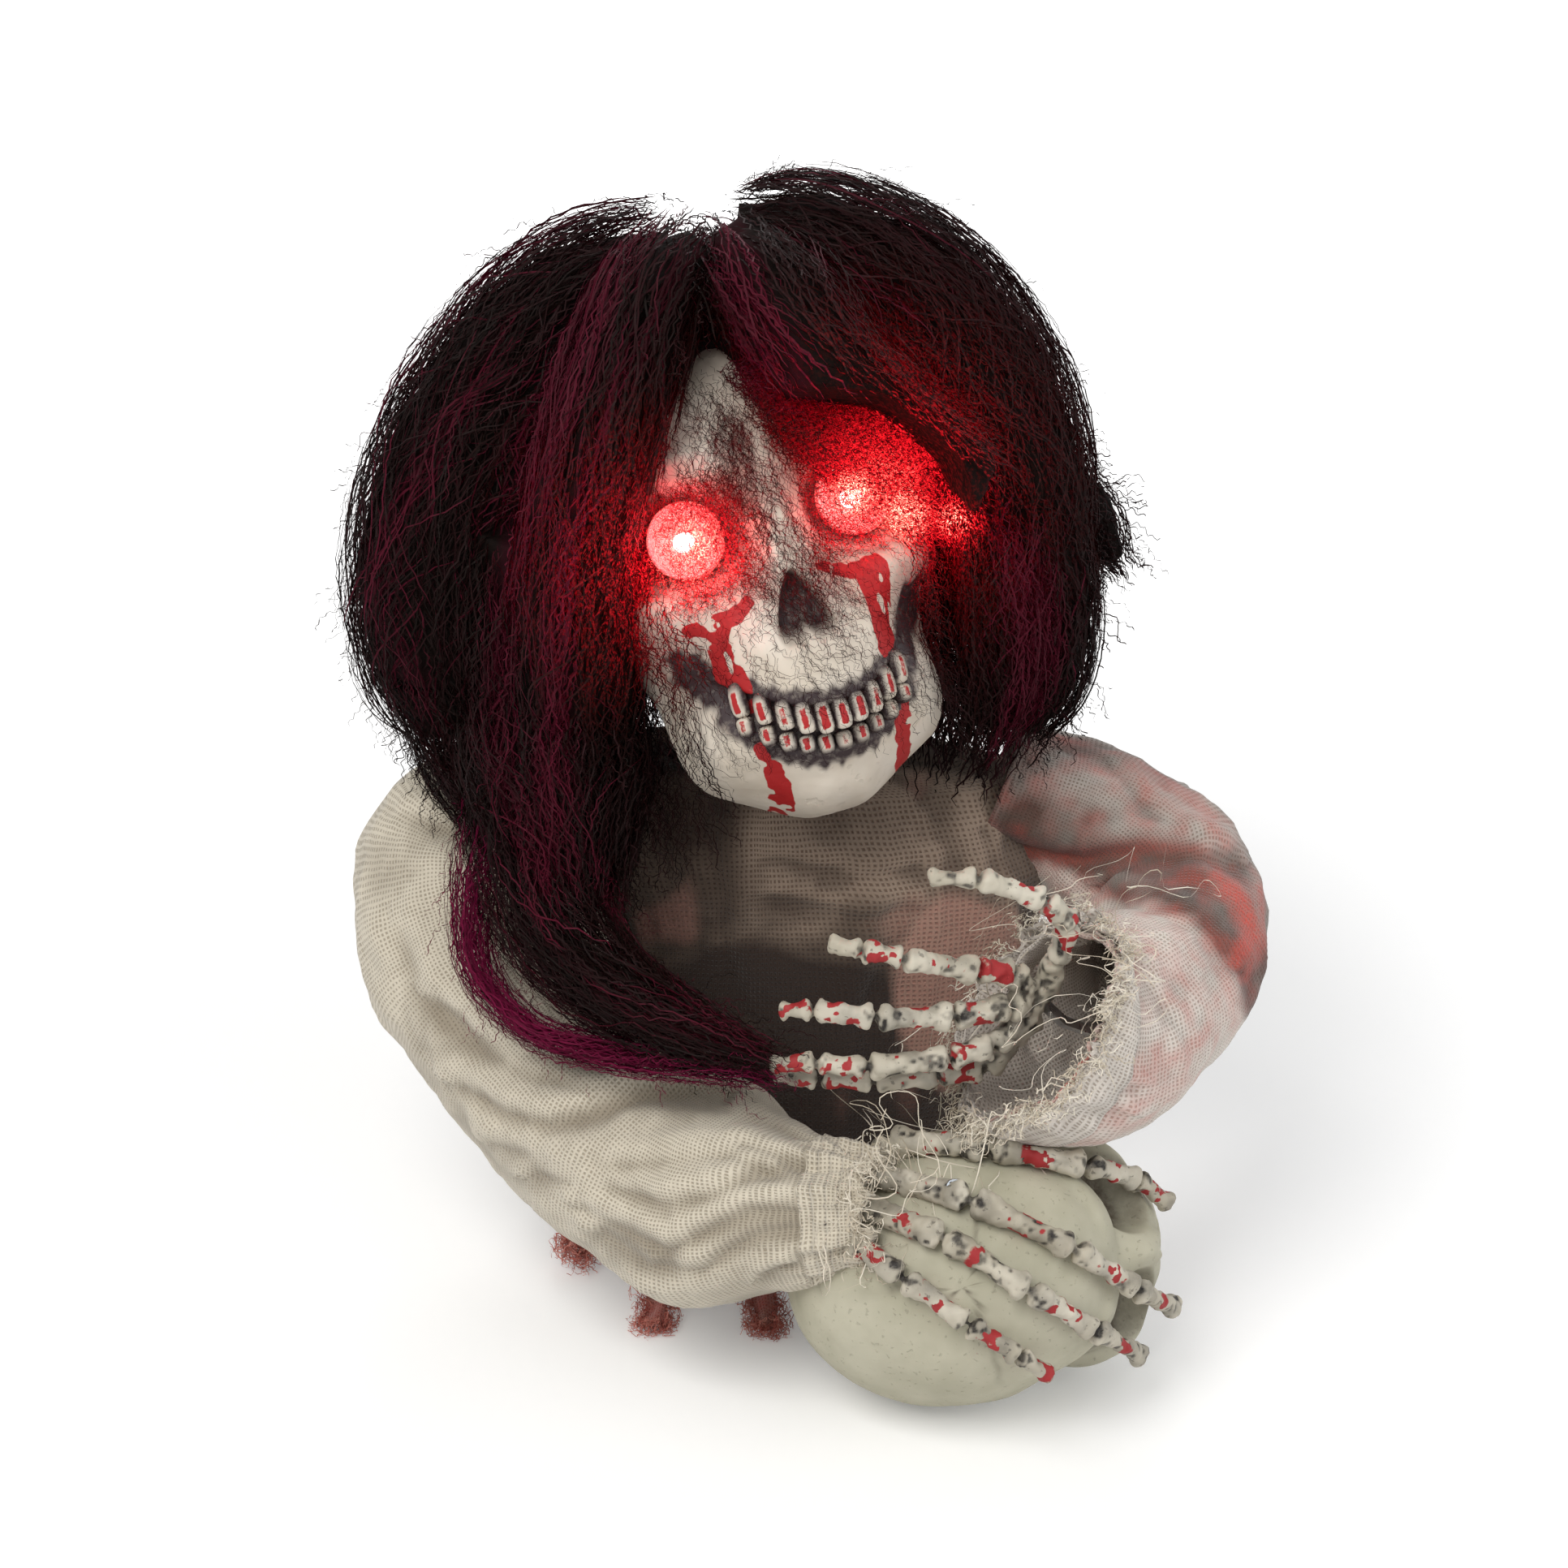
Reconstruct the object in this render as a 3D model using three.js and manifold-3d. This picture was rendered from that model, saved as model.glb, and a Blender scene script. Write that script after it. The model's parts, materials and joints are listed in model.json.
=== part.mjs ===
// Animated Halloween figure: a hunched, long-haired skeleton with light-up eyes that leans over a
// second skull, which it holds on the table with one bony hand. The figure stands on a flat base under
// its gown; the base carries a housing with cells, switch, board, speaker and the motor that turns the
// head. Millimetres, +Z up, the figure faces -Y and the origin is the middle of the base's underside.
import * as THREE from "three";
import { mergeVertices } from "three/addons/utils/BufferGeometryUtils.js";
import Module from "manifold-3d";

// General clearances
const touch = 0.3; // gap between pieces that rest on or are cut by each other
const running = 0.4; // gap round a piece that turns or slides
const overrun = 3; // how far a cutting tool runs past what it cuts
const weld = 0.0001; // vertices closer than this are one

// Base plate and battery door
const baseWidth = 100;
const baseFront = 34;
const baseBack = 40;
const baseThickness = 4;
const baseCorner = 16;
const doorThickness = 1.8;
const doorRecess = 0.7;
const doorGroove = 1.5;
const doorGrooveHeight = 1.1;
const doorGrip = 0.8;

// Housing
const housingWidth = 88;
const housingDepth = 60;
const housingHeight = 104;
const housingWall = 2.4;
const housingCorner = 9;
const columnRadius = 4.5;
const columnInset = 8;
const lowColumnHeight = 22;
const highColumnDrop = 10;
const screwRadius = 1.4;
const screwHeadRadius = 2.8;
const screwHeadHeight = 1.8;
const screwLength = 30;
const lipHeight = 3;
const lipThickness = 1.5;
const ledgeDepth = 2;
const ledgeHeight = 2;
const grilleSlots = 5;
const grilleSlotHeight = 1.8;
const grillePitch = 4.2;

// Cells, tray and contacts
const cellRadius = 5.25;
const cellLength = 44;
const cellCount = 3;
const cellGap = 0.4;
const cellNubRadius = 1.9;
const cellNubLength = 0.8;
const cellRoom = 1.2;
const trayWall = 1;
const bayOffset = 4.5; // first cell's side from the middle of the base
const contactThickness = 0.5;
const contactHeight = 8;
const contactSpringRadius = 3;

// Slide switch
const switchLength = 18;
const switchWidth = 12;
const switchHeight = 8;
const switchOffset = 23;
const switchTravel = 5;
const knobLength = 5;
const knobWidth = 4.4;
const knobStem = 2.4;
const knobDepth = 3.2;

// Board and speaker
const boardWidth = 30;
const boardHeight = 38;
const boardThickness = 1.6;
const boardBottom = 26;
const boardOffset = 15;
const standoffRadius = 2;
const standoffLength = 4;
const chipSize = 9;
const chipHeight = 1.6;
const canRadius = 2.6;
const canLength = 7;
const speakerRadius = 18;
const speakerDepth = 12;
const speakerOffset = 14;
const speakerHeight = 46;

// Head drive
const plateHeight = 68; // underside of the mechanism plate above the base plate
const plateThickness = 3;
const gearModule = 1.5;
const sectorTeeth = 30; // on a full circle; only a few are cut
const sectorToothPairs = 2; // teeth each side of the middle one
const pinionTeeth = 10;
const gearThickness = 6;
const gearLift = 2;
const sectorHubRadius = 9.5;
const addendumShare = 0.85;
const dedendumShare = 1.2;
const toothRootShare = 0.46; // of the circular pitch
const toothTipShare = 0.2;
const motorRadius = 10;
const motorLength = 30;
const motorShaftRadius = 1.5;
const motorShaftReach = 3;
const shaftRadius = 6;
const shaftBore = 3.5;
const shaftReach = 22; // into the head, above the skull's base
const bearingRadius = 10;
const bearingFlangeRadius = 12.5;
const bearingFlange = 2;
const bearingLength = 9;

// Shoulder frame
const frameHalfWidth = 70;
const frameHeight = 152; // top of the cross bar above the table
const frameBar = 12;
const frameThickness = 12;
const frameTubeRadius = 16.5;
const frameFlangeRadius = 24;
const frameFlange = 3;
const socketDepth = 12;

// Arms: one unit for the tables of places along both arms, and the wire inside
const armUnit = 100;
const wireRadius = 2;

// Head: half the breadth of the skull is the unit of its own tables
const skullUnit = 56;
const skullWall = 3;
const skullSeam = 15;
const headX = -4;
const headY = -9.5;
const headZ = 231.8;
const headPitch = -25;
const headRoll = -16;
const headYaw = 12;
const neckHoleRadius = 13;
const mountPlugRadius = 22;
const mountBottom = 186;
const mountPlugBottom = 196;
const mountTop = 212;
const ledRadius = 2.5;
const ledFlangeRadius = 2.9;
const ledFlange = 1;
const ledLength = 8.6;
const eyeSpread = 26; // from the middle of the face to each lamp
const eyeHeight = 7;
const eyeCupThickness = 1.2;
const eyeCupDepth = 6.5;
const eyeCupRadius = 11;
const leadRadius = 1;
const leadSpread = 1.3;

// Skull in the figure's hand
const heldUnit = 41;
const heldWall = 2.6;
const heldX = 75;
const heldY = -99;
const heldPitch = 66.8;
const heldRoll = -16.9;
const heldYaw = 96.3;
const heldFloorGap = 0.3;
const heldHoleRadius = 7;

// Bones of the hands
const knuckleRadius = 3.9;
const carpalRadius = 5.2;
const boneSides = 5;
const leftWristX = 83.3;
const leftWristY = -96;
const leftWristZ = 125.6;
const rightWristX = 27;
const rightWristY = -124;
const rightWristZ = 75;
const handScrewLength = 9;
const handScrewHead = 2.8;
const handScrewHeadHeight = 1.7;
const handScrewShank = 1.2;
const screwBossRadius = 3.6;

// Cloth and hair
const clothThickness = 2.2;
const gownHem = 5;
const gownUnit = 50; // half the hem's width
const gownHeight = 164;
const gownFolds = 7;
const sleeveFolds = 4;
const collarRadius = 5.5;
const collarWide = 24;
const collarDeep = 18;
const collarLift = 6;
const tatterWidth = 11;
const tatterThickness = 1.2;
const hairUnit = 100;
const napeEnd = 176;
const hairDepth = 17; // over the back of the skull
const hairSplit = 198; // below this height the hair hangs free and bends when the head turns

const wasm = await Module();
wasm.setup();

const degrees = Math.PI / 180;
const vector = (x, y, z) => new THREE.Vector3(x, y, z);
const clamp = (value) => Math.min(Math.max(value, 0), 1);

function smooth(low, high, value) {
  const t = clamp((value - low) / (high - low));
  return t * t * (3 - 2 * t);
}

// A closed three.js geometry as a solid, turned so that its faces point out
function solid(geometry) {
  const bare = geometry.index ? geometry.toNonIndexed() : geometry.clone();
  for (const name of Object.keys(bare.attributes)) {
    if (name !== "position") bare.deleteAttribute(name);
  }
  const merged = mergeVertices(bare, weld);
  const index = merged.index.array;
  const faces = [];
  for (let i = 0; i < index.length; i += 3) {
    const [a, b, c] = [index[i], index[i + 1], index[i + 2]];
    if (a !== b && b !== c && c !== a) faces.push([a, b, c]);
  }
  const make = (list) =>
    new wasm.Manifold(
      new wasm.Mesh({
        numProp: 3,
        vertProperties: merged.attributes.position.array,
        triVerts: new Uint32Array(list.flat()),
      }),
    );
  const made = make(faces);
  if (made.volume() >= 0) return made;
  return make(faces.map(([a, b, c]) => [a, c, b]));
}

function toGeometry(shape) {
  const mesh = shape.getMesh();
  const geometry = new THREE.BufferGeometry();
  const places = new THREE.BufferAttribute(new Float32Array(mesh.vertProperties), 3);
  geometry.setAttribute("position", places);
  geometry.setIndex(new THREE.BufferAttribute(new Uint32Array(mesh.triVerts), 1));
  geometry.computeVertexNormals();
  return geometry;
}

const join = (shapes) => shapes.reduce((sum, shape) => sum.add(shape));
const cut = (shape, tools) => tools.reduce((rest, tool) => rest.subtract(tool), shape);

// The largest body of a cut shape, without the crumbs that a cut can leave
function largest(shape) {
  const bodies = shape.decompose();
  return bodies.reduce((best, body) => (body.volume() > best.volume() ? body : best));
}

function box(lowX, highX, lowY, highY, lowZ, highZ) {
  const geometry = new THREE.BoxGeometry(highX - lowX, highY - lowY, highZ - lowZ);
  geometry.translate((lowX + highX) / 2, (lowY + highY) / 2, (lowZ + highZ) / 2);
  return solid(geometry);
}

// A rod along Z, Y or X between two heights, at a place in the plane across it
function rodZ(x, y, low, high, radius, sides = 16) {
  const geometry = new THREE.CylinderGeometry(radius, radius, high - low, sides);
  geometry.rotateX(Math.PI / 2).translate(x, y, (low + high) / 2);
  return solid(geometry);
}

function rodY(x, z, low, high, radius, sides = 10) {
  const geometry = new THREE.CylinderGeometry(radius, radius, high - low, sides);
  return solid(geometry.translate(x, (low + high) / 2, z));
}

function rodX(y, z, low, high, radius, sides = 12) {
  const geometry = new THREE.CylinderGeometry(radius, radius, high - low, sides);
  return solid(geometry.rotateZ(Math.PI / 2).translate((low + high) / 2, y, z));
}

function rodBetween(from, to, radius, sides = 8) {
  const reach = to.clone().sub(from);
  const geometry = new THREE.CylinderGeometry(radius, radius, reach.length(), sides);
  const turn = new THREE.Quaternion().setFromUnitVectors(vector(0, 1, 0), reach.normalize());
  geometry.applyQuaternion(turn);
  const middle = from.clone().add(to).multiplyScalar(0.5);
  return solid(geometry.translate(middle.x, middle.y, middle.z));
}

// A profile of [radius, height] pairs turned about Z
function turned(profile, sides = 20) {
  const points = profile.map(([radius, height]) => new THREE.Vector2(radius, height));
  return new THREE.LatheGeometry(points, sides).rotateX(Math.PI / 2);
}

// A rounded rectangle raised along Z
function roundedBox(lowX, highX, lowY, highY, lowZ, highZ, corner, steps = 3) {
  const shape = new THREE.Shape();
  shape.moveTo(lowX + corner, lowY);
  shape.lineTo(highX - corner, lowY);
  shape.absarc(highX - corner, lowY + corner, corner, -Math.PI / 2, 0);
  shape.absarc(highX - corner, highY - corner, corner, 0, Math.PI / 2);
  shape.absarc(lowX + corner, highY - corner, corner, Math.PI / 2, Math.PI);
  shape.absarc(lowX + corner, lowY + corner, corner, Math.PI, Math.PI * 1.5);
  const options = { depth: highZ - lowZ, bevelEnabled: false, curveSegments: steps };
  return solid(new THREE.ExtrudeGeometry(shape, options).translate(0, 0, lowZ));
}

// The middle of a ring of points
function middleOf(ring) {
  const middle = vector(0, 0, 0);
  ring.forEach((point) => middle.addScaledVector(point, 1 / ring.length));
  return middle;
}

// A closed skin through rings of the same number of points, with a fan to a tip over each end
function loft(rings, tips = [middleOf(rings[0]), middleOf(rings[rings.length - 1])]) {
  const sides = rings[0].length;
  const places = [...rings.flat(), ...tips];
  const faces = [];
  const start = rings.length * sides;
  const last = start - sides;
  for (let side = 0; side < sides; side += 1) {
    const next = (side + 1) % sides;
    for (let ring = 0; ring + 1 < rings.length; ring += 1) {
      const low = ring * sides;
      const high = low + sides;
      faces.push(low + side, low + next, high + next, low + side, high + next, high + side);
    }
    faces.push(start, next, side, start + 1, last + side, last + next);
  }
  const geometry = new THREE.BufferGeometry().setFromPoints(places);
  geometry.setIndex(faces);
  return solid(geometry);
}

// Rings square to a path of centres, turned as little as possible from one to the next
function loftPath(centres, radii, sides, ripple = () => 1) {
  const tangents = centres.map((centre, i) => {
    const before = centres[Math.max(i - 1, 0)];
    const after = centres[Math.min(i + 1, centres.length - 1)];
    return after.clone().sub(before).normalize();
  });
  const first = tangents[0];
  let side = vector(0, 0, 1);
  if (Math.abs(first.z) > 0.9) side = vector(1, 0, 0);
  const rings = centres.map((centre, i) => {
    side = side.clone().addScaledVector(tangents[i], -side.dot(tangents[i])).normalize();
    const across = vector(0, 0, 0).crossVectors(tangents[i], side);
    const share = i / (centres.length - 1);
    const ring = [];
    for (let step = 0; step < sides; step += 1) {
      const angle = (step / sides) * Math.PI * 2;
      const radius = radii[i] * ripple(share, angle);
      const point = centre.clone().addScaledVector(side, radius * Math.cos(angle));
      ring.push(point.addScaledVector(across, radius * Math.sin(angle)));
    }
    return ring;
  });
  return loft(rings);
}

// A smooth limb through stations of [x, y, z, radius], in shares of a unit
function limb(stations, unit, steps, sides, ripple, growth = 0) {
  const places = stations.map(([x, y, z]) => vector(x, y, z).multiplyScalar(unit));
  const curve = new THREE.CatmullRomCurve3(places, false, "centripetal");
  const centres = [];
  const radii = [];
  for (let step = 0; step <= steps; step += 1) {
    const t = step / steps;
    const spot = Math.min(t * (stations.length - 1), stations.length - 1.0001);
    const index = Math.floor(spot);
    const part = smooth(0, 1, spot - index);
    const share = stations[index][3] * (1 - part) + stations[index + 1][3] * part;
    centres.push(curve.getPoint(t));
    radii.push(share * unit + growth);
  }
  return loftPath(centres, radii, sides, ripple);
}

// A closed surface whose distance from its middle is a function of direction; the rings close in on
// the front and back poles, and are closest together over the face
function star(distance, ringAngles, sides) {
  const rings = ringAngles.map((angle) => {
    const ring = [];
    for (let step = 0; step < sides; step += 1) {
      const turn = (step / sides) * Math.PI * 2;
      const wide = Math.sin(angle * degrees);
      const way = vector(wide * Math.sin(turn), -Math.cos(angle * degrees), wide * Math.cos(turn));
      ring.push(way.multiplyScalar(distance(way)));
    }
    return ring;
  });
  const tips = [vector(0, -1, 0), vector(0, 1, 0)].map((way) => way.multiplyScalar(distance(way)));
  return loft(rings, tips);
}

const fineRings = [15, 29, 42, 54, 67, 83, 102, 124, 149];
const coarseRings = [26, 54, 82, 110, 140];
const fineSides = 20;
const coarseSides = 12;

// Skull forms, all in shares of half the skull's breadth
function ellipsoidShare(way, centre, axes) {
  const a = (way.x / axes[0]) ** 2 + (way.y / axes[1]) ** 2 + (way.z / axes[2]) ** 2;
  const b =
    (way.x * centre[0]) / axes[0] ** 2 +
    (way.y * centre[1]) / axes[1] ** 2 +
    (way.z * centre[2]) / axes[2] ** 2;
  const c =
    (centre[0] / axes[0]) ** 2 + (centre[1] / axes[1]) ** 2 + (centre[2] / axes[2]) ** 2 - 1;
  return (b + Math.sqrt(Math.max(b * b - a * c, 0))) / a;
}

const braincaseShares = { centre: [0, 0.34, 0.4], axes: [1, 1.22, 1.08] };
const jawedFaceShares = { centre: [0, -0.26, -0.48], axes: [0.8, 0.82, 1.04] };
const shortFaceShares = { centre: [0, -0.26, -0.22], axes: [0.78, 0.84, 0.8] };
const cavityFaceShares = { centre: [0, -0.2, -0.3], axes: [0.58, 0.56, 0.72] };
const blendShare = 0.16;
// brow, bridge of the nose, cheekbone, hollow under it and upper jaw: x, z, width, height, rise
const faceBumpShares = [
  [0.4, 0.5, 0.3, 0.1, 0.07],
  [0, 0.12, 0.12, 0.2, 0.1],
  [0.7, -0.22, 0.22, 0.14, 0.12],
  [0.64, -0.62, 0.18, 0.22, -0.12],
  [0, -0.86, 0.42, 0.26, 0.1],
];
// chin and jaw corner
const jawBumpShares = [
  [0, -1.42, 0.3, 0.16, 0.09],
  [0.62, -1.2, 0.2, 0.2, 0.07],
];
const throatShare = 0.45;

function skullShare(way, hasJaw) {
  const face = hasJaw ? jawedFaceShares : shortFaceShares;
  const back = ellipsoidShare(way, braincaseShares.centre, braincaseShares.axes);
  const front = ellipsoidShare(way, face.centre, face.axes);
  const apart = Math.abs(back - front);
  const share = Math.max(back, front) + blendShare * 0.25 * Math.exp(-apart / blendShare);
  const [x, y, z] = [Math.abs(way.x) * share, way.y * share, way.z * share];
  const bumps = hasJaw ? [...faceBumpShares, ...jawBumpShares] : faceBumpShares;
  let rise = 0;
  for (const [x0, z0, wide, tall, height] of bumps) {
    rise += height * Math.exp(-(((x - x0) / wide) ** 2) - ((z - z0) / tall) ** 2);
  }
  const throat = hasJaw ? smooth(-0.35, 0.25, y) * smooth(-0.45, -0.95, z) : 0;
  return share + rise * smooth(0, 0.45, -y) - throatShare * throat;
}

function cavityShare(way) {
  const back = ellipsoidShare(way, braincaseShares.centre, braincaseShares.axes);
  const front = ellipsoidShare(way, cavityFaceShares.centre, cavityFaceShares.axes);
  return Math.max(back, front);
}

// How far forward the face lies at a place seen from the front, in shares
function faceDepthShare(x, z, hasJaw) {
  let near = -1.8;
  let far = 0;
  for (let step = 0; step < 24; step += 1) {
    const middle = (near + far) / 2;
    const point = vector(x, middle, z);
    const length = point.length();
    if (length < skullShare(point.divideScalar(length), hasJaw)) far = middle;
    else near = middle;
  }
  return far;
}

function lump(unit, centreShares, axesShares, growth = 0, across = 10, up = 6) {
  const geometry = new THREE.SphereGeometry(1, across, up);
  geometry.scale(...axesShares.map((share) => share * unit + growth));
  return solid(geometry.translate(...centreShares.map((share) => share * unit)));
}

const eyeSocketShares = { centre: [0.464, -1.02, 0.125], axes: [0.31, 0.34, 0.31] };
const nostrilShares = { centre: [0.085, -1.12, -0.46], axes: [0.13, 0.2, 0.2] };
const mouthHalfWidthShare = 0.66;
const mouthHeightShare = -1.0;
const mouthRiseShare = 0.27;
const mouthGrooveShare = 0.13;
const upperJawHeightShare = -0.86;
const toothShares = [0.086, 0.08, 0.088]; // half width, depth and height of a tooth
const toothSinkShare = 0.045; // how far a tooth's middle lies behind the skin
const toothTaperShare = 0.82; // gum end of a tooth against its bite end
const toothRowShare = 0.088; // from the bite line to the middle of each row
const teethPerRow = 8;
const mouthFillShare = 0.94; // of the mouth's width taken by the teeth

const mouthLineShare = (x, hasJaw) =>
  (hasJaw ? mouthHeightShare : upperJawHeightShare) + mouthRiseShare * (x / mouthHalfWidthShare) ** 2;

function teeth(unit, hasJaw) {
  const rows = hasJaw ? [-1, 1] : [1];
  const made = [];
  for (const row of rows) {
    for (let tooth = 0; tooth < teethPerRow; tooth += 1) {
      const along = (tooth + 0.5) / teethPerRow - 0.5;
      const x = along * 2 * mouthHalfWidthShare * mouthFillShare;
      const z = mouthLineShare(x, hasJaw) + row * toothRowShare;
      const y = faceDepthShare(x, z, hasJaw) + toothSinkShare;
      const ends = row < 0 ? [1, toothTaperShare] : [toothTaperShare, 1];
      const peg = new THREE.CylinderGeometry(...ends, 2, 5).rotateY(Math.PI);
      peg.rotateX(Math.PI / 2).scale(...toothShares.map((share) => share * unit));
      made.push(solid(peg.translate(x * unit, y * unit, z * unit)));
    }
  }
  return made;
}

function mouthGroove(unit, hasJaw) {
  const centres = [];
  const steps = 8;
  for (let step = 0; step <= steps; step += 1) {
    const x = (step / steps - 0.5) * 2 * mouthHalfWidthShare * 1.06;
    const z = mouthLineShare(x, hasJaw);
    centres.push(vector(x, faceDepthShare(x, z, hasJaw), z).multiplyScalar(unit));
  }
  const radii = centres.map(() => mouthGrooveShare * unit);
  const shallow = (share, angle) => (hasJaw ? 1 : 0.6) * (1 + 0.35 * Math.abs(Math.cos(angle)));
  return loftPath(centres, radii, 6, shallow);
}

// A moulded skull shell in its own frame: sockets and nostrils are cups in the wall
function skullShell(unit, wall, hasJaw) {
  const outer = star((way) => skullShare(way, hasJaw) * unit, fineRings, fineSides);
  const room = (way) => Math.min(cavityShare(way), skullShare(way, hasJaw)) * unit - wall;
  const cavity = star(room, coarseRings, coarseSides);
  const pits = [];
  for (const side of [-1, 1]) {
    for (const form of [eyeSocketShares, nostrilShares]) {
      const centre = [form.centre[0] * side, form.centre[1], form.centre[2]];
      if (!hasJaw && form === nostrilShares) centre[1] += 0.04;
      pits.push(lump(unit, centre, form.axes));
    }
  }
  const shell = cut(outer, [cavity, ...pits, mouthGroove(unit, hasJaw)]);
  const grown = star((way) => skullShare(way, hasJaw) * unit + touch, fineRings, fineSides);
  return { shell: join([shell, ...teeth(unit, hasJaw)]), grown };
}

function pose(x, y, z, pitch, roll, yaw) {
  const turn = new THREE.Euler(pitch * degrees, roll * degrees, yaw * degrees, "XYZ");
  const place = new THREE.Quaternion().setFromEuler(turn);
  return new THREE.Matrix4().compose(vector(x, y, z), place, vector(1, 1, 1));
}

const placed = (shape, matrix) => shape.transform(matrix.elements);

const colours = {
  black: [0x1c1c1e, 0.6, 0],
  steel: [0xa9adb0, 0.35, 0.9],
  zinc: [0xb9bcc2, 0.3, 0.9],
  acetal: [0xe6e2d6, 0.5, 0],
  cell: [0x39577a, 0.4, 0.2],
  green: [0x1f5a3a, 0.5, 0],
  ivory: [0xd2c7b8, 0.5, 0],
  lamp: [0xff3018, 0.25, 0],
  cupRed: [0xc4261c, 0.4, 0],
  bone: [0xcdc5b4, 0.6, 0],
  held: [0xb4b09b, 0.5, 0],
  cream: [0xc9c0ac, 0.95, 0],
  pale: [0xd6cdc4, 0.95, 0],
  gown: [0x8d7f72, 0.95, 0],
  red: [0xa33a30, 0.95, 0],
  hair: [0x1f0f12, 0.9, 0],
  plum: [0x451129, 0.9, 0],
  lead: [0x8c1d1a, 0.6, 0],
};

const figure = new THREE.Group();

function piece(name, shape, colour) {
  const [color, roughness, metalness] = colours[colour];
  const material = new THREE.MeshStandardMaterial({ color, roughness, metalness });
  const mesh = new THREE.Mesh(toGeometry(shape), material);
  mesh.name = name;
  figure.add(mesh);
}

// Like pieces, numbered from 1
function pieces(name, shapes, colour) {
  shapes.forEach((shape, number) => piece(name + "_" + (number + 1), shape, colour));
}

// Heights and places that several pieces share
const wallHalfWidth = housingWidth / 2 - housingWall;
const wallHalfDepth = housingDepth / 2 - housingWall;
const housingBottom = baseThickness + touch;
const housingTop = housingBottom + housingHeight;
const roofBottom = housingTop - housingWall;
const plateBottom = baseThickness + plateHeight;
const plateTop = plateBottom + plateThickness;
const gearBottom = plateTop + gearLift;
const gearTop = gearBottom + gearThickness;
const sectorRadius = (gearModule * sectorTeeth) / 2;
const pinionRadius = (gearModule * pinionTeeth) / 2;
const pinionX = sectorRadius + pinionRadius;
const columnX = housingWidth / 2 - columnInset;
const columnHeights = [housingBottom + lowColumnHeight, housingTop - highColumnDrop];
const lowBearingBottom = housingTop - bearingLength;
const frameScrewPlace = (frameFlangeRadius + frameTubeRadius) / 2;
const frameBottom = housingTop + touch;
const barBottom = frameHeight - frameBar;
const barMiddle = frameHeight - frameBar / 2;
const cellPitch = cellRadius * 2 + cellGap;
const bayLow = bayOffset - cellGap / 2;
const bayHigh = bayLow + cellCount * cellPitch;
const bayHalfLength = cellLength / 2 + cellNubLength + cellRoom;
const cellHeight = baseThickness + cellGap * 2 + cellRadius;
const trayTop = cellHeight + cellRadius + cellGap * 2 + trayWall;

// Base, door, tray, cells and contacts
function basePlate() {
  const half = baseWidth / 2;
  let plate = roundedBox(-half, half, -baseFront, baseBack, 0, baseThickness, baseCorner);
  const lipX = wallHalfWidth - touch;
  const lipY = wallHalfDepth - touch;
  const corner = housingCorner - housingWall;
  const top = baseThickness + lipHeight;
  const low = baseThickness / 2;
  const lip = roundedBox(-lipX, lipX, -lipY, lipY, low, top, corner).subtract(
    roundedBox(
      lipThickness - lipX,
      lipX - lipThickness,
      lipThickness - lipY,
      lipY - lipThickness,
      low - overrun,
      top + overrun,
      corner - lipThickness,
    ),
  );
  plate = plate.add(lip);
  const grooveTop = doorRecess + doorThickness + running;
  const tools = [
    box(bayLow, bayHigh, -bayHalfLength, bayHalfLength, -overrun, top),
    box(bayLow, bayHigh, -bayHalfLength, baseBack + overrun, -overrun, grooveTop),
    box(
      bayLow - doorGroove,
      bayHigh + doorGroove,
      -bayHalfLength,
      baseBack + overrun,
      grooveTop - doorGrooveHeight - running,
      grooveTop,
    ),
    box(
      -switchOffset - knobLength / 2 - switchTravel - running,
      -switchOffset + knobLength / 2 + running,
      -knobWidth / 2 - running,
      knobWidth / 2 + running,
      -overrun,
      baseThickness + overrun,
    ),
  ];
  for (const side of [-1, 1]) {
    const y = side * (wallHalfDepth - columnRadius + touch);
    tools.push(rodZ(-columnX, y, -overrun, baseThickness + overrun, screwRadius + touch * 2, 6));
    tools.push(rodZ(-columnX, y, -overrun, screwHeadHeight + touch * 2, screwHeadRadius + touch * 2, 8));
    tools.push(rodZ(-columnX, y, baseThickness, top + overrun, columnRadius + touch * 2, 8));
  }
  return cut(plate, tools);
}

function batteryDoor() {
  const low = bayLow + running;
  const high = bayHigh - running;
  const front = -bayHalfLength + running;
  const top = doorRecess + doorThickness;
  const panel = box(low, high, front, baseBack - touch, doorRecess, top);
  const runners = box(
    low - doorGroove,
    high + doorGroove,
    front,
    baseBack - baseCorner,
    top - doorGrooveHeight + running,
    top,
  );
  const grips = [];
  for (let rib = 0; rib < 3; rib += 1) {
    const y = baseBack - baseCorner * 0.4 - rib * doorGrip * 3;
    const middle = (low + high) / 2;
    const reach = (high - low) / 4;
    grips.push(box(middle - reach, middle + reach, y, y + doorGrip, doorRecess - doorGrip, doorRecess));
  }
  return cut(panel.add(runners), grips.map((grip) => grip.translate([0, 0, doorGrip / 2])));
}

function batteryTray() {
  const low = bayLow - trayWall;
  const high = bayHigh + trayWall;
  const reach = bayHalfLength + trayWall;
  const floor = baseThickness + touch;
  const outside = roundedBox(low, high, -reach, reach, floor, trayTop, trayWall * 3, 1);
  const inside = box(bayLow, bayHigh, -bayHalfLength, bayHalfLength, floor - overrun, trayTop - trayWall);
  return outside.subtract(inside);
}

function cell(number) {
  const x = bayOffset + cellRadius + number * cellPitch;
  const flip = number % 2 ? -1 : 1;
  const half = cellLength / 2;
  const can = rodY(x, cellHeight, -half, half, cellRadius, 12);
  const nub = flip > 0 ? [half - touch, half + cellNubLength] : [-half - cellNubLength, touch - half];
  return can.add(rodY(x, cellHeight, nub[0], nub[1], cellNubRadius, 8));
}

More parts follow.
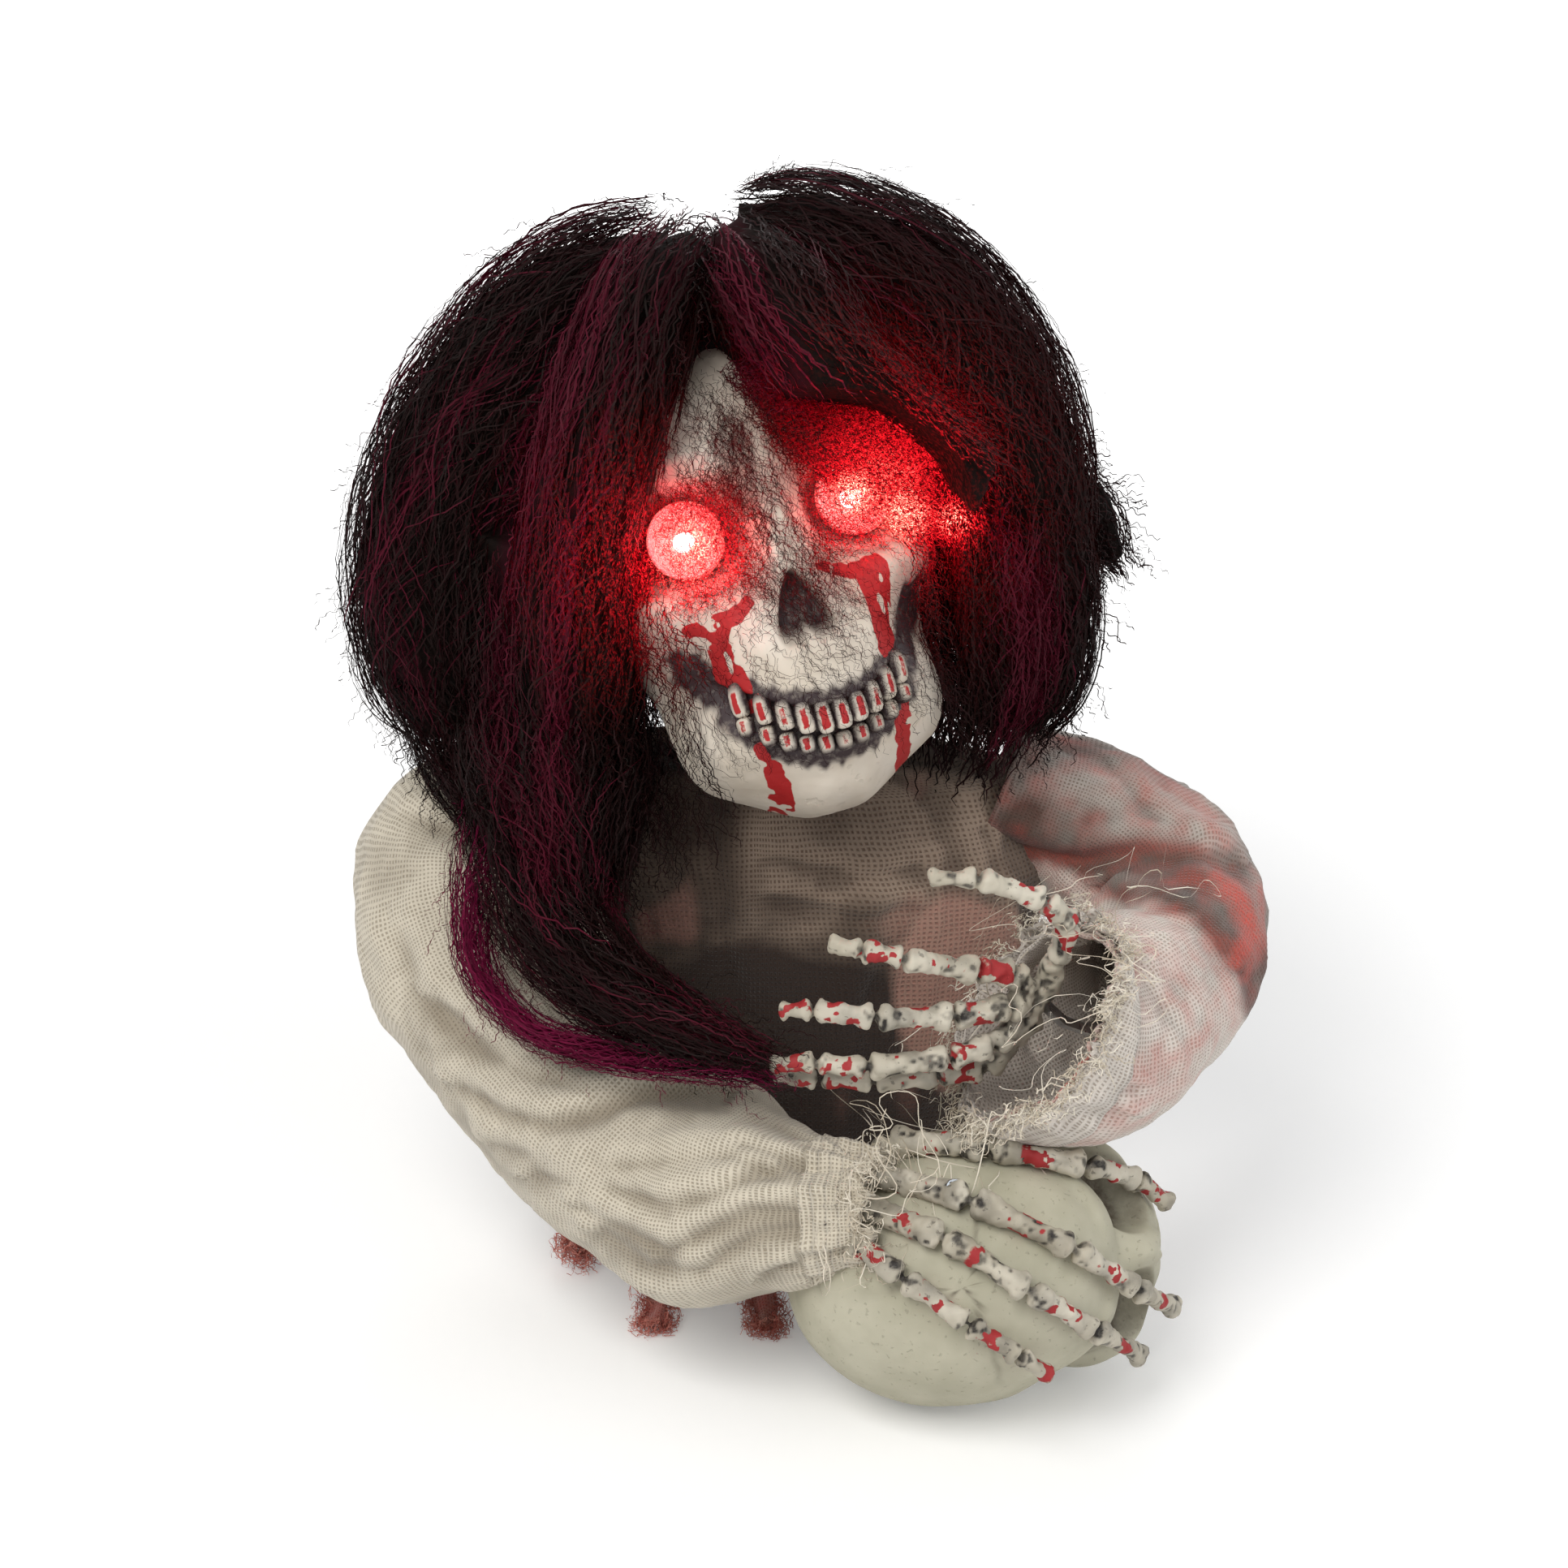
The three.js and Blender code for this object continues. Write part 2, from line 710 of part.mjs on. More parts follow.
function batteryContacts() {
  const parts = [];
  const low = cellHeight - contactHeight / 2;
  const high = cellHeight + contactHeight / 2;
  const end = bayHalfLength - touch;
  for (const side of [-1, 1]) {
    const near = Math.min(side * end, side * (end - contactThickness));
    const strip = box(bayLow + touch, bayHigh - touch, near, near + contactThickness, low, high);
    const springs = [];
    for (let number = 0; number < cellCount; number += 1) {
      const flat = number % 2 ? 1 : -1;
      if (flat !== side) continue;
      const x = bayOffset + cellRadius + number * cellPitch;
      const inner = side * (cellLength / 2 + touch);
      const outer = side * (end - contactThickness / 2);
      const spring = rodY(x, cellHeight, Math.min(inner, outer), Math.max(inner, outer), contactSpringRadius, 8);
      springs.push(spring);
    }
    parts.push(join([strip, ...springs]));
  }
  return parts;
}

// Housing shells, split down the middle, with screw columns, a ledge for the plate and a grille
function housingShell(side) {
  const halfWidth = housingWidth / 2;
  const halfDepth = housingDepth / 2;
  const inner = housingCorner - housingWall;
  const bottom = housingBottom - overrun;
  const outside = roundedBox(
    -halfWidth,
    halfWidth,
    -halfDepth,
    halfDepth,
    housingBottom,
    housingTop,
    housingCorner,
  );
  const room = (low, high, shrink) =>
    roundedBox(
      shrink - wallHalfWidth,
      wallHalfWidth - shrink,
      shrink - wallHalfDepth,
      wallHalfDepth - shrink,
      low,
      high,
      Math.max(inner - shrink, housingWall),
    );
  let shell = outside.subtract(room(bottom, roofBottom, 0));
  const ledgeTop = plateBottom - touch;
  for (const end of [-1, 1]) {
    const inside = end * (wallHalfWidth - ledgeDepth);
    const root = end * (wallHalfWidth + touch);
    const reach = [touch, ledgeDepth * 6].map((y) => side * y).sort((a, b) => a - b);
    shell = shell.add(
      box(Math.min(inside, root), Math.max(inside, root), ...reach, ledgeTop - ledgeHeight, ledgeTop),
    );
  }
  const half = side < 0 ? [-halfDepth - overrun, -touch / 2] : [touch / 2, halfDepth + overrun];
  const seat = halfDepth - housingWall - screwHeadHeight * 2;
  const tools = [rodZ(0, 0, roofBottom - overrun, housingTop + overrun, bearingRadius + touch * 2, 14)];
  for (const x of [-columnX, columnX]) {
    for (const z of columnHeights) {
      shell = shell.add(rodY(x, z, -wallHalfDepth - touch, wallHalfDepth + touch, columnRadius, 6));
      tools.push(rodY(x, z, seat - screwLength - touch, halfDepth, screwRadius + touch * 2, 6));
      tools.push(rodY(x, z, seat, halfDepth + overrun, screwHeadRadius + touch * 2, 8));
    }
  }
  tools.push(rodZ(0, side * frameScrewPlace, roofBottom - overrun, housingTop + overrun, screwRadius + touch, 8));
  const bossY = side * (wallHalfDepth - columnRadius + touch);
  const bossTop = housingBottom + columnRadius * 3;
  shell = shell.add(rodZ(-columnX, bossY, housingBottom, bossTop, columnRadius, 6).intersect(outside));
  tools.push(rodZ(-columnX, bossY, bottom, bossTop - columnRadius, screwRadius + touch * 2, 6));
  if (side < 0) {
    for (let slot = 0; slot < grilleSlots; slot += 1) {
      const rise = (slot - (grilleSlots - 1) / 2) * grillePitch;
      const reach = Math.sqrt((speakerRadius * 0.75) ** 2 - rise ** 2);
      const z = speakerHeight + rise;
      tools.push(
        box(
          -speakerOffset - reach,
          -speakerOffset + reach,
          -halfDepth - overrun,
          -wallHalfDepth + touch,
          z - grilleSlotHeight / 2,
          z + grilleSlotHeight / 2,
        ),
      );
    }
  } else {
    for (const [x, z] of standoffPlaces()) {
      const near = wallHalfDepth - standoffLength;
      shell = shell.add(rodY(x, z, near, wallHalfDepth + touch, standoffRadius, 6));
    }
  }
  return cut(shell, tools).intersect(
    box(-housingWidth, housingWidth, half[0], half[1], bottom, housingTop + overrun),
  );
}

function standoffPlaces() {
  const places = [];
  for (const x of [-boardOffset - boardWidth * 0.4, -boardOffset + boardWidth * 0.4]) {
    for (const z of [boardBottom + boardHeight * 0.1, boardBottom + boardHeight * 0.9]) {
      places.push([x, z + housingBottom]);
    }
  }
  return places;
}

function screw(radius, headRadius, headHeight, length, sides = 8) {
  const shank = solid(new THREE.CylinderGeometry(radius, radius, length, 6).translate(0, -length / 2, 0));
  const head = new THREE.CylinderGeometry(headRadius * 0.8, headRadius, headHeight, sides);
  return shank.add(solid(head.translate(0, headHeight / 2 - weld, 0)));
}

// The two slots of a cross recess, over a screw's head
function crossRecess(headRadius, headHeight) {
  const slot = new THREE.BoxGeometry(headRadius * 1.3, headHeight, headRadius * 0.25);
  const cross = slot.clone().rotateY(Math.PI / 2);
  return [slot, cross].map((geometry) => solid(geometry.translate(0, headHeight, 0)));
}

function housingScrews() {
  const seat = housingDepth / 2 - housingWall - screwHeadHeight * 2;
  const screws = [];
  for (const x of [-columnX, columnX]) {
    for (const z of columnHeights) {
      const one = screw(screwRadius, screwHeadRadius, screwHeadHeight, screwLength);
      screws.push(placed(one, new THREE.Matrix4().makeTranslation(x, seat + touch, z)));
    }
  }
  return screws;
}

function baseScrews() {
  const screws = [];
  for (const side of [-1, 1]) {
    const y = side * (wallHalfDepth - columnRadius + touch);
    const one = screw(screwRadius, screwHeadRadius, screwHeadHeight - touch, columnRadius * 2);
    const turn = new THREE.Matrix4().makeRotationX(-Math.PI / 2);
    turn.setPosition(-columnX, y, screwHeadHeight + touch);
    screws.push(placed(one, turn));
  }
  return screws;
}

function shoulderScrews() {
  const screws = [];
  for (const side of [-1, 1]) {
    const one = screw(screwRadius, screwHeadRadius, screwHeadHeight, frameFlange + housingWall * 2);
    const turn = new THREE.Matrix4().makeRotationX(Math.PI / 2);
    turn.setPosition(0, side * frameScrewPlace, frameBottom + frameFlange + touch);
    screws.push(placed(one, turn));
  }
  return screws;
}

// Slide switch under the base
function switchBody() {
  const low = baseThickness + touch;
  const half = switchLength / 2;
  const middle = -switchOffset - switchTravel / 2;
  const body = box(middle - half, middle + half, -switchWidth / 2, switchWidth / 2, low, low + switchHeight);
  const reach = (switchTravel + knobStem) / 2 + running;
  const slot = box(
    middle - reach,
    middle + reach,
    -knobStem / 2 - running,
    knobStem / 2 + running,
    low - overrun,
    low + knobDepth + running,
  );
  return body.subtract(slot);
}

function switchKnob() {
  const x = -switchOffset;
  const low = doorRecess;
  const top = baseThickness - running;
  const cap = box(x - knobLength / 2, x + knobLength / 2, -knobWidth / 2, knobWidth / 2, low, top);
  const half = knobStem / 2;
  return cap.add(box(x - half, x + half, -half, half, top - touch, baseThickness + knobDepth));
}

function circuitBoard() {
  const back = wallHalfDepth - standoffLength - touch;
  const front = back - boardThickness;
  const low = boardBottom + housingBottom;
  const half = boardWidth / 2;
  const board = box(-boardOffset - half, -boardOffset + half, front, back, low, low + boardHeight);
  const chipX = -boardOffset - chipSize / 2;
  const chipZ = low + boardHeight * 0.3;
  const chip = box(chipX, chipX + chipSize, front - chipHeight, front + touch, chipZ, chipZ + chipSize);
  const cans = [-0.3, 0.3].map((share) =>
    rodY(-boardOffset + boardWidth * share, low + boardHeight * 0.75, front - canLength, front + touch,
      canRadius, 10),
  );
  return join([board, chip, ...cans]);
}

function speaker() {
  const rim = speakerDepth * 0.2;
  const profile = [
    [0, 0],
    [speakerRadius, 0],
    [speakerRadius, rim],
    [speakerRadius * 0.86, rim],
    [speakerRadius * 0.55, speakerDepth * 0.6],
    [speakerRadius * 0.5, speakerDepth],
    [0, speakerDepth],
  ];
  const geometry = turned(profile, 16).rotateX(-Math.PI / 2);
  return solid(geometry.translate(-speakerOffset, touch - wallHalfDepth, speakerHeight));
}

// Head drive: plate, motor, pinion, toothed sector, bearings and hollow neck shaft
function mechanismPlate() {
  const halfX = wallHalfWidth - touch;
  const halfY = wallHalfDepth - touch;
  const plate = roundedBox(-halfX, halfX, -halfY, halfY, plateBottom, plateTop, housingCorner - housingWall);
  const cup = solid(
    turned(
      [
        [shaftBore, 0],
        [shaftRadius + housingWall, 0],
        [shaftRadius + housingWall, gearLift - running],
        [shaftRadius + running, gearLift - running],
        [shaftRadius + running, touch],
        [shaftBore, touch],
        [shaftBore, 0],
      ],
      12,
    ).translate(0, 0, plateTop - weld),
  );
  return cut(plate.add(cup), [
    rodZ(0, 0, plateBottom - overrun, plateTop + touch, shaftBore, 12),
    rodZ(pinionX, 0, plateBottom - overrun, plateTop + overrun, motorShaftRadius + running, 12),
  ]);
}

function gearMotor() {
  const top = plateBottom - touch;
  const can = rodZ(pinionX, 0, top - motorLength, top - motorLength * 0.35, motorRadius, 14);
  const box_ = rodZ(pinionX, 0, top - motorLength * 0.36, top, motorRadius * 0.96, 12);
  const tail = rodZ(pinionX, 0, top - motorLength - motorShaftReach, top - motorLength + touch, motorShaftRadius * 2, 10);
  const hole = rodZ(pinionX, 0, top - motorShaftReach - running, top + overrun, motorShaftRadius + running, 12);
  return join([can, box_, tail]).subtract(hole);
}

// One gear tooth's four corners round the direction of its middle
function tooth(radius, middle) {
  const pitchAngle = (Math.PI * gearModule) / radius;
  const root = radius - dedendumShare * gearModule - touch;
  const tip = radius + addendumShare * gearModule;
  const low = (pitchAngle * toothRootShare) / 2;
  const high = (pitchAngle * toothTipShare) / 2;
  return [
    [root, middle - low],
    [tip, middle - high],
    [tip, middle + high],
    [root, middle + low],
  ].map(([reach, angle]) => new THREE.Vector2(reach * Math.cos(angle), reach * Math.sin(angle)));
}

function gearSlab(outline, low, high) {
  const options = { depth: high - low, bevelEnabled: false };
  return solid(new THREE.ExtrudeGeometry(new THREE.Shape(outline), options).translate(0, 0, low));
}

function motorPinion() {
  const outline = [];
  for (let number = 0; number < pinionTeeth; number += 1) {
    const middle = Math.PI + ((number + 0.5) / pinionTeeth) * Math.PI * 2;
    outline.push(...tooth(pinionRadius, middle));
  }
  const low = plateBottom - touch - motorShaftReach;
  const gear = gearSlab(outline, gearBottom, gearTop).translate([pinionX, 0, 0]);
  return gear.add(rodZ(pinionX, 0, low, gearTop + gearLift / 2, motorShaftRadius, 12));
}

function sectorGear() {
  const step = (Math.PI * 2) / sectorTeeth;
  const web = (sectorToothPairs + 0.5) * step;
  const root = sectorRadius - dedendumShare * gearModule;
  const outline = [new THREE.Vector2(-sectorHubRadius / 2, 0)];
  const rim = 4;
  outline.push(new THREE.Vector2(root * Math.cos(-web), root * Math.sin(-web)));
  for (let number = -sectorToothPairs; number <= sectorToothPairs; number += 1) {
    outline.push(...tooth(sectorRadius, number * step));
    for (let part = 1; part < rim; part += 1) {
      if (number === sectorToothPairs) continue;
      const angle = (number + 0.25 + (part / rim) * 0.5) * step;
      outline.push(new THREE.Vector2(root * Math.cos(angle), root * Math.sin(angle)));
    }
  }
  outline.push(new THREE.Vector2(root * Math.cos(web), root * Math.sin(web)));
  const hub = rodZ(0, 0, gearBottom, lowBearingBottom - running, sectorHubRadius);
  const bore = rodZ(0, 0, gearBottom - overrun, housingTop, shaftRadius + touch);
  return gearSlab(outline, gearBottom, gearTop).add(hub).subtract(bore);
}

function bearing(low, flangeLow) {
  const bore = shaftRadius + running;
  const high = flangeLow + bearingFlange;
  return solid(
    turned(
      [
        [bore, low],
        [bearingRadius, low],
        [bearingRadius, flangeLow],
        [bearingFlangeRadius, flangeLow],
        [bearingFlangeRadius, high],
        [bore, high],
        [bore, low],
      ],
      16,
    ),
  );
}

function neckShaft() {
  const top = mountPlugBottom - touch + shaftReach / 2;
  const low = plateTop + touch * 2;
  const rod = rodZ(0, 0, low, top, shaftRadius, 14);
  return rod.subtract(rodZ(0, 0, low - overrun, top + overrun, shaftBore, 12));
}

function shoulderFrame() {
  const half = frameHalfWidth;
  const knee = frameTubeRadius * 2;
  const outline = [
    [-half, frameHeight],
    [-half, barBottom],
    [-knee, barBottom - frameBar / 2],
    [-frameTubeRadius, frameBottom + frameFlange],
    [frameTubeRadius, frameBottom + frameFlange],
    [knee, barBottom - frameBar / 2],
    [half, barBottom],
    [half, frameHeight],
  ].map(([x, z]) => new THREE.Vector2(x, z));
  const options = { depth: frameThickness, bevelEnabled: false };
  const yoke = new THREE.ExtrudeGeometry(new THREE.Shape(outline), options);
  yoke.rotateX(Math.PI / 2).translate(0, frameThickness / 2, 0);
  const flange = rodZ(0, 0, frameBottom, frameBottom + frameFlange, frameFlangeRadius, 16);
  const tube = rodZ(0, 0, frameBottom, frameHeight, frameTubeRadius, 16);
  const step = frameHeight - bearingLength - touch;
  const tools = [
    rodZ(0, 0, frameBottom - overrun, step, bearingFlangeRadius + running, 16),
    rodZ(0, 0, step - overrun, frameHeight + overrun, bearingRadius + touch * 2, 16),
  ];
  for (const side of [-1, 1]) {
    const end = side * (half + overrun);
    const blind = side * (half - socketDepth);
    tools.push(
      rodX(0, barMiddle, Math.min(end, blind), Math.max(end, blind), wireRadius + touch * 2, 8),
      rodZ(0, side * frameScrewPlace, frameBottom - overrun, frameBottom + frameFlange + overrun,
        screwRadius + touch, 8),
    );
  }
  return cut(join([solid(yoke), flange, tube]), tools);
}

// Places along each arm, in shares of the arm unit: x, y, z and the sleeve's radius
const rightSleeveShares = [
  [-0.74, 0.04, 1.48, 0.25],
  [-0.9, -0.04, 1.24, 0.36],
  [-0.84, -0.22, 1.01, 0.39],
  [-0.63, -0.5, 0.81, 0.38],
  [-0.39, -0.8, 0.69, 0.37],
  [-0.14, -1.02, 0.63, 0.35],
  [0.09, -1.18, 0.69, 0.25],
  [0.27, -1.25, 0.74, 0.14],
];
const leftSleeveShares = [
  [0.74, 0.04, 1.49, 0.23],
  [1.04, 0.0, 1.38, 0.27],
  [1.28, -0.18, 1.23, 0.29],
  [1.27, -0.48, 1.13, 0.28],
  [1.11, -0.76, 1.11, 0.29],
  [0.94, -0.93, 1.15, 0.25],
  [0.8, -1.0, 1.23, 0.16],
];

const clothFolds = (share, angle) =>
  1 +
  (0.03 + 0.07 * share) * Math.cos(sleeveFolds * angle + 2.5 * share) +
  0.03 * Math.sin(3 * angle - 7 * share);

const sleeve = (shares, growth = 0) => limb(shares, armUnit, 12, 16, clothFolds, growth);

function armWire(shares, side, wrist, growth = 0) {
  const start = vector(side * (frameHalfWidth - socketDepth + touch), 0, barMiddle);
  const mouth = vector(side * (frameHalfWidth + wireRadius * 2), 0, barMiddle);
  const inner = shares.slice(1, -1).map(([x, y, z]) => vector(x, y, z).multiplyScalar(armUnit));
  const curve = new THREE.CatmullRomCurve3([mouth, ...inner, wrist], false, "centripetal");
  const centres = [start, ...curve.getPoints(10)];
  return loftPath(centres, centres.map(() => wireRadius + growth), 5);
}

// Bones: each phalanx swells at both ends and is thin in the middle
const phalanxShares = [
  [0, 1],
  [0.24, 0.58],
  [0.78, 0.62],
];

function bones(wrist, fingerJoints, radius, growth = 0) {
  const joints = [wrist, ...fingerJoints];
  const centres = [];
  const radii = [];
  for (let number = 0; number + 1 < joints.length; number += 1) {
    const taper = 1.05 - 0.07 * number;
    for (const [along, thick] of phalanxShares) {
      centres.push(joints[number].clone().lerp(joints[number + 1], along));
      radii.push(radius * thick * taper + growth);
    }
  }
  centres.push(joints[joints.length - 1]);
  radii.push(radius * 0.42 + growth);
  return loftPath(centres, radii, boneSides);
}

// The small bones of the wrist, between it and the roots of the fingers
function carpals(wrist, ends, growth = 0) {
  const knob = new THREE.SphereGeometry(carpalRadius * 1.15 + growth, 6, 4);
  const lumps = [solid(knob.translate(wrist.x, wrist.y, wrist.z))];
  for (let number = 0; number + 1 < ends.length; number += 1) {
    const centre = ends[number].clone().add(ends[number + 1]).multiplyScalar(0.5).lerp(wrist, 0.4);
    const geometry = new THREE.SphereGeometry(carpalRadius + growth, 6, 4);
    lumps.push(solid(geometry.translate(centre.x, centre.y, centre.z)));
  }
  return join(lumps);
}

// Fingers of the left hand, from the wrist, in shares of the arm unit
const leftFingerShares = {
  index: [[-0.1, -0.08, 0.14], [-0.2, -0.14, 0.18], [-0.42, -0.22, 0.26], [-0.54, -0.22, 0.29], [-0.64, -0.2, 0.3]],
  middle: [[-0.1, -0.1, 0.04], [-0.27, -0.16, 0.04], [-0.5, -0.24, 0.08], [-0.68, -0.23, 0.1], [-0.78, -0.2, 0.08]],
  ring: [[-0.15, -0.12, -0.08], [-0.28, -0.17, -0.09], [-0.52, -0.23, -0.09], [-0.67, -0.22, -0.08],
    [-0.81, -0.19, -0.1]],
  little: [[-0.17, -0.07, -0.19], [-0.31, -0.1, -0.19], [-0.5, -0.12, -0.2], [-0.66, -0.12, -0.19],
    [-0.8, -0.11, -0.19]],
  thumb: [[0.03, -0.04, 0.17], [0.07, -0.08, 0.3], [-0.01, -0.13, 0.4], [-0.21, -0.18, 0.5], [-0.36, -0.18, 0.5]],
};
// Fingers of the right hand round the held skull: azimuth, elevation, distance in its units
const rightFingerPlaces = {
  index: [[-77, 50, 1.45], [-24, 67, 1.33], [55, 57, 1.2], [92, 35, 1.14], [98, 16, 1.27]],
  middle: [[-68, 40, 1.57], [-20, 47, 1.48], [21, 33, 1.34], [46, 12, 1.25], [80, -14, 1.3]],
  ring: [[-57, 34, 1.62], [-25, 35, 1.56], [3, 23, 1.46], [25, 6, 1.31], [60, -24, 1.24]],
  little: [[-52, 26, 1.7], [-33, 23, 1.64], [-14, 14, 1.56], [0, 4, 1.45], [10, -6, 1.36]],
};
const handScrewPlace = [-27, 49];

const leftWrist = vector(leftWristX, leftWristY, leftWristZ);
const rightWrist = vector(rightWristX, rightWristY, rightWristZ);

function hand(wrist, fingers, growth = 0) {
  const parts = Object.values(fingers).map((joints) => bones(wrist, joints, knuckleRadius, growth));
  const roots = Object.values(fingers).slice(0, 4).map((joints) => joints[0]);
  return join([...parts, carpals(wrist, roots, growth)]);
}

// The held skull lies on the table, so its height comes from its own lowest point
const heldParts = skullShell(heldUnit, heldWall, false);
const heldTurned = placed(heldParts.shell, pose(heldX, heldY, 0, heldPitch, heldRoll, heldYaw));
const heldZ = heldFloorGap - heldTurned.boundingBox().min[2];
const heldPose = pose(heldX, heldY, heldZ, heldPitch, heldRoll, heldYaw);
const heldGrown = placed(heldParts.grown, heldPose);
const heldCentre = vector(heldX, heldY, heldZ);

function heldPlace([azimuth, elevation, distance]) {
  const flat = Math.cos(elevation * degrees);
  const way = vector(
    flat * Math.sin(azimuth * degrees),
    -flat * Math.cos(azimuth * degrees),
    Math.sin(elevation * degrees),
  );
  return heldCentre.clone().addScaledVector(way, distance * heldUnit);
}

const mapValues = (table, change) =>
  Object.fromEntries(Object.entries(table).map(([name, value]) => [name, value.map(change)]));
const leftFingers = mapValues(leftFingerShares, ([x, y, z]) =>
  vector(x, y, z).multiplyScalar(armUnit).add(leftWrist),
);
const rightFingers = mapValues(rightFingerPlaces, heldPlace);

// Distance of the held skull's skin from its middle along a world direction
function heldSkin(way) {
  const local = way.clone().transformDirection(heldPose.clone().invert());
  return skullShare(local, false) * heldUnit;
}

const screwWay = heldPlace([...handScrewPlace, 1]).sub(heldCentre).normalize();
const screwSkin = heldSkin(screwWay);
const screwSeat = screwSkin + touch + knuckleRadius * 1.6;
const alongScrew = (distance) => heldCentre.clone().addScaledVector(screwWay, distance);
const screwHole = rodBetween(
  alongScrew(screwSeat - handScrewLength - touch),
  alongScrew(screwSeat + overrun * 3),
  handScrewShank + touch,
);
const screwRoom = rodBetween(
  alongScrew(screwSeat),
  alongScrew(screwSeat + overrun * 3),
  handScrewHead + touch,
  12,
);

function handScrew() {
  const plain = screw(handScrewShank, handScrewHead, handScrewHeadHeight, handScrewLength, 12);
  const one = cut(plain, crossRecess(handScrewHead, handScrewHeadHeight));
  const turn = new THREE.Quaternion().setFromUnitVectors(vector(0, 1, 0), screwWay);
  const matrix = new THREE.Matrix4().compose(alongScrew(screwSeat + touch), turn, vector(1, 1, 1));
  return placed(one, matrix);
}

function rightHand(growth = 0) {
  const boss = rodBetween(alongScrew(screwSkin - touch), alongScrew(screwSeat), screwBossRadius + growth, 12);
  const web = rodBetween(rightFingers.middle[0], alongScrew(screwSkin + knuckleRadius), knuckleRadius * 0.8 + growth, 6);
  return join([hand(rightWrist, rightFingers, growth), boss, web]);
}

const rightWire = armWire(rightSleeveShares, -1, rightWrist, touch);
const leftWire = armWire(leftSleeveShares, 1, leftWrist, touch);

// Gown: stations of height, half width, half depth and set-back, in shares of height and hem
const gownShares = [
  [0, 1.1, 0.82, 0.06],
  [0.35, 1.1, 0.8, 0.05],
  [0.66, 1.12, 0.79, 0.02],
  [0.78, 1.3, 0.74, 0.0],
  [0.88, 1.62, 0.6, 0.02],
  [0.95, 1.64, 0.46, 0.05],
  [0.99, 1.2, 0.42, 0.05],
  [1, 0.62, 0.42, 0.05],
];

function gownSkin(inset, past = 0) {
  const sides = 26;
  const squareness = 4;
  const rings = gownShares.map(([height, wide, deep, back], number) => {
    const ring = [];
    const ends = number === 0 ? -past : 0;
    const tops = number === gownShares.length - 1 ? past : 0;
    for (let step = 0; step < sides; step += 1) {
      const angle = (step / sides) * Math.PI * 2;
      const fold = 1 + 0.03 * (1 - height) * (1 + Math.cos(gownFolds * angle));
      const power = 2 / (squareness - 1.8 * height);
      const x = Math.sign(Math.cos(angle)) * Math.abs(Math.cos(angle)) ** power;
      const y = Math.sign(Math.sin(angle)) * Math.abs(Math.sin(angle)) ** power;
      ring.push(
        vector(
          x * (wide * gownUnit * fold - inset),
          y * (deep * gownUnit * fold - inset) + back * gownUnit,
          gownHem + height * (gownHeight - gownHem) + ends + tops - (height > 0.9 ? inset : 0),
        ),
      );
    }
    return ring;
  });
  return loft(rings);
}

const gownBlock = gownSkin(-touch);
const rightSleeveBlock = sleeve(rightSleeveShares, touch);
const leftSleeveBlock = sleeve(leftSleeveShares, touch);

function gown() {
  const lining = gownSkin(clothThickness, overrun);
  const neck = rodZ(0, 0.05 * gownUnit, gownHeight - overrun * 3, gownHeight + overrun, 0.36 * gownUnit);
  const shell = cut(gownSkin(0), [lining, neck, rightWire, leftWire]);
  return largest(shell);
}

function rightSleeve() {
  return largest(
    cut(sleeve(rightSleeveShares), [gownBlock, rightWire, heldGrown, rightHand(touch)]),
  );
}

function leftSleeve() {
  const tools = [gownBlock, leftWire, heldGrown, hand(leftWrist, leftFingers, touch), rightHand(touch)];
  return largest(cut(sleeve(leftSleeveShares), tools));
}

function collar() {
  const centres = [];
  const steps = 15;
  for (let step = 0; step < steps; step += 1) {
    const angle = (step / steps) * Math.PI * 2;
    const sag = 1.5 * Math.cos(3 * angle);
    centres.push(
      vector(
        collarWide * Math.cos(angle),
        collarDeep * Math.sin(angle) + 0.05 * gownUnit,
        gownHeight + collarLift + (sag * collarRadius) / 5,
      ),
    );
  }
  const places = [];
  const sides = 5;
  centres.forEach((centre, number) => {
    const after = centres[(number + 1) % steps];
    const before = centres[(number + steps - 1) % steps];
    const along = after.clone().sub(before).normalize();
    const out = vector(0, 0, 0).crossVectors(along, vector(0, 0, 1)).normalize();
    for (let side = 0; side < sides; side += 1) {
      const angle = (side / sides) * Math.PI * 2;
      const radius = collarRadius * (1 + 0.12 * Math.cos(5 * angle + number));
      const point = centre.clone().addScaledVector(out, radius * Math.cos(angle));
      places.push(point.addScaledVector(vector(0, 0, 1), radius * Math.sin(angle) * 0.9));
    }
  });
  const faces = [];
  for (let number = 0; number < steps; number += 1) {
    const next = (number + 1) % steps;
    for (let side = 0; side < sides; side += 1) {
      const turn = (side + 1) % sides;
      const [a, b] = [number * sides + side, number * sides + turn];
      const [c, d] = [next * sides + turn, next * sides + side];
      faces.push(a, b, c, a, c, d);
    }
  }
  const geometry = new THREE.BufferGeometry().setFromPoints(places);
  geometry.setIndex(faces);
  return cut(solid(geometry), [gownBlock]);
}

// Torn strips that trail from the front of the hem: places in shares of the hem
const tatterShares = [
  [[-0.6, -0.72, 0.42], [-0.66, -1.1, 0.2], [-0.66, -1.5, 0.08], [-0.7, -1.72, 0.05]],
  [[-0.86, -0.6, 0.5], [-1.06, -0.76, 0.32], [-1.16, -0.86, 0.2], [-1.22, -0.98, 0.12]],
  [[-0.02, -0.72, 0.4], [-0.06, -1.1, 0.2], [-0.06, -1.5, 0.08], [-0.04, -1.78, 0.05]],
];

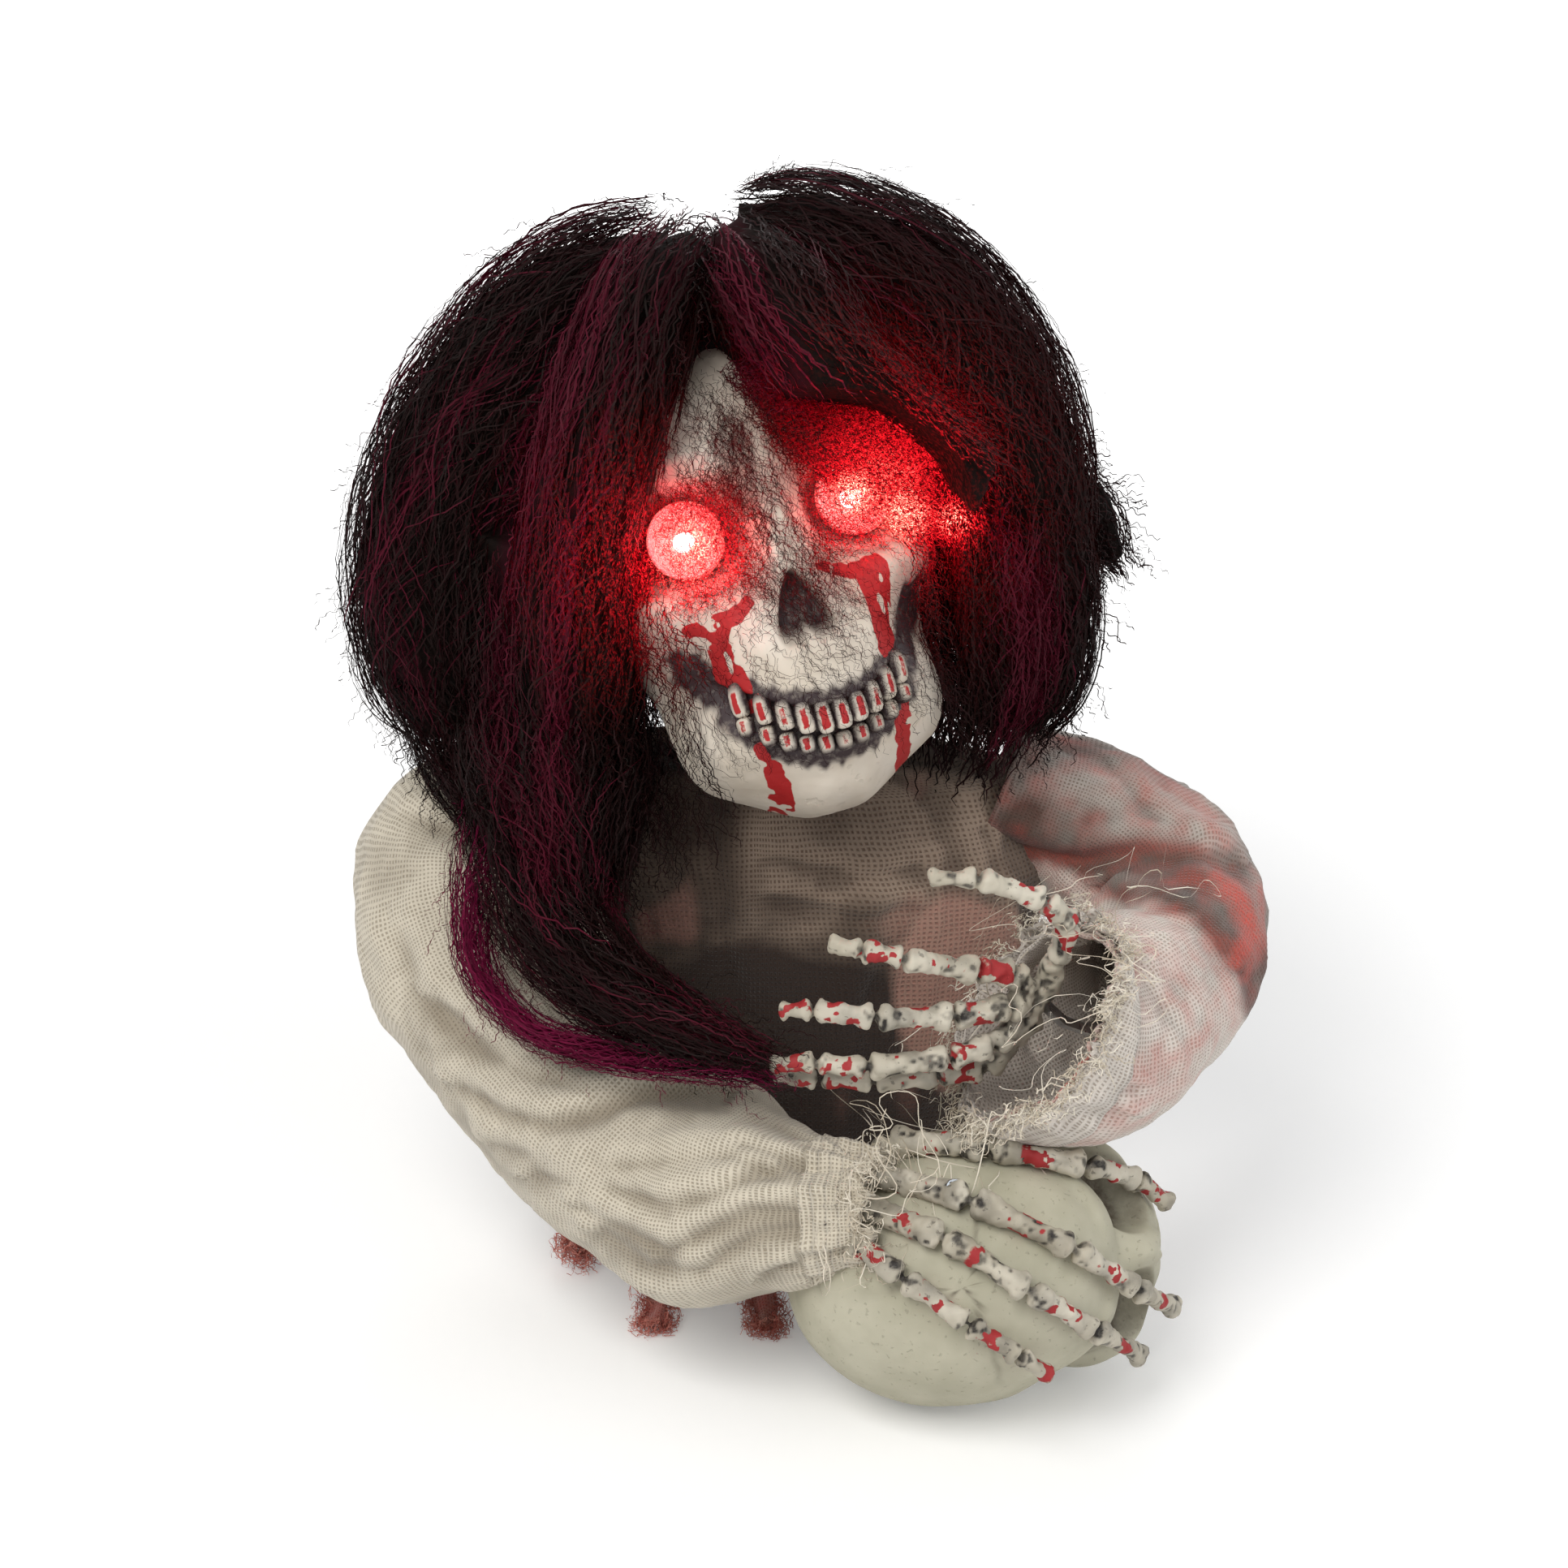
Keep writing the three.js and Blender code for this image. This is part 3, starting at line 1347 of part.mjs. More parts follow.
function tatters() {
  const strips = tatterShares.map((places) => {
    const points = places.map(([x, y, z]) => vector(x, y, z).multiplyScalar(gownUnit));
    const curve = new THREE.CatmullRomCurve3(points, false, "centripetal");
    const steps = 8;
    const rings = [];
    for (let step = 0; step <= steps; step += 1) {
      const t = step / steps;
      const centre = curve.getPoint(t);
      const along = curve.getTangent(t);
      const across = vector(0, 0, 0).crossVectors(along, vector(0, 0, 1)).normalize();
      const up = vector(0, 0, 0).crossVectors(across, along).normalize();
      const half = (tatterWidth / 2) * (1 - 0.35 * t);
      const thick = tatterThickness / 2;
      const wave = 0.4 * tatterThickness * Math.sin(step * 2);
      const corner = (side, rise) =>
        centre.clone().addScaledVector(across, side * half).addScaledVector(up, rise * thick + side * wave);
      rings.push([corner(-1, -1), corner(1, -1), corner(1, 1), corner(-1, 1)]);
    }
    return largest(loft(rings).subtract(gownBlock));
  });
  return strips;
}

// Head: skull halves, mount, lamps in cups, leads and hair
const headPose = pose(headX, headY, headZ, headPitch, headRoll, headYaw);
const headParts = skullShell(skullUnit, skullWall, true);
const neckHole = rodZ(0, 0, 0, mountTop - overrun * 3, neckHoleRadius);
const seamSide = skullUnit * 3;
const socketBottom = (eyeSocketShares.centre[1] + eyeSocketShares.axes[1]) * skullUnit;

function lampHoles(radius) {
  return [-1, 1].map((side) =>
    rodY(side * eyeSpread, eyeHeight, socketBottom - overrun, socketBottom + skullWall * 3, radius, 14),
  );
}

function skullHalf(side) {
  const low = side < 0 ? -seamSide : skullSeam + touch / 2;
  const high = side < 0 ? skullSeam - touch / 2 : seamSide;
  const half = headParts.shell.intersect(box(-seamSide, seamSide, low, high, -seamSide, seamSide));
  return largest(placed(cut(half, lampHoles(ledFlangeRadius + touch)), headPose).subtract(neckHole));
}

function headMount() {
  const reach = (way) => Math.min(cavityShare(way), skullShare(way, true)) * skullUnit - skullWall - touch;
  const room = star(reach, coarseRings, coarseSides);
  const plug = rodZ(0, 0, mountPlugBottom, mountTop, mountPlugRadius);
  const inside = plug.intersect(placed(room, headPose));
  const stem = rodZ(0, 0, mountBottom, mountTop - overrun * 3, neckHoleRadius - touch);
  const joined = inside.add(stem.intersect(join([placed(room, headPose), neckHole])));
  const bore = rodZ(0, 0, 0, mountPlugBottom + shaftReach / 2, shaftRadius + touch);
  return largest(cut(joined, [bore, rodZ(0, 0, 0, mountTop + overrun, shaftBore, 16)]));
}

function lamp(side) {
  const back = -socketBottom - skullWall - touch;
  const dome = ledLength - ledRadius;
  const profile = [
    [0, 0],
    [ledFlangeRadius, 0],
    [ledFlangeRadius, ledFlange],
    [ledRadius, ledFlange],
    [ledRadius, dome],
  ];
  for (const share of [0.33, 0.66]) {
    const angle = (share * Math.PI) / 2;
    profile.push([ledRadius * Math.cos(angle), dome + ledRadius * Math.sin(angle)]);
  }
  profile.push([0, ledLength]);
  const geometry = turned(profile, 10).rotateX(Math.PI / 2).translate(side * eyeSpread, -back, eyeHeight);
  return placed(solid(geometry), headPose);
}

function eyeCup(side) {
  const base = ledRadius + touch;
  const rim = eyeCupRadius;
  const wall = eyeCupThickness;
  const profile = [
    [base, wall],
    [base + wall * 2, wall],
    [rim, eyeCupDepth],
    [rim - wall, eyeCupDepth + wall / 2],
    [base + wall, wall * 2],
    [base, wall * 2],
    [base, wall],
  ];
  const geometry = turned(profile, 12).rotateX(Math.PI / 2);
  geometry.translate(side * eyeSpread, socketBottom - eyeCupThickness, eyeHeight);
  return placed(solid(geometry), headPose);
}

function ledLeads() {
  const back = socketBottom + skullWall + touch * 2;
  const leads = [-1, 1].map((side) => {
    const start = [
      [side * eyeSpread, back, eyeHeight],
      [side * eyeSpread, back + leadRadius * 6, eyeHeight],
      [side * eyeSpread * 0.5, back + leadRadius * 20, eyeHeight - leadRadius * 4],
    ].map((place) => vector(...place).applyMatrix4(headPose));
    const inHead = new THREE.CatmullRomCurve3(
      [...start, vector(side * leadSpread, 0, mountTop + leadRadius * 6), vector(side * leadSpread, 0, mountTop)],
      false,
      "centripetal",
    );
    const centres = [...inHead.getPoints(9), vector(side * leadSpread, 0, plateTop + touch * 2)];
    return loftPath(centres, centres.map(() => leadRadius), 5);
  });
  return leads;
}

function boardLeads() {
  const boardFront = wallHalfDepth - standoffLength - boardThickness - touch * 2;
  const start = boardBottom + housingBottom + boardHeight * 0.6;
  const leads = [-1, 1].map((side) => {
    const x = side * leadSpread;
    const curve = new THREE.CatmullRomCurve3(
      [
        vector(x - leadSpread * 2, boardFront, start),
        vector(x - leadSpread * 2, boardFront - leadRadius * 4, start),
        vector(x, leadRadius * 3, plateBottom - leadRadius * 10),
        vector(x, 0, plateBottom - leadRadius * 4),
        vector(x, 0, plateTop + touch),
      ],
      false,
      "centripetal",
    );
    return loftPath(curve.getPoints(8), new Array(9).fill(leadRadius), 5);
  });
  return leads;
}

// Hair in shares of the hair unit: x, y, z and radius along each lock
const lockShares = {
  rightMass: [[-0.22, 0.1, 3.2, 0.12], [-0.5, 0.05, 3.03, 0.26], [-0.76, 0, 2.74, 0.33], [-0.91, -0.06, 2.4, 0.33],
    [-0.94, -0.1, 2.04, 0.31], [-0.87, -0.12, 1.79, 0.22]],
  rightInner: [[-0.66, -0.3, 2.5, 0.2], [-0.7, -0.3, 2.2, 0.22], [-0.72, -0.28, 1.96, 0.2], [-0.74, -0.26, 1.8, 0.15]],
  rightFront: [[-0.2, 0, 3.26, 0.1], [-0.34, -0.28, 3.13, 0.15], [-0.45, -0.48, 2.81, 0.19], [-0.52, -0.54, 2.42, 0.2],
    [-0.55, -0.48, 2.01, 0.18], [-0.6, -0.42, 1.78, 0.15]],
  leftMass: [[-0.09, 0.1, 3.26, 0.12], [0.16, 0.05, 3.23, 0.2], [0.44, 0, 3.05, 0.28], [0.65, -0.04, 2.74, 0.31],
    [0.76, -0.1, 2.42, 0.26], [0.79, -0.14, 2.25, 0.2]],
  fringe: [[-0.07, 0, 3.28, 0.12], [0.06, -0.28, 3.18, 0.19], [0.21, -0.46, 3.02, 0.19], [0.42, -0.5, 2.84, 0.17],
    [0.62, -0.44, 2.68, 0.16]],
  leftCurtain: [[0.74, -0.12, 2.6, 0.22], [0.82, -0.16, 2.3, 0.2], [0.84, -0.18, 2, 0.17], [0.78, -0.18, 1.8, 0.11]],
  tuft: [[0.8, 0.08, 2.6, 0.14], [1, 0.08, 2.38, 0.12], [1.1, 0.06, 2.24, 0.06]],
  backRight: [[-0.3, 0.5, 3.02, 0.24], [-0.44, 0.62, 2.66, 0.34], [-0.5, 0.6, 2.24, 0.33], [-0.48, 0.52, 1.86, 0.26]],
  backLeft: [[0.2, 0.46, 3.06, 0.22], [0.38, 0.6, 2.7, 0.33], [0.44, 0.6, 2.3, 0.32], [0.4, 0.52, 1.9, 0.26]],
  nape: [[-0.04, 0.72, 2.7, 0.34], [-0.04, 0.74, 2.3, 0.36], [-0.04, 0.6, 1.86, 0.28]],
};
const longLockShares = [[-0.68, -0.46, 1.78, 0.2], [-0.7, -0.6, 1.53, 0.18], [-0.63, -0.78, 1.32, 0.16],
  [-0.43, -0.98, 1.18, 0.13], [-0.18, -1.16, 1.1, 0.1], [0.03, -1.26, 1.04, 0.06]];
// Outline of the open face seen from the front, in skull units
const faceWindowShares = [[-0.05, 1.1], [0.14, 0.66], [0.6, 0.5], [0.9, 0.15], [0.92, -0.3], [0.7, -1.3], [0, -2],
  [-0.95, -1.7], [-0.77, -0.42], [-0.76, 0.1], [-0.5, 0.5]];

const lockRipple = (share, angle) => 1 + 0.07 * Math.cos(5 * angle + 3 * share) + 0.03 * Math.sin(11 * share);
const lock = (shares, growth = 0) => limb(shares, hairUnit, 6, 7, lockRipple, growth);

function hairCap() {
  const reach = (way) => {
    const cover = smooth(-0.6, -0.05, way.y + 1.1 * Math.max(way.z - 0.3, 0)) * smooth(-0.8, -0.5, way.z);
    const wave = 1 + 0.12 * Math.cos(9 * Math.atan2(way.x, way.y));
    return skullShare(way, true) * skullUnit + (cover * wave - 0.3) * hairDepth;
  };
  const rings = [28, 56, 84, 112, 142];
  return placed(star(reach, rings, 14), headPose);
}

const faceWindow = (() => {
  const outline = faceWindowShares.map(([x, z]) => new THREE.Vector2(x * skullUnit, z * skullUnit));
  const options = { depth: skullUnit * 2.5, bevelEnabled: false };
  const tool = new THREE.ExtrudeGeometry(new THREE.Shape(outline), options);
  return placed(solid(tool.rotateX(Math.PI / 2).translate(0, -skullUnit * 0.3, 0)), headPose);
})();

const headBlock = placed(headParts.grown, headPose);
const neckRoom = rodZ(0, 0, 0, mountTop, collarWide + collarRadius + running, 20);
const allHair = cut(join([hairCap(), ...Object.values(lockShares).map((shares) => lock(shares))]), [
  headBlock,
  faceWindow,
  neckRoom,
]);

const farAway = hairUnit * 5;

// The hair that is fixed to the skull: all above the split, and the nape down to its own end
function hairCrown() {
  const top = box(-farAway, farAway, -farAway, farAway, hairSplit + touch / 2, farAway);
  const nape = box(-farAway, farAway, collarDeep, farAway, napeEnd, hairSplit + touch);
  return largest(allHair.intersect(top.add(nape)));
}

// The hair that hangs free on one side, in front of the nape
function hairFall(side) {
  const inner = side * (neckHoleRadius + collarWide);
  const slab = box(
    Math.min(inner, side * farAway),
    Math.max(inner, side * farAway),
    -farAway,
    collarDeep - touch,
    0,
    hairSplit - touch / 2,
  );
  const tools = [rightSleeveBlock, leftSleeveBlock, gownBlock, headBlock];
  return largest(cut(allHair.intersect(slab), tools));
}

function longLock() {
  const tools = [rightSleeveBlock, gownBlock, hairFallBlock, headBlock];
  return largest(cut(lock(longLockShares), tools));
}

const rightFall = hairFall(-1);
const leftFall = hairFall(1);
const hairFallBlock = join([
  box(-farAway, farAway, -farAway, farAway, hairSplit - touch / 2, farAway),
  lock(lockShares.rightFront, touch),
  lock(lockShares.rightMass, touch),
]);

// The figure, piece by piece
piece("base_plate", basePlate(), "black");
pieces("base_screw", baseScrews(), "steel");
piece("battery_door", batteryDoor(), "black");
piece("battery_tray", batteryTray(), "black");
pieces("cell", Array.from({ length: cellCount }, (none, number) => cell(number)), "cell");
pieces("battery_contact", batteryContacts(), "steel");
piece("switch_body", switchBody(), "black");
piece("switch_knob", switchKnob(), "black");
piece("housing_front", housingShell(-1), "black");
piece("housing_back", housingShell(1), "black");
pieces("housing_screw", housingScrews(), "steel");
piece("circuit_board", circuitBoard(), "green");
pieces("board_lead", boardLeads(), "lead");
piece("speaker", speaker(), "black");
piece("mechanism_plate", mechanismPlate(), "acetal");
piece("gear_motor", gearMotor(), "steel");
piece("motor_pinion", motorPinion(), "acetal");
piece("sector_gear", sectorGear(), "acetal");
piece("neck_bearing", bearing(lowBearingBottom, housingTop + touch), "acetal");
piece("shoulder_bearing", bearing(frameHeight - bearingLength + touch, frameHeight + touch), "acetal");
piece("neck_shaft", neckShaft(), "steel");
piece("shoulder_frame", shoulderFrame(), "black");
pieces("shoulder_screw", shoulderScrews(), "steel");
piece("right_arm_wire", armWire(rightSleeveShares, -1, rightWrist), "steel");
piece("left_arm_wire", armWire(leftSleeveShares, 1, leftWrist), "steel");
piece("right_hand", largest(cut(rightHand(), [heldGrown, screwHole, screwRoom, rightWire])), "bone");
piece("left_hand", largest(cut(hand(leftWrist, leftFingers), [leftWire])), "bone");
piece("hand_screw", handScrew(), "zinc");
const heldHole = rodBetween(heldCentre, alongScrew(-heldUnit * 2), heldHoleRadius, 12);
piece("held_skull", largest(cut(placed(heldParts.shell, heldPose), [screwHole, heldHole])), "held");
piece("gown", gown(), "gown");
piece("collar", collar(), "gown");
pieces("gown_tatter", tatters(), "red");
piece("right_sleeve", rightSleeve(), "cream");
piece("left_sleeve", leftSleeve(), "pale");
piece("skull_face", skullHalf(-1), "ivory");
piece("skull_cranium", skullHalf(1), "ivory");
piece("head_mount", headMount(), "black");
piece("right_led", lamp(-1), "lamp");
piece("left_led", lamp(1), "lamp");
piece("right_eye_cup", eyeCup(-1), "cupRed");
piece("left_eye_cup", eyeCup(1), "cupRed");
pieces("led_lead", ledLeads(), "lead");
piece("hair_crown", hairCrown(), "hair");
piece("right_hair_fall", rightFall, "hair");
piece("left_hair_fall", leftFall, "plum");
piece("long_lock", longLock(), "plum");

export default figure;
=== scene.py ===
"""The looks of a seated skeleton figure with a skull head, long crimped hair, gauze clothes and lit red
eyes, holding a second skull. Lengths are in millimetres until a mesh is made."""

import json
import math

import bpy
import numpy as np
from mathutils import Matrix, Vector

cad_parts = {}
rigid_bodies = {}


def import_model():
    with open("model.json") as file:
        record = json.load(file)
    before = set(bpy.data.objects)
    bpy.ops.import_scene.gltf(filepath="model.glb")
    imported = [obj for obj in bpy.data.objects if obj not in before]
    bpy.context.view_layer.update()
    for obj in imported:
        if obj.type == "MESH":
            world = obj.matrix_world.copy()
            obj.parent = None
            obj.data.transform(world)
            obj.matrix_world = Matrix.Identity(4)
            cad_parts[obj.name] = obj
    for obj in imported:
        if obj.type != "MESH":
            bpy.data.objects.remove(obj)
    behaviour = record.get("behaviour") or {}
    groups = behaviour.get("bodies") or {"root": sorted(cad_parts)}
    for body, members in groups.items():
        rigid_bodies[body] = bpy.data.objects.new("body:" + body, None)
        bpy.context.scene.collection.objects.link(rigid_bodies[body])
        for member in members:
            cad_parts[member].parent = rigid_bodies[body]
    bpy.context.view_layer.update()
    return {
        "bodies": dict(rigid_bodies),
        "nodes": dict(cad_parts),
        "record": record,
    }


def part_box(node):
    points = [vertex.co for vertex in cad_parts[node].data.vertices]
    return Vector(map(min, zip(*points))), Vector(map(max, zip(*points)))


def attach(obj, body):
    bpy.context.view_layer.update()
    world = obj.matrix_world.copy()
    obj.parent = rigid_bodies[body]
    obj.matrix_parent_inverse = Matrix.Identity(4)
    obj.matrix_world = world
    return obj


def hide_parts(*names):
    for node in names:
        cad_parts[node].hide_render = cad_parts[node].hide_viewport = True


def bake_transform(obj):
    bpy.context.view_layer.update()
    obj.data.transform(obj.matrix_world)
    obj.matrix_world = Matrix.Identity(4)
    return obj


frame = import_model()
scene = bpy.context.scene
scene.view_settings.view_transform = "Standard"
MM = 0.001
# a whole turn in radians, near enough for random phases
WHOLE_TURN = 6.28
# the photograph is this many pixels wide and high
PHOTO = 1932


# Camera and lamps

def look_at(obj, place, target):
    """Puts a lamp or camera at place, turned so that its -Z axis points at target."""
    back = np.subtract(place, target)
    back = back / np.linalg.norm(back)
    obj.location = place
    obj.rotation_euler = (math.acos(back[2]), 0, math.atan2(back[0], -back[1]))


camera_data = bpy.data.cameras.new("camera")
camera_data.lens = 81.99
camera_data.sensor_width = 36
camera = bpy.data.objects.new("camera", camera_data)
camera.location = (0.007, -1.02294, 0.62888)
camera.rotation_euler = (math.radians(65), 0, 0)
scene.collection.objects.link(camera)
scene.camera = camera


def seen(points):
    """Where the photograph's frame shows points, in its pixels across and down: their offset from the
    camera over their distance from it, times the lens's length in frame widths."""
    away = np.asarray(points) - np.array(camera.location) / MM
    pitch = camera.rotation_euler[0]
    ahead = away @ np.array([0, math.sin(pitch), -math.cos(pitch)])
    above = away @ np.array([0, math.cos(pitch), math.sin(pitch)])
    scale = PHOTO * camera_data.lens / camera_data.sensor_width
    middle = PHOTO / 2
    return np.stack([middle + scale * away[..., 0] / ahead, middle - scale * above / ahead], -1)


def lamp(name, place, target, size, watts, tone):
    """A square soft lamp of that size in metres that faces target."""
    data = bpy.data.lights.new(name, "AREA")
    data.size, data.energy, data.color = size, watts, tone
    obj = bpy.data.objects.new(name, data)
    look_at(obj, place, target)
    scene.collection.objects.link(obj)


MIDDLE = (0, -0.05, 0.15)
lamp("key_softbox", (-0.55, -0.95, 1.35), MIDDLE, 0.9, 17.0, (1.0, 0.985, 0.96))
lamp("fill_softbox", (1.15, -0.75, 0.75), MIDDLE, 1.0, 6.0, (0.96, 0.98, 1.0))
lamp("back_softbox", (0.2, 1.1, 1.1), MIDDLE, 0.8, 6.0, (1.0, 1.0, 1.0))


# Materials

def colour(text):
    """sRGB hex to linear: the standard curve, a straight line near black and a power of 2.4 above."""
    values = [int(text[i:i + 2], 16) / 255 for i in (1, 3, 5)]
    return tuple(v / 12.92 if v <= 0.04045 else ((v + 0.055) / 1.055) ** 2.4 for v in values) + (1.0,)


def add(tree, kind, settings=None, links=None, **properties):
    """One node with its settings and links; a link's source is an output socket."""
    node = tree.nodes.new(kind)
    for name, value in properties.items():
        setattr(node, name, value)
    for name, value in (settings or {}).items():
        node.inputs[name].default_value = value
    for name, source in (links or {}).items():
        tree.links.new(source, node.inputs[name])
    return node


def finish_material(name, roughness, metallic=0.0, **sockets):
    """An empty Principled material; returns it with its node tree and shader."""
    made = bpy.data.materials.new(name)
    made.use_nodes = True
    tree = made.node_tree
    shader = tree.nodes["Principled BSDF"]
    shader.inputs["Roughness"].default_value = roughness
    shader.inputs["Metallic"].default_value = metallic
    for key, value in sockets.items():
        shader.inputs[key.replace("_", " ")].default_value = value
    return made, tree, shader


def mixed(tree, factor, first, second):
    """A colour between two colours or sockets, by a factor socket."""
    node = add(tree, "ShaderNodeMix", data_type="RGBA")
    tree.links.new(factor, node.inputs["Factor"])
    for key, value in (("A", first), ("B", second)):
        sockets = [s for s in node.inputs if s.name == key and s.type == "RGBA"]
        if isinstance(value, str):
            sockets[0].default_value = colour(value)
        else:
            tree.links.new(value, sockets[0])
    return [s for s in node.outputs if s.type == "RGBA"][0]


def ramp(tree, source, low, high, low_value=0.0, high_value=1.0):
    """A socket that runs from low_value to high_value as source goes from low to high."""
    ends = {"From Min": low, "From Max": high, "To Min": low_value, "To Max": high_value}
    node = add(tree, "ShaderNodeMapRange", ends, {"Value": source})
    return node.outputs["Result"]


def maths(tree, operation, first, second):
    """One sum on two sockets or numbers."""
    node = add(tree, "ShaderNodeMath", operation=operation)
    for index, value in enumerate((first, second)):
        if isinstance(value, (int, float)):
            node.inputs[index].default_value = value
        else:
            tree.links.new(value, node.inputs[index])
    return node.outputs[0]


def grain(tree, size, detail=4.0, rough=0.55, distortion=0.0, coordinates=None):
    """Noise whose features are about size metres wide, on Object coordinates."""
    place = coordinates or add(tree, "ShaderNodeTexCoord").outputs["Object"]
    values = {"Scale": 1 / size, "Detail": detail, "Roughness": rough, "Distortion": distortion}
    node = add(tree, "ShaderNodeTexNoise", values, {"Vector": place})
    return node.outputs["Fac"]


def bumped(tree, shader, height, distance, strength=1.0):
    """Adds a height socket to the shader's normal; distance is in metres."""
    node = add(tree, "ShaderNodeBump", {"Distance": distance, "Strength": strength}, {"Height": height})
    tree.links.new(node.outputs["Normal"], shader.inputs["Normal"])


def stored(tree, name):
    """A number kept on the mesh's points."""
    return add(tree, "ShaderNodeAttribute", attribute_name=name).outputs["Fac"]


def painted_bone(name, base, shade, wash, blood, shine, pit_size, rough, specks):
    """Moulded PVC painted by hand: a satin coat, brown wash left in the hollows, and red paint over it."""
    made, tree, shader = finish_material(name, rough, **{"Specular_IOR_Level": shine})
    broad, fine = grain(tree, 0.022, 3.0), grain(tree, 0.0022, 5.0, 0.65)
    tone = mixed(tree, ramp(tree, broad, 0.35, 0.68), base, shade)
    pits = grain(tree, pit_size, 3.0, 0.5)
    speck = ramp(tree, pits, 0.36, 0.30)
    tone = mixed(tree, maths(tree, "MULTIPLY", speck, specks), tone, wash)
    dirt = maths(tree, "MULTIPLY", stored(tree, "wash"), ramp(tree, fine, 0.25, 0.6, 0.75, 1.15))
    tone = mixed(tree, ramp(tree, dirt, 0.0, 1.0), tone, wash)
    ragged = maths(tree, "ADD", stored(tree, "blood"), ramp(tree, fine, 0.2, 0.8, -0.22, 0.22))
    red = ramp(tree, ragged, 0.42, 0.58)
    tone = mixed(tree, red, tone, blood)
    tree.links.new(tone, shader.inputs["Base Color"])
    height = maths(tree, "ADD", maths(tree, "MULTIPLY", speck, -0.6), maths(tree, "MULTIPLY", fine, 0.5))
    bumped(tree, shader, height, 0.00035, 0.7)
    return made


# Soft PVC in ivory with a satin hand-painted coat: warm, slightly mottled, brown in every recess.
skull_paint = painted_bone("painted_ivory_pvc", "#DCD2C4", "#CBBFAE", "#3A2E30", "#A81E20",
                           shine=0.35, pit_size=0.004, rough=0.5, specks=0.08)
# The hands' coat is greyer and rougher, with black wash between the bones.
hand_paint = painted_bone("washed_bone_pvc", "#CBC4B4", "#A79F8D", "#262220", "#9C2C2E",
                          shine=0.3, pit_size=0.0022, rough=0.58, specks=0.5)
# The held skull is greener, matt and nearly without red.
held_paint = painted_bone("greyed_ivory_pvc", "#BEBAA6", "#ABA792", "#4A3F33", "#7E4B3A",
                          shine=0.25, pit_size=0.0016, rough=0.62, specks=0.15)


def gauze(name, thread, gap, stain_and_shade, stain_and_shade_share, pitch, red):
    """Open plain-weave cotton gauze: rows of loose threads on the cloth's own UV, in mm, dark where they part
    as painted shade of the inside seen through the weave, with stains and painted shade that follow the tint
    stored on the mesh."""
    made, tree, shader = finish_material(name, 0.92, **{"Specular_IOR_Level": 0.12, "Sheen_Weight": 0.25,
                                                        "Sheen_Roughness": 0.6})
    uv = add(tree, "ShaderNodeUVMap", uv_map="threads").outputs["UV"]
    wobble = grain(tree, 0.006, 2.0)
    shift = add(tree, "ShaderNodeVectorMath", operation="SCALE")
    tree.links.new(add(tree, "ShaderNodeTexNoise", {"Scale": 160.0, "Detail": 2.0}, {
        "Vector": add(tree, "ShaderNodeTexCoord").outputs["Object"]}).outputs["Color"], shift.inputs[0])
    shift.inputs["Scale"].default_value = 1.1
    bent = add(tree, "ShaderNodeVectorMath", operation="ADD")
    tree.links.new(uv, bent.inputs[0])
    tree.links.new(shift.outputs[0], bent.inputs[1])
    split = add(tree, "ShaderNodeSeparateXYZ", links={"Vector": bent.outputs[0]})
    waves = []
    for axis, wide in (("X", pitch), ("Y", pitch * 1.12)):
        turn = maths(tree, "MULTIPLY", split.outputs[axis], 2 * math.pi / wide)
        waves.append(maths(tree, "SINE", turn, 0.0))
    threads = maths(tree, "MAXIMUM", waves[0], waves[1])
    cover = ramp(tree, maths(tree, "ADD", threads, ramp(tree, wobble, 0.2, 0.8, -0.55, 0.5)), -0.75, 0.35)
    slub = grain(tree, 0.0012, 3.0)
    # the gap tone between the threads is painted shade: the dark inside seen through the weave
    tone = mixed(tree, cover, gap, thread)
    tone = mixed(tree, maths(tree, "MULTIPLY", slub, 0.35), tone, gap)
    patch = grain(tree, 0.03, 4.0, 0.6, 0.6)
    # the stored tint holds patchy wear and painted shade: folds, the shaded upper arm and the gown's shadowed
    # front
    dyed = ramp(tree, maths(tree, "ADD", stored(tree, "dye"), ramp(tree, patch, 0.2, 0.8, -0.16, 0.16)),
                0.05, 0.95)
    tone = mixed(tree, maths(tree, "MULTIPLY", dyed, stain_and_shade_share), tone, stain_and_shade)
    soaked = maths(tree, "MULTIPLY", stored(tree, "blood"), ramp(tree, slub, 0.25, 0.75, 0.55, 1.15))
    tone = mixed(tree, ramp(tree, soaked, 0.0, 1.0), tone, red)
    tree.links.new(tone, shader.inputs["Base Color"])
    height = maths(tree, "ADD", maths(tree, "MULTIPLY", cover, 0.7), maths(tree, "MULTIPLY", slub, 0.5))
    bumped(tree, shader, height, 0.0005, 0.8)
    return made


# Cheesecloth with 1.2 to 1.5 mm from thread to thread: matt, fuzzy, its weave seen as a fine grid. The tones
# are the thread's, the gap's, which is painted shade, and the stain's, which also gives painted shade; then
# the stain's share, the pitch in mm and the red.
cream_gauze = gauze("cream_cotton_gauze", "#D5CCBA", "#A59A86", "#7D715F", 0.85, 1.2, "#B5735E")
pale_gauze = gauze("pale_cotton_gauze", "#DDD5CC", "#AEA295", "#43342A", 0.95, 1.25, "#C24A3C")
brown_gauze = gauze("tea_dyed_gauze", "#AE9A88", "#7D6656", "#26160E", 0.97, 1.5, "#C98E80")
red_gauze = gauze("red_dyed_gauze", "#DDB0A6", "#B26A5E", "#9A4038", 0.6, 1.2, "#B83228")


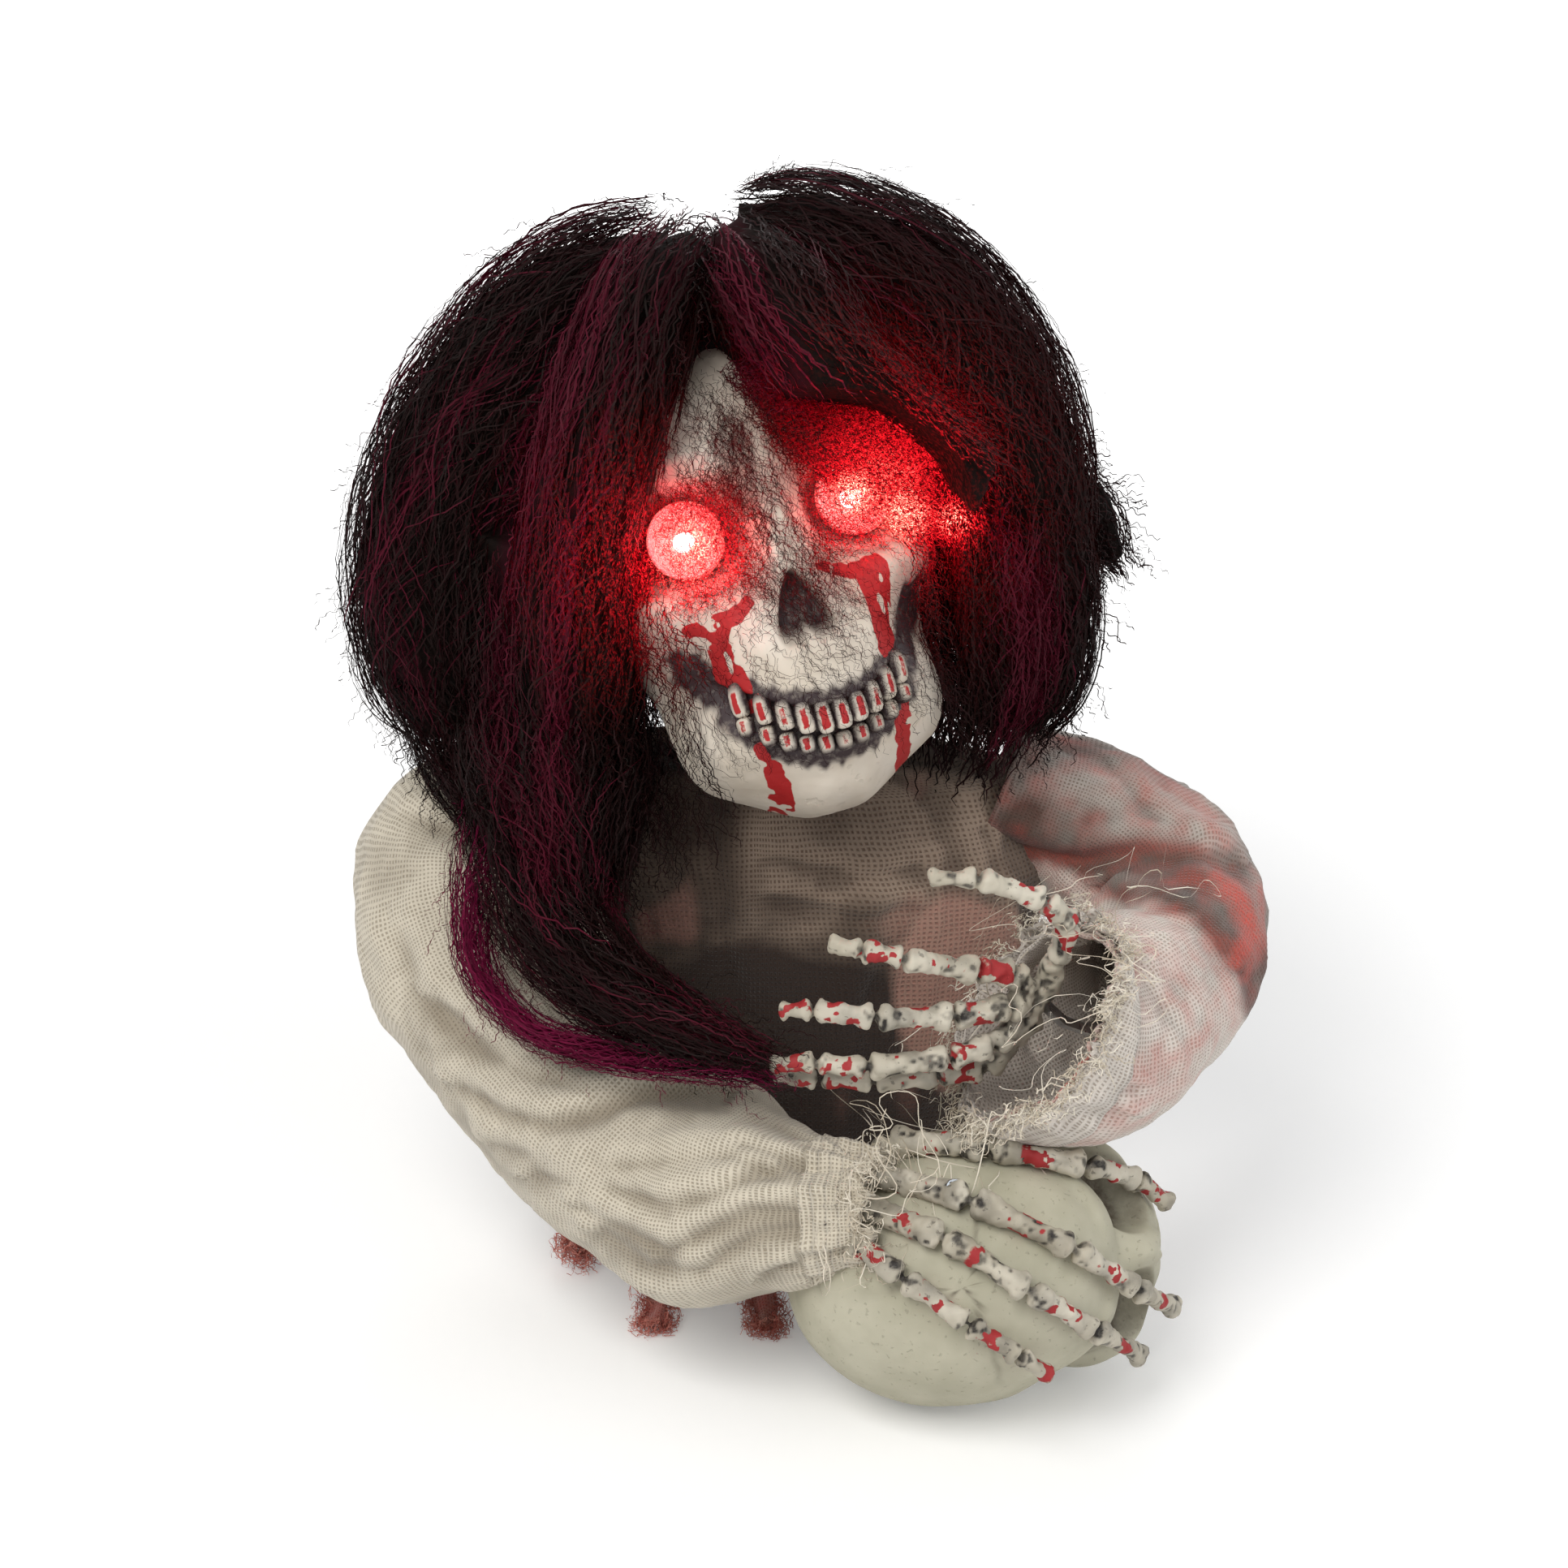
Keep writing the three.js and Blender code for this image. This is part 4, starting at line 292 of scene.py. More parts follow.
def painted_red_glow(made, faint, lit, hottest, power, spread):
    """Adds the lamps' red light to a surface near them as painted light, an emission from the glow kept on
    its points:
    in painted sparks on fibres, smoother on a plain coat, and weaker where the wash is dark."""
    tree = made.node_tree
    shader = tree.nodes["Principled BSDF"]
    glow = stored(tree, "glow")
    sparks = ramp(tree, grain(tree, 0.0013, 2.0, 0.7), 0.44, 0.64, spread, 1.5)
    near = maths(tree, "MULTIPLY", maths(tree, "POWER", glow, 1.5), sparks)
    tone = mixed(tree, ramp(tree, near, 0.0, 0.45), faint, lit)
    tone = mixed(tree, ramp(tree, near, 0.6, 1.2), tone, hottest)
    tree.links.new(tone, shader.inputs["Emission Color"])
    plain = ramp(tree, stored(tree, "wash"), 0.0, 0.8, power, 0.12 * power)
    tree.links.new(maths(tree, "MULTIPLY", near, plain), shader.inputs["Emission Strength"])
    return made


def fibre(name, dark, streak, rough):
    """Crimped acrylic wig fibre: nearly black and matt in the mass, dyed burgundy where the mesh says so,
    its crimps breaking the gloss up into a fine glint."""
    made, tree, shader = finish_material(name, rough, **{"Specular_IOR_Level": 0.08})
    fine = grain(tree, 0.0011, 2.0)
    tone = mixed(tree, stored(tree, "streak"), dark, streak)
    tone = mixed(tree, ramp(tree, fine, 0.35, 0.75, 0.0, 0.25), tone, "#22130E")
    tree.links.new(tone, shader.inputs["Base Color"])
    bumped(tree, shader, fine, 0.0002, 0.6)
    return made


# faint, lit and hottest tone of a fibre near a lamp, its power, and the least strength of a spark
LIT_FIBRE = ("#A00010", "#F01822", "#FFA890", 3.6, 0.05)
# painted red light of the lit eyes on the hair fibres
hair_fibre = painted_red_glow(fibre("crimped_acrylic_fibre", "#0C0604", "#4A0A1E", 0.55), *LIT_FIBRE)
plum_fibre = painted_red_glow(fibre("plum_acrylic_fibre", "#2E0718", "#6E0D36", 0.55), *LIT_FIBRE)
under_fibre = painted_red_glow(fibre("matted_acrylic_fibre", "#080403", "#2A0610", 0.8),
                       "#700008", "#D01018", "#FF6050", 1.1, 0.1)
# painted red light of the lit eyes on the skull's coat
painted_red_glow(skull_paint, "#D01820", "#FF3034", "#FFD0C0", 0.6, 0.5)


def thread_material(name, pale, dark):
    """Loose cotton threads: matt, each a little lighter or darker than the next."""
    made, tree, shader = finish_material(name, 0.9, **{"Specular_IOR_Level": 0.1})
    tree.links.new(mixed(tree, stored(tree, "streak"), pale, dark), shader.inputs["Base Color"])
    return made


cream_thread = thread_material("frayed_cream_cotton", "#E8E1D2", "#B9AB95")
red_thread = thread_material("frayed_red_cotton", "#D9978A", "#A8443A")
brown_thread = thread_material("frayed_brown_cotton", "#6E584B", "#3A2C26")


# Mesh making

def make(name, points, faces, material, uv=None, smooth=True, **fields):
    """A mesh object from points in mm and arrays of faces; fields are numbers kept on the points."""
    mesh = bpy.data.meshes.new(name)
    rows = [row for block in faces for row in block.tolist()]
    mesh.from_pydata((np.asarray(points) * MM).tolist(), [], rows)
    if uv is not None:
        layer = mesh.uv_layers.new(name="threads")
        layer.data.foreach_set("uv", np.asarray(uv, np.float32).ravel())
    for field, values in fields.items():
        store(mesh, field, values)
    mesh.polygons.foreach_set("use_smooth", np.full(len(mesh.polygons), smooth))
    mesh.materials.append(material)
    mesh.update()
    obj = bpy.data.objects.new(name, mesh)
    scene.collection.objects.link(obj)
    return obj


def store(mesh, field, values):
    """Keeps one number per point on the mesh."""
    layer = mesh.attributes.get(field) or mesh.attributes.new(field, "FLOAT", "POINT")
    layer.data.foreach_set("value", np.asarray(values, np.float32).ravel())


def grid_quads(rows, columns, wraps):
    """Quads of a rows by columns grid of points, as point numbers, and each corner's unwrapped (row,
    column)."""
    r, c = np.meshgrid(np.arange(rows - 1), np.arange(columns if wraps else columns - 1), indexing="ij")
    corners = [(r, c), (r, c + 1), (r + 1, c + 1), (r + 1, c)]
    numbers = np.stack([a * columns + b % columns for a, b in corners], -1).reshape(-1, 4)
    places = np.stack([np.stack([a, b], -1) for a, b in corners], 2).reshape(-1, 4, 2)
    return numbers, places


def closed_tube(grid):
    """Points and faces of a tube of rings whose ends are closed by a fan to each end ring's middle."""
    rows, columns = grid.shape[:2]
    points = np.vstack([grid.reshape(-1, 3), grid[0].mean(0), grid[-1].mean(0)])
    quads, _ = grid_quads(rows, columns, True)
    k = np.arange(columns)
    n, last = rows * columns, (rows - 1) * columns
    start = np.stack([np.full(columns, n), (k + 1) % columns, k], -1)
    end = np.stack([np.full(columns, n + 1), last + k, last + (k + 1) % columns], -1)
    p = points
    volume = sum(np.einsum("ij,ij->", p[q[:, 0]], np.cross(p[q[:, i]], p[q[:, i + 1]]))
                 for q in (quads, start, end) for i in range(1, q.shape[1] - 1))
    if volume < 0:
        quads, start, end = quads[:, ::-1], start[:, ::-1], end[:, ::-1]
    return points, [quads, start, end]


def together(parts):
    """One list of points and faces from several."""
    points, faces, base = [], [], 0
    for p, blocks in parts:
        points.append(p)
        faces += [block + base for block in blocks]
        base += len(p)
    return np.vstack(points), faces


def melted(obj, voxel, rounds):
    """Remakes an object in voxels of that many mm and smooths it that many times; gives its new mesh, the
    points in mm and their normals."""
    remesh = obj.modifiers.new("melt", "REMESH")
    remesh.mode, remesh.voxel_size = "VOXEL", voxel * MM
    settle = obj.modifiers.new("settle", "SMOOTH")
    settle.factor, settle.iterations = 0.5, rounds
    mesh = bpy.data.meshes.new_from_object(obj.evaluated_get(bpy.context.evaluated_depsgraph_get()))
    obj.modifiers.clear()
    obj.data = mesh
    both = []
    for kept in ("co", "normal"):
        values = np.zeros(len(mesh.vertices) * 3, np.float32)
        mesh.vertices.foreach_get(kept, values)
        both.append(values.reshape(-1, 3))
    return mesh, both[0] / MM, both[1]


def settled(mesh, points, material):
    """Moves a melted mesh's points to new places in mm and gives it its material, smooth."""
    mesh.vertices.foreach_set("co", (points * MM).astype(np.float32).ravel())
    mesh.polygons.foreach_set("use_smooth", np.full(len(mesh.polygons), True))
    mesh.materials.clear()
    mesh.materials.append(material)


def smooth(low, high, value):
    """0 below low, 1 above high, and an S-shaped curve between."""
    t = np.clip((value - low) / (high - low), 0, 1)
    return t * t * (3 - 2 * t)


def lattice(cells, seed):
    """A fixed random number from 0 to 1 for each whole-number place."""
    c = cells.astype(np.int64)
    n = (c[..., 0] * 73856093) ^ (c[..., 1] * 19349663) ^ (c[..., 2] * 83492791) ^ (seed * 26699)
    n = (n ^ (n >> 13)) & 0xFFFFFFFF
    n = (n * 1274126177) & 0xFFFFFFFF
    return ((n ^ (n >> 16)) & 0xFFFFFF) / 0xFFFFFF


def noise(points, size, seed=0):
    """Random heights from -1 to 1 on a lattice of that size, eased between its places."""
    q = np.asarray(points, float) / size
    cell = np.floor(q)
    f = q - cell
    f = f * f * (3 - 2 * f)
    total = 0
    for corner in np.ndindex(2, 2, 2):
        k = np.array(corner)
        total = total + np.prod(np.where(k, f, 1 - f), -1) * lattice(cell + k, seed)
    return total * 2 - 1


def curve_through(stations, count):
    """Points on a Catmull-Rom curve: each is a cubic blend of the four nearest stations."""
    s = np.asarray(stations, float)
    s = np.vstack([2 * s[0] - s[1], s, 2 * s[-1] - s[-2]])
    t = np.linspace(0, len(s) - 3 - 1e-9, count)
    i = t.astype(int)
    f = (t - i)[:, None]
    a, b, c, d = s[i], s[i + 1], s[i + 2], s[i + 3]
    square, cube = 2 * a - 5 * b + 4 * c - d, 3 * b - a - 3 * c + d
    return 0.5 * (2 * b + (c - a) * f + square * f ** 2 + cube * f ** 3)


def unit(v):
    """Vectors divided by their length."""
    return v / np.maximum(np.linalg.norm(v, axis=-1, keepdims=True), 1e-9)


def carried_frame(path, first=(0.31, 0.2, 0.93)):
    """Tangents of a path, and two directions across it that are carried along without twist."""
    tangents = unit(np.gradient(path, axis=0))
    side = np.empty_like(path)
    current = np.array(first, float)
    for k, tangent in enumerate(tangents):
        current = current - current @ tangent * tangent
        current = current / np.linalg.norm(current)
        side[k] = current
    return tangents, side, np.cross(tangents, side)


def arc(path):
    """Length along a path up to each of its points."""
    return np.concatenate([[0], np.cumsum(np.linalg.norm(np.diff(path, axis=0), axis=1))])


# Skulls

def turn(axis, degrees):
    """A rotation matrix about x, y or z."""
    a = math.radians(degrees)
    c, s = math.cos(a), math.sin(a)
    return np.array({"x": [[1, 0, 0], [0, c, -s], [0, s, c]], "y": [[c, 0, s], [0, 1, 0], [-s, 0, c]],
                     "z": [[c, -s, 0], [s, c, 0], [0, 0, 1]]}[axis])


HEAD_UNIT, HEAD_PLACE = 56.0, np.array([-4, -9.5, 231.8])
HEAD_TURN = turn("x", -25) @ turn("y", -16) @ turn("z", 12)
HELD_UNIT = 41.0
HELD_TURN = turn("x", 66.8) @ turn("y", -16.9) @ turn("z", 96.3)
held_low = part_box("held_skull")[0]
BRAINCASE = ((0, 0.34, 0.4), (1, 1.22, 1.08))
LONG_FACE = ((0, -0.26, -0.48), (0.8, 0.82, 0.93))
SHORT_FACE = ((0, -0.26, -0.22), (0.78, 0.84, 0.8))
# an eye socket's middle and half axes, and half of the mouth's width
SOCKET, SOCKET_AXES = (0.464, -1.02, 0.125), (0.33, 0.38, 0.30)
MOUTH_HALF = 0.52
TEETH = 10
TOOTH_PITCH = 0.0936
# the jaw is set this far to one side
JAW_SHIFT = 0.03
# centre across and up, half width and height, rise; both sides alike
FACE_RISES = [(0.4, 0.5, 0.3, 0.1, 0.07), (0, 0.12, 0.12, 0.2, 0.1), (0.7, -0.22, 0.22, 0.14, 0.12),
              (0.64, -0.62, 0.18, 0.22, -0.12), (0, -0.86, 0.42, 0.26, 0.1)]
JAW_RISES = [(0, -1.3, 0.34, 0.16, 0.08), (0.6, -1.02, 0.22, 0.26, 0.1)]
FINE_RISES = [(0.36, 0.40, 0.26, 0.055, 0.035), (0.0, 0.34, 0.1, 0.09, -0.03),
              (0.42, 0.78, 0.24, 0.18, 0.03), (0.72, -0.14, 0.2, 0.05, 0.04),
              (0.08, -0.08, 0.045, 0.12, 0.03), (0.92, 0.42, 0.16, 0.26, -0.05),
              (0.3, -0.52, 0.1, 0.12, 0.025)]
CHIN_RISES = [(0.13, -1.34, 0.1, 0.07, 0.02), (0.0, -1.2, 0.16, 0.05, -0.015)]


def head_world(points):
    """Points in mm in the head's own frame, carried to the figure's frame."""
    return np.asarray(points) @ HEAD_TURN.T + HEAD_PLACE


def head_local(points):
    """Points of the figure's frame in shares of the head's own frame."""
    return (np.asarray(points) - HEAD_PLACE) @ HEAD_TURN / HEAD_UNIT


# red light of the lamps on hair and bone in the photograph's frame: across, down, radius and strength
GLOWS = [(855, 668, 54, 1.0), (848, 690, 92, 0.78), (820, 695, 150, 0.36), (1052, 610, 48, 1.0),
         (1112, 636, 60, 0.92), (1176, 640, 40, 0.85), (1090, 605, 120, 0.7), (1080, 590, 170, 0.36)]


def glow_at(points):
    """How strongly the lit eyes reach each point: the largest of several bells, on the front of the head
    only."""
    place = seen(points)
    bells = [s * np.exp(-((place[..., 0] - x) ** 2 + (place[..., 1] - y) ** 2) / r ** 2)
             for x, y, r, s in GLOWS]
    return np.max(bells, 0) * smooth(-0.2, -0.55, head_local(points)[..., 1])


def egg_reach(way, centre, axes):
    """Far and near distance along each way from the origin to an ellipsoid, and how far inside it the way
    passes."""
    c, a = np.array(centre, float), np.array(axes, float)
    two = ((way / a) ** 2).sum(-1)
    one = (way * c / a ** 2).sum(-1)
    inside = one ** 2 - two * (((c / a) ** 2).sum() - 1)
    root = np.sqrt(np.maximum(inside, 0))
    return (one + root) / two, (one - root) / two, inside


def skull_reach(way, jaw, fine=True):
    """Distance from the braincase's origin to the skin along each way, in shares of the skull's unit: the
    larger of two ellipsoids with a rounded crease, plus bell-shaped rises on the face, less a hollow for
    the throat."""
    case = egg_reach(way, *BRAINCASE)[0]
    face = egg_reach(way, *(LONG_FACE if jaw else SHORT_FACE))[0]
    reach = np.maximum(case, face) + 0.04 * np.exp(-np.abs(case - face) / 0.16)
    x, y, z = np.abs(way[..., 0]) * reach, way[..., 1] * reach, way[..., 2] * reach
    rises = FACE_RISES + (JAW_RISES if jaw else []) + (FINE_RISES if fine else [])
    rises += CHIN_RISES if fine and jaw else []
    rise = sum(h * np.exp(-((x - x0) / w) ** 2 - ((z - z0) / t) ** 2) for x0, z0, w, t, h in rises)
    throat = smooth(-0.35, 0.25, y) * (1 - smooth(-0.95, -0.45, z)) if jaw else 0
    return reach + rise * smooth(0, 0.45, -y) - 0.45 * throat


def front_depth(x, z, jaw):
    """The y of the skin in front of (x, z), by halving the range 50 times."""
    low, high = np.full(np.shape(x), -1.7), np.full(np.shape(x), -0.05)
    for _ in range(50):
        middle = (low + high) / 2
        p = np.stack([x, middle, z], -1)
        size = np.linalg.norm(p, axis=-1)
        outside = size > skull_reach(p / size[..., None], jaw)
        low, high = np.where(outside, middle, low), np.where(outside, high, middle)
    return (low + high) / 2


def bite(x, jaw):
    """Height of the line between the teeth: a shallow U across the face."""
    low, rise = (-1.04, 0.27) if jaw else (-0.86, 0.17)
    return low + rise * (x / MOUTH_HALF) ** 2


def along(x, z, path):
    """Signed distance in shares to a stroke: a path of (x, z, half width) places; below 0 inside the
    stroke."""
    best = np.full(np.shape(x), 9.0)
    for (x0, z0, w0), (x1, z1, w1) in zip(path[:-1], path[1:]):
        dx, dz = x1 - x0, z1 - z0
        t = np.clip(((x - x0) * dx + (z - z0) * dz) / (dx * dx + dz * dz), 0, 1)
        best = np.minimum(best, np.hypot(x - x0 - t * dx, z - z0 - t * dz) - (w0 + t * (w1 - w0)))
    return best


# strokes of red paint and of brown wash on the face, in shares: across, up and half width
DRIPS = [
    [(-0.60, -0.33, 0.035), (-0.50, -0.35, 0.05), (-0.38, -0.33, 0.045), (-0.29, -0.28, 0.035)],
    [(-0.455, -0.36, 0.05), (-0.46, -0.48, 0.055), (-0.455, -0.60, 0.05), (-0.43, -0.71, 0.055),
     (-0.425, -0.84, 0.05)],
    [(-0.40, -1.03, 0.035), (-0.36, -1.13, 0.045), (-0.325, -1.24, 0.045), (-0.305, -1.37, 0.055)],
    [(0.42, -0.30, 0.10), (0.40, -0.42, 0.085), (0.375, -0.55, 0.065), (0.355, -0.68, 0.05),
     (0.362, -0.77, 0.02)],
    [(0.12, -0.20, 0.02), (0.26, -0.26, 0.035), (0.42, -0.27, 0.04)],
    [(0.385, -0.97, 0.04), (0.375, -1.07, 0.055), (0.368, -1.18, 0.045), (0.385, -1.28, 0.055),
     (0.40, -1.39, 0.03)],
]
SHADES = [
    [(-0.69, -0.43, 0.02), (-0.62, -0.50, 0.055), (-0.56, -0.60, 0.065), (-0.53, -0.71, 0.06),
     (-0.50, -0.81, 0.055), (-0.46, -0.92, 0.03)],
    [(0.72, -0.40, 0.03), (0.66, -0.46, 0.065), (0.58, -0.56, 0.07), (0.53, -0.65, 0.06),
     (0.50, -0.74, 0.055), (0.47, -0.84, 0.03)],
]


def soften(field, times):
    """Averages each value of a wrapped grid with its neighbours, that many times."""
    for _ in range(times):
        field = (2 * field + np.roll(field, 1, 1) + np.roll(field, -1, 1)) / 4
        field[1:-1] = (2 * field[1:-1] + field[:-2] + field[2:]) / 4
    return field


def skull_surface(jaw, columns, bands):
    """A skull as distances along a grid of ways: azimuth, closest together at the front, by polar angle, in
    bands. Sockets, nose and mouth are cut where a way enters an ellipsoid or a painted outline before the
    skin."""
    t = np.linspace(-1, 1, columns, endpoint=False)
    azimuth = math.pi * (0.42 * t + 0.58 * t ** 3)
    polar = np.radians(np.concatenate([np.linspace(a, b, n, endpoint=False) for a, b, n in bands]))
    p, a = np.meshgrid(polar, azimuth, indexing="ij")
    way = np.stack([np.sin(a) * np.sin(p), -np.cos(a) * np.sin(p), np.cos(p)], -1)
    reach = skull_reach(way, jaw)
    skin = way * reach[..., None]
    x, y, z = skin[..., 0], skin[..., 1], skin[..., 2]
    front = smooth(0.1, 0.5, -y)
    wash, blood = np.zeros_like(x), np.zeros_like(x)
    cut = np.zeros_like(x)
    for side in (-1, 1):
        far, near, inside = egg_reach(way, (side * SOCKET[0], SOCKET[1], SOCKET[2]), SOCKET_AXES)
        hit = (inside > 0) & (far > reach)
        depth = np.where(hit, np.clip(reach - near, 0, 0.4), 0)
        cut = np.maximum(cut, depth)
        middle = side * SOCKET[0]
        rim = along(x, z, [(middle - 0.001, 0.12, 0.30), (middle + 0.001, 0.12, 0.30)])
        wash = np.maximum(wash, 0.85 * smooth(0.03, -0.10, rim) * front)
        wash = np.maximum(wash, 0.5 * np.exp(-(rim / 0.035) ** 2) * front * smooth(0.1, -0.1, z))
    lean = JAW_SHIFT if jaw else 0.0
    fall = np.clip((-0.19 - z) / 0.385, 0, 1)
    half = 0.185 * fall ** 0.62 * np.sqrt(np.clip(1 - fall ** 9, 0, 1)) + 1e-4
    spine = 0.05 * np.exp(-((x + lean) / 0.035) ** 2)
    nose = smooth(1.06, 0.84, np.abs(x + lean) / half) * (fall > 0) * (fall < 1)
    nose = nose * smooth(-0.575, -0.54, z - spine)
    cut = np.maximum(cut, 0.17 * nose * front)
    wash = np.maximum(wash, smooth(0.15, 0.8, nose) * front * 0.95)
    line = bite(x, jaw)
    across = smooth(0.56, 0.48, np.abs(x + JAW_SHIFT * jaw)) * front
    mouth = smooth(0.125, 0.07, np.abs(z - line - 0.02)) * across
    cut = np.maximum(cut, 0.07 * mouth)
    jag = 0.03 * np.abs(np.sin(math.pi * x / TOOTH_PITCH)) + 0.02 * noise(skin * 24, 1.0, 15)
    gum_z, low_z = line + (0.222 if jaw else 0.16), line - 0.165
    gums = smooth(0.03, 0.012, z - gum_z + jag) * smooth(-0.03, -0.008, z - low_z - jag)
    wash = np.maximum(wash, 0.95 * gums * across * (1 if jaw else 0.8))
    if jaw:
        ragged = 0.03 * noise(skin * 14, 1.0, 16) + 0.02 * noise(skin * 33, 1.0, 17)
        for path in DRIPS:
            blood = np.maximum(blood, smooth(0.012, -0.010, along(x, z, path) + 0.4 * ragged) * front)
        for path in SHADES:
            wash = np.maximum(wash, smooth(0.03, -0.006, along(x, z, path) + ragged) * front)
        holes = smooth(0.3, 0.5, noise(skin * np.array([22, 22, 9]), 1.0, 4) + 0.4 * noise(skin * 40, 1.0, 5))
        blood = blood * (1 - 0.95 * holes)
    else:
        cheek = along(x, z, [(0.35, -0.3, 0.02), (0.72, -0.34, 0.03)])
        wash = np.maximum(wash, 0.5 * np.exp(-(cheek / 0.03) ** 2) * front)
    wander = noise(skin * 7, 1.0, 8) * 0.05 + noise(skin * 23, 1.0, 9) * 0.025
    crown = np.exp(-((y + 0.12 + wander) / 0.008) ** 2) * smooth(0.9, 1.1, z)
    brow = np.exp(-((x * 0.9 + wander) / 0.007) ** 2) * smooth(0.55, 0.7, z) * (y > -0.1)
    temple = np.exp(-((np.abs(x) - 0.83 + wander * 1.5) / 0.008) ** 2) * front
    temple = temple * smooth(0.1, 0.25, z) * smooth(0.8, 0.6, z)
    seams = np.maximum(np.maximum(crown, brow), temple * 0.7)
    wash = np.maximum(wash, 0.7 * seams)
    cut = soften(cut, 2)
    uneven = 0.010 * noise(skin * 3.1, 1.0, 1) + 0.004 * noise(skin * 9, 1.0, 2)
    uneven = uneven + 0.0015 * noise(skin * 26, 1.0, 3)
    reach = reach + uneven - cut - 0.008 * seams
    return way * reach[..., None], soften(wash, 1), soften(blood, 1)


def skull_piece(name, jaw, unit_mm, rotation, place, columns, bands, material):
    """Places a skull's grid, closes its two poles and keeps its paint."""
    grid, wash, blood = skull_surface(jaw, columns, bands)
    points, faces = closed_tube(grid)
    world = points * unit_mm @ rotation.T + place
    ends = [[f[0].mean(), f[-1].mean()] for f in (wash, blood)]
    fields = {"glow": glow_at(world)} if jaw else {}
    return make(name, world, faces, material, wash=np.append(wash.ravel(), ends[0]),
                blood=np.append(blood.ravel(), ends[1]), **fields)


def tooth_row(jaw, lift, half_height, bow, painted, seed):
    """Teeth in a row along the bite line, each a rounded box, near |x|^4 + |y|^4 + |z|^3 = 1, that narrows
    to the gum, turned to face out of the jaw."""
    local = np.random.default_rng(seed)
    parts, wash, blood = [], [], []
    u, v = np.meshgrid(np.linspace(0.12, math.pi - 0.12, 11), np.linspace(0, 2 * math.pi, 14, endpoint=False),
                       indexing="ij")
    way = np.stack([np.sin(u) * np.cos(v), np.sin(u) * np.sin(v), np.cos(u)], -1)
    size = (np.abs(way[..., 0]) ** 4 + np.abs(way[..., 1]) ** 4 + np.abs(way[..., 2]) ** 3) ** -0.27
    form = way * size[..., None]
    for k in range(TEETH):
        x = (k - (TEETH - 1) / 2) * TOOTH_PITCH - JAW_SHIFT * jaw
        z = bite(np.array(x), jaw) + lift
        y0 = front_depth(np.array(x), np.array(z), jaw)
        aside = 0.02
        y1 = front_depth(np.array(x + aside), np.array(z), jaw)
        tilt = math.atan2(y1 - y0, aside)
        edge = form.copy()
        gumward = edge[..., 2] * np.sign(lift)
        edge[..., 0] *= (TOOTH_PITCH * 0.47) * (1 - 0.14 * gumward) * local.uniform(0.94, 1.05)
        edge[..., 1] *= 0.036
        edge[..., 2] *= half_height * local.uniform(0.94, 1.06)
        edge[..., 1] -= bow * (1 - gumward ** 2) * 0.5
        turned = edge @ turn("z", math.degrees(tilt)).T
        points, faces = closed_tube(turned + np.array([x, y0 + 0.012, z]))
        parts.append((points, faces))
        g = np.append(gumward.ravel(), [1, -1] if lift > 0 else [-1, 1])
        sideways = np.append(np.abs(form[..., 0]).ravel(), [0, 0])
        wash.append(np.maximum(0.95 * smooth(0.4, 0.8, g), 0.95 * smooth(0.62, 0.86, sideways)))
        mark = smooth(0.7, 0.4, sideways) * smooth(-0.95, -0.6, g) * smooth(0.75, 0.4, g) * painted
        blood.append(mark * local.uniform(0.55, 1.0))
    points, faces = together(parts)
    return points, faces, np.concatenate(wash), np.concatenate(blood)


def teeth_piece(name, rows, unit_mm, rotation, place, material):
    """Rows of teeth as one piece in a skull's own place."""
    points, faces = together([(r[0], r[1]) for r in rows])
    return make(name, points * unit_mm @ rotation.T + place, faces, material,
                wash=np.concatenate([r[2] for r in rows]), blood=np.concatenate([r[3] for r in rows]))


# rings of the skulls' grids: from and to a polar angle in degrees, and how many
FACE_BANDS = [(2, 58, 34), (58, 160, 178), (160, 178, 14)]
HELD_BANDS = [(2, 50, 26), (50, 150, 130), (150, 178, 18)]
FACE_COLUMNS, HELD_COLUMNS = 380, 250
skull = skull_piece("skull_shell", True, HEAD_UNIT, HEAD_TURN, HEAD_PLACE, FACE_COLUMNS, FACE_BANDS,
                    skull_paint)
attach(skull, "head")
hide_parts("skull_face", "skull_cranium")
head_rows = [tooth_row(True, lift=0.088, half_height=0.09, bow=0.012, painted=1.0, seed=5),
             tooth_row(True, lift=-0.058, half_height=0.054, bow=0.006, painted=0.75, seed=6)]
head_teeth = teeth_piece("head_teeth", head_rows, HEAD_UNIT, HEAD_TURN, HEAD_PLACE, skull_paint)
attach(head_teeth, "head")

HELD_PLACE = np.array([75.0, -99.0, 0.0])
held_grid = skull_surface(False, HELD_COLUMNS, HELD_BANDS)[0]
lowest = (held_grid.reshape(-1, 3) * HELD_UNIT @ HELD_TURN.T)[:, 2].min()
HELD_PLACE[2] = held_low.z / MM - lowest + 0.4
held = skull_piece("held_skull_shell", False, HELD_UNIT, HELD_TURN, HELD_PLACE, HELD_COLUMNS, HELD_BANDS,
                   held_paint)
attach(held, "torso")
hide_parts("held_skull")
held_rows = [tooth_row(False, lift=0.07, half_height=0.07, bow=0.008, painted=0.0, seed=7)]
held_teeth = teeth_piece("held_teeth", held_rows, HELD_UNIT, HELD_TURN, HELD_PLACE, held_paint)
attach(held_teeth, "torso")


# Eyes

def turned_profile(profile, sides, place):
    """A profile of (radius, forward) turned about the head's -Y axis, its ends closed by small fans."""
    p = np.array(profile, float)
    v = np.linspace(0, 2 * math.pi, sides, endpoint=False)
    grid = np.stack([p[:, :1] * np.cos(v), np.repeat(-p[:, 1:], sides, 1), p[:, :1] * np.sin(v)], -1)
    return closed_tube(head_world(grid + np.array(place)))


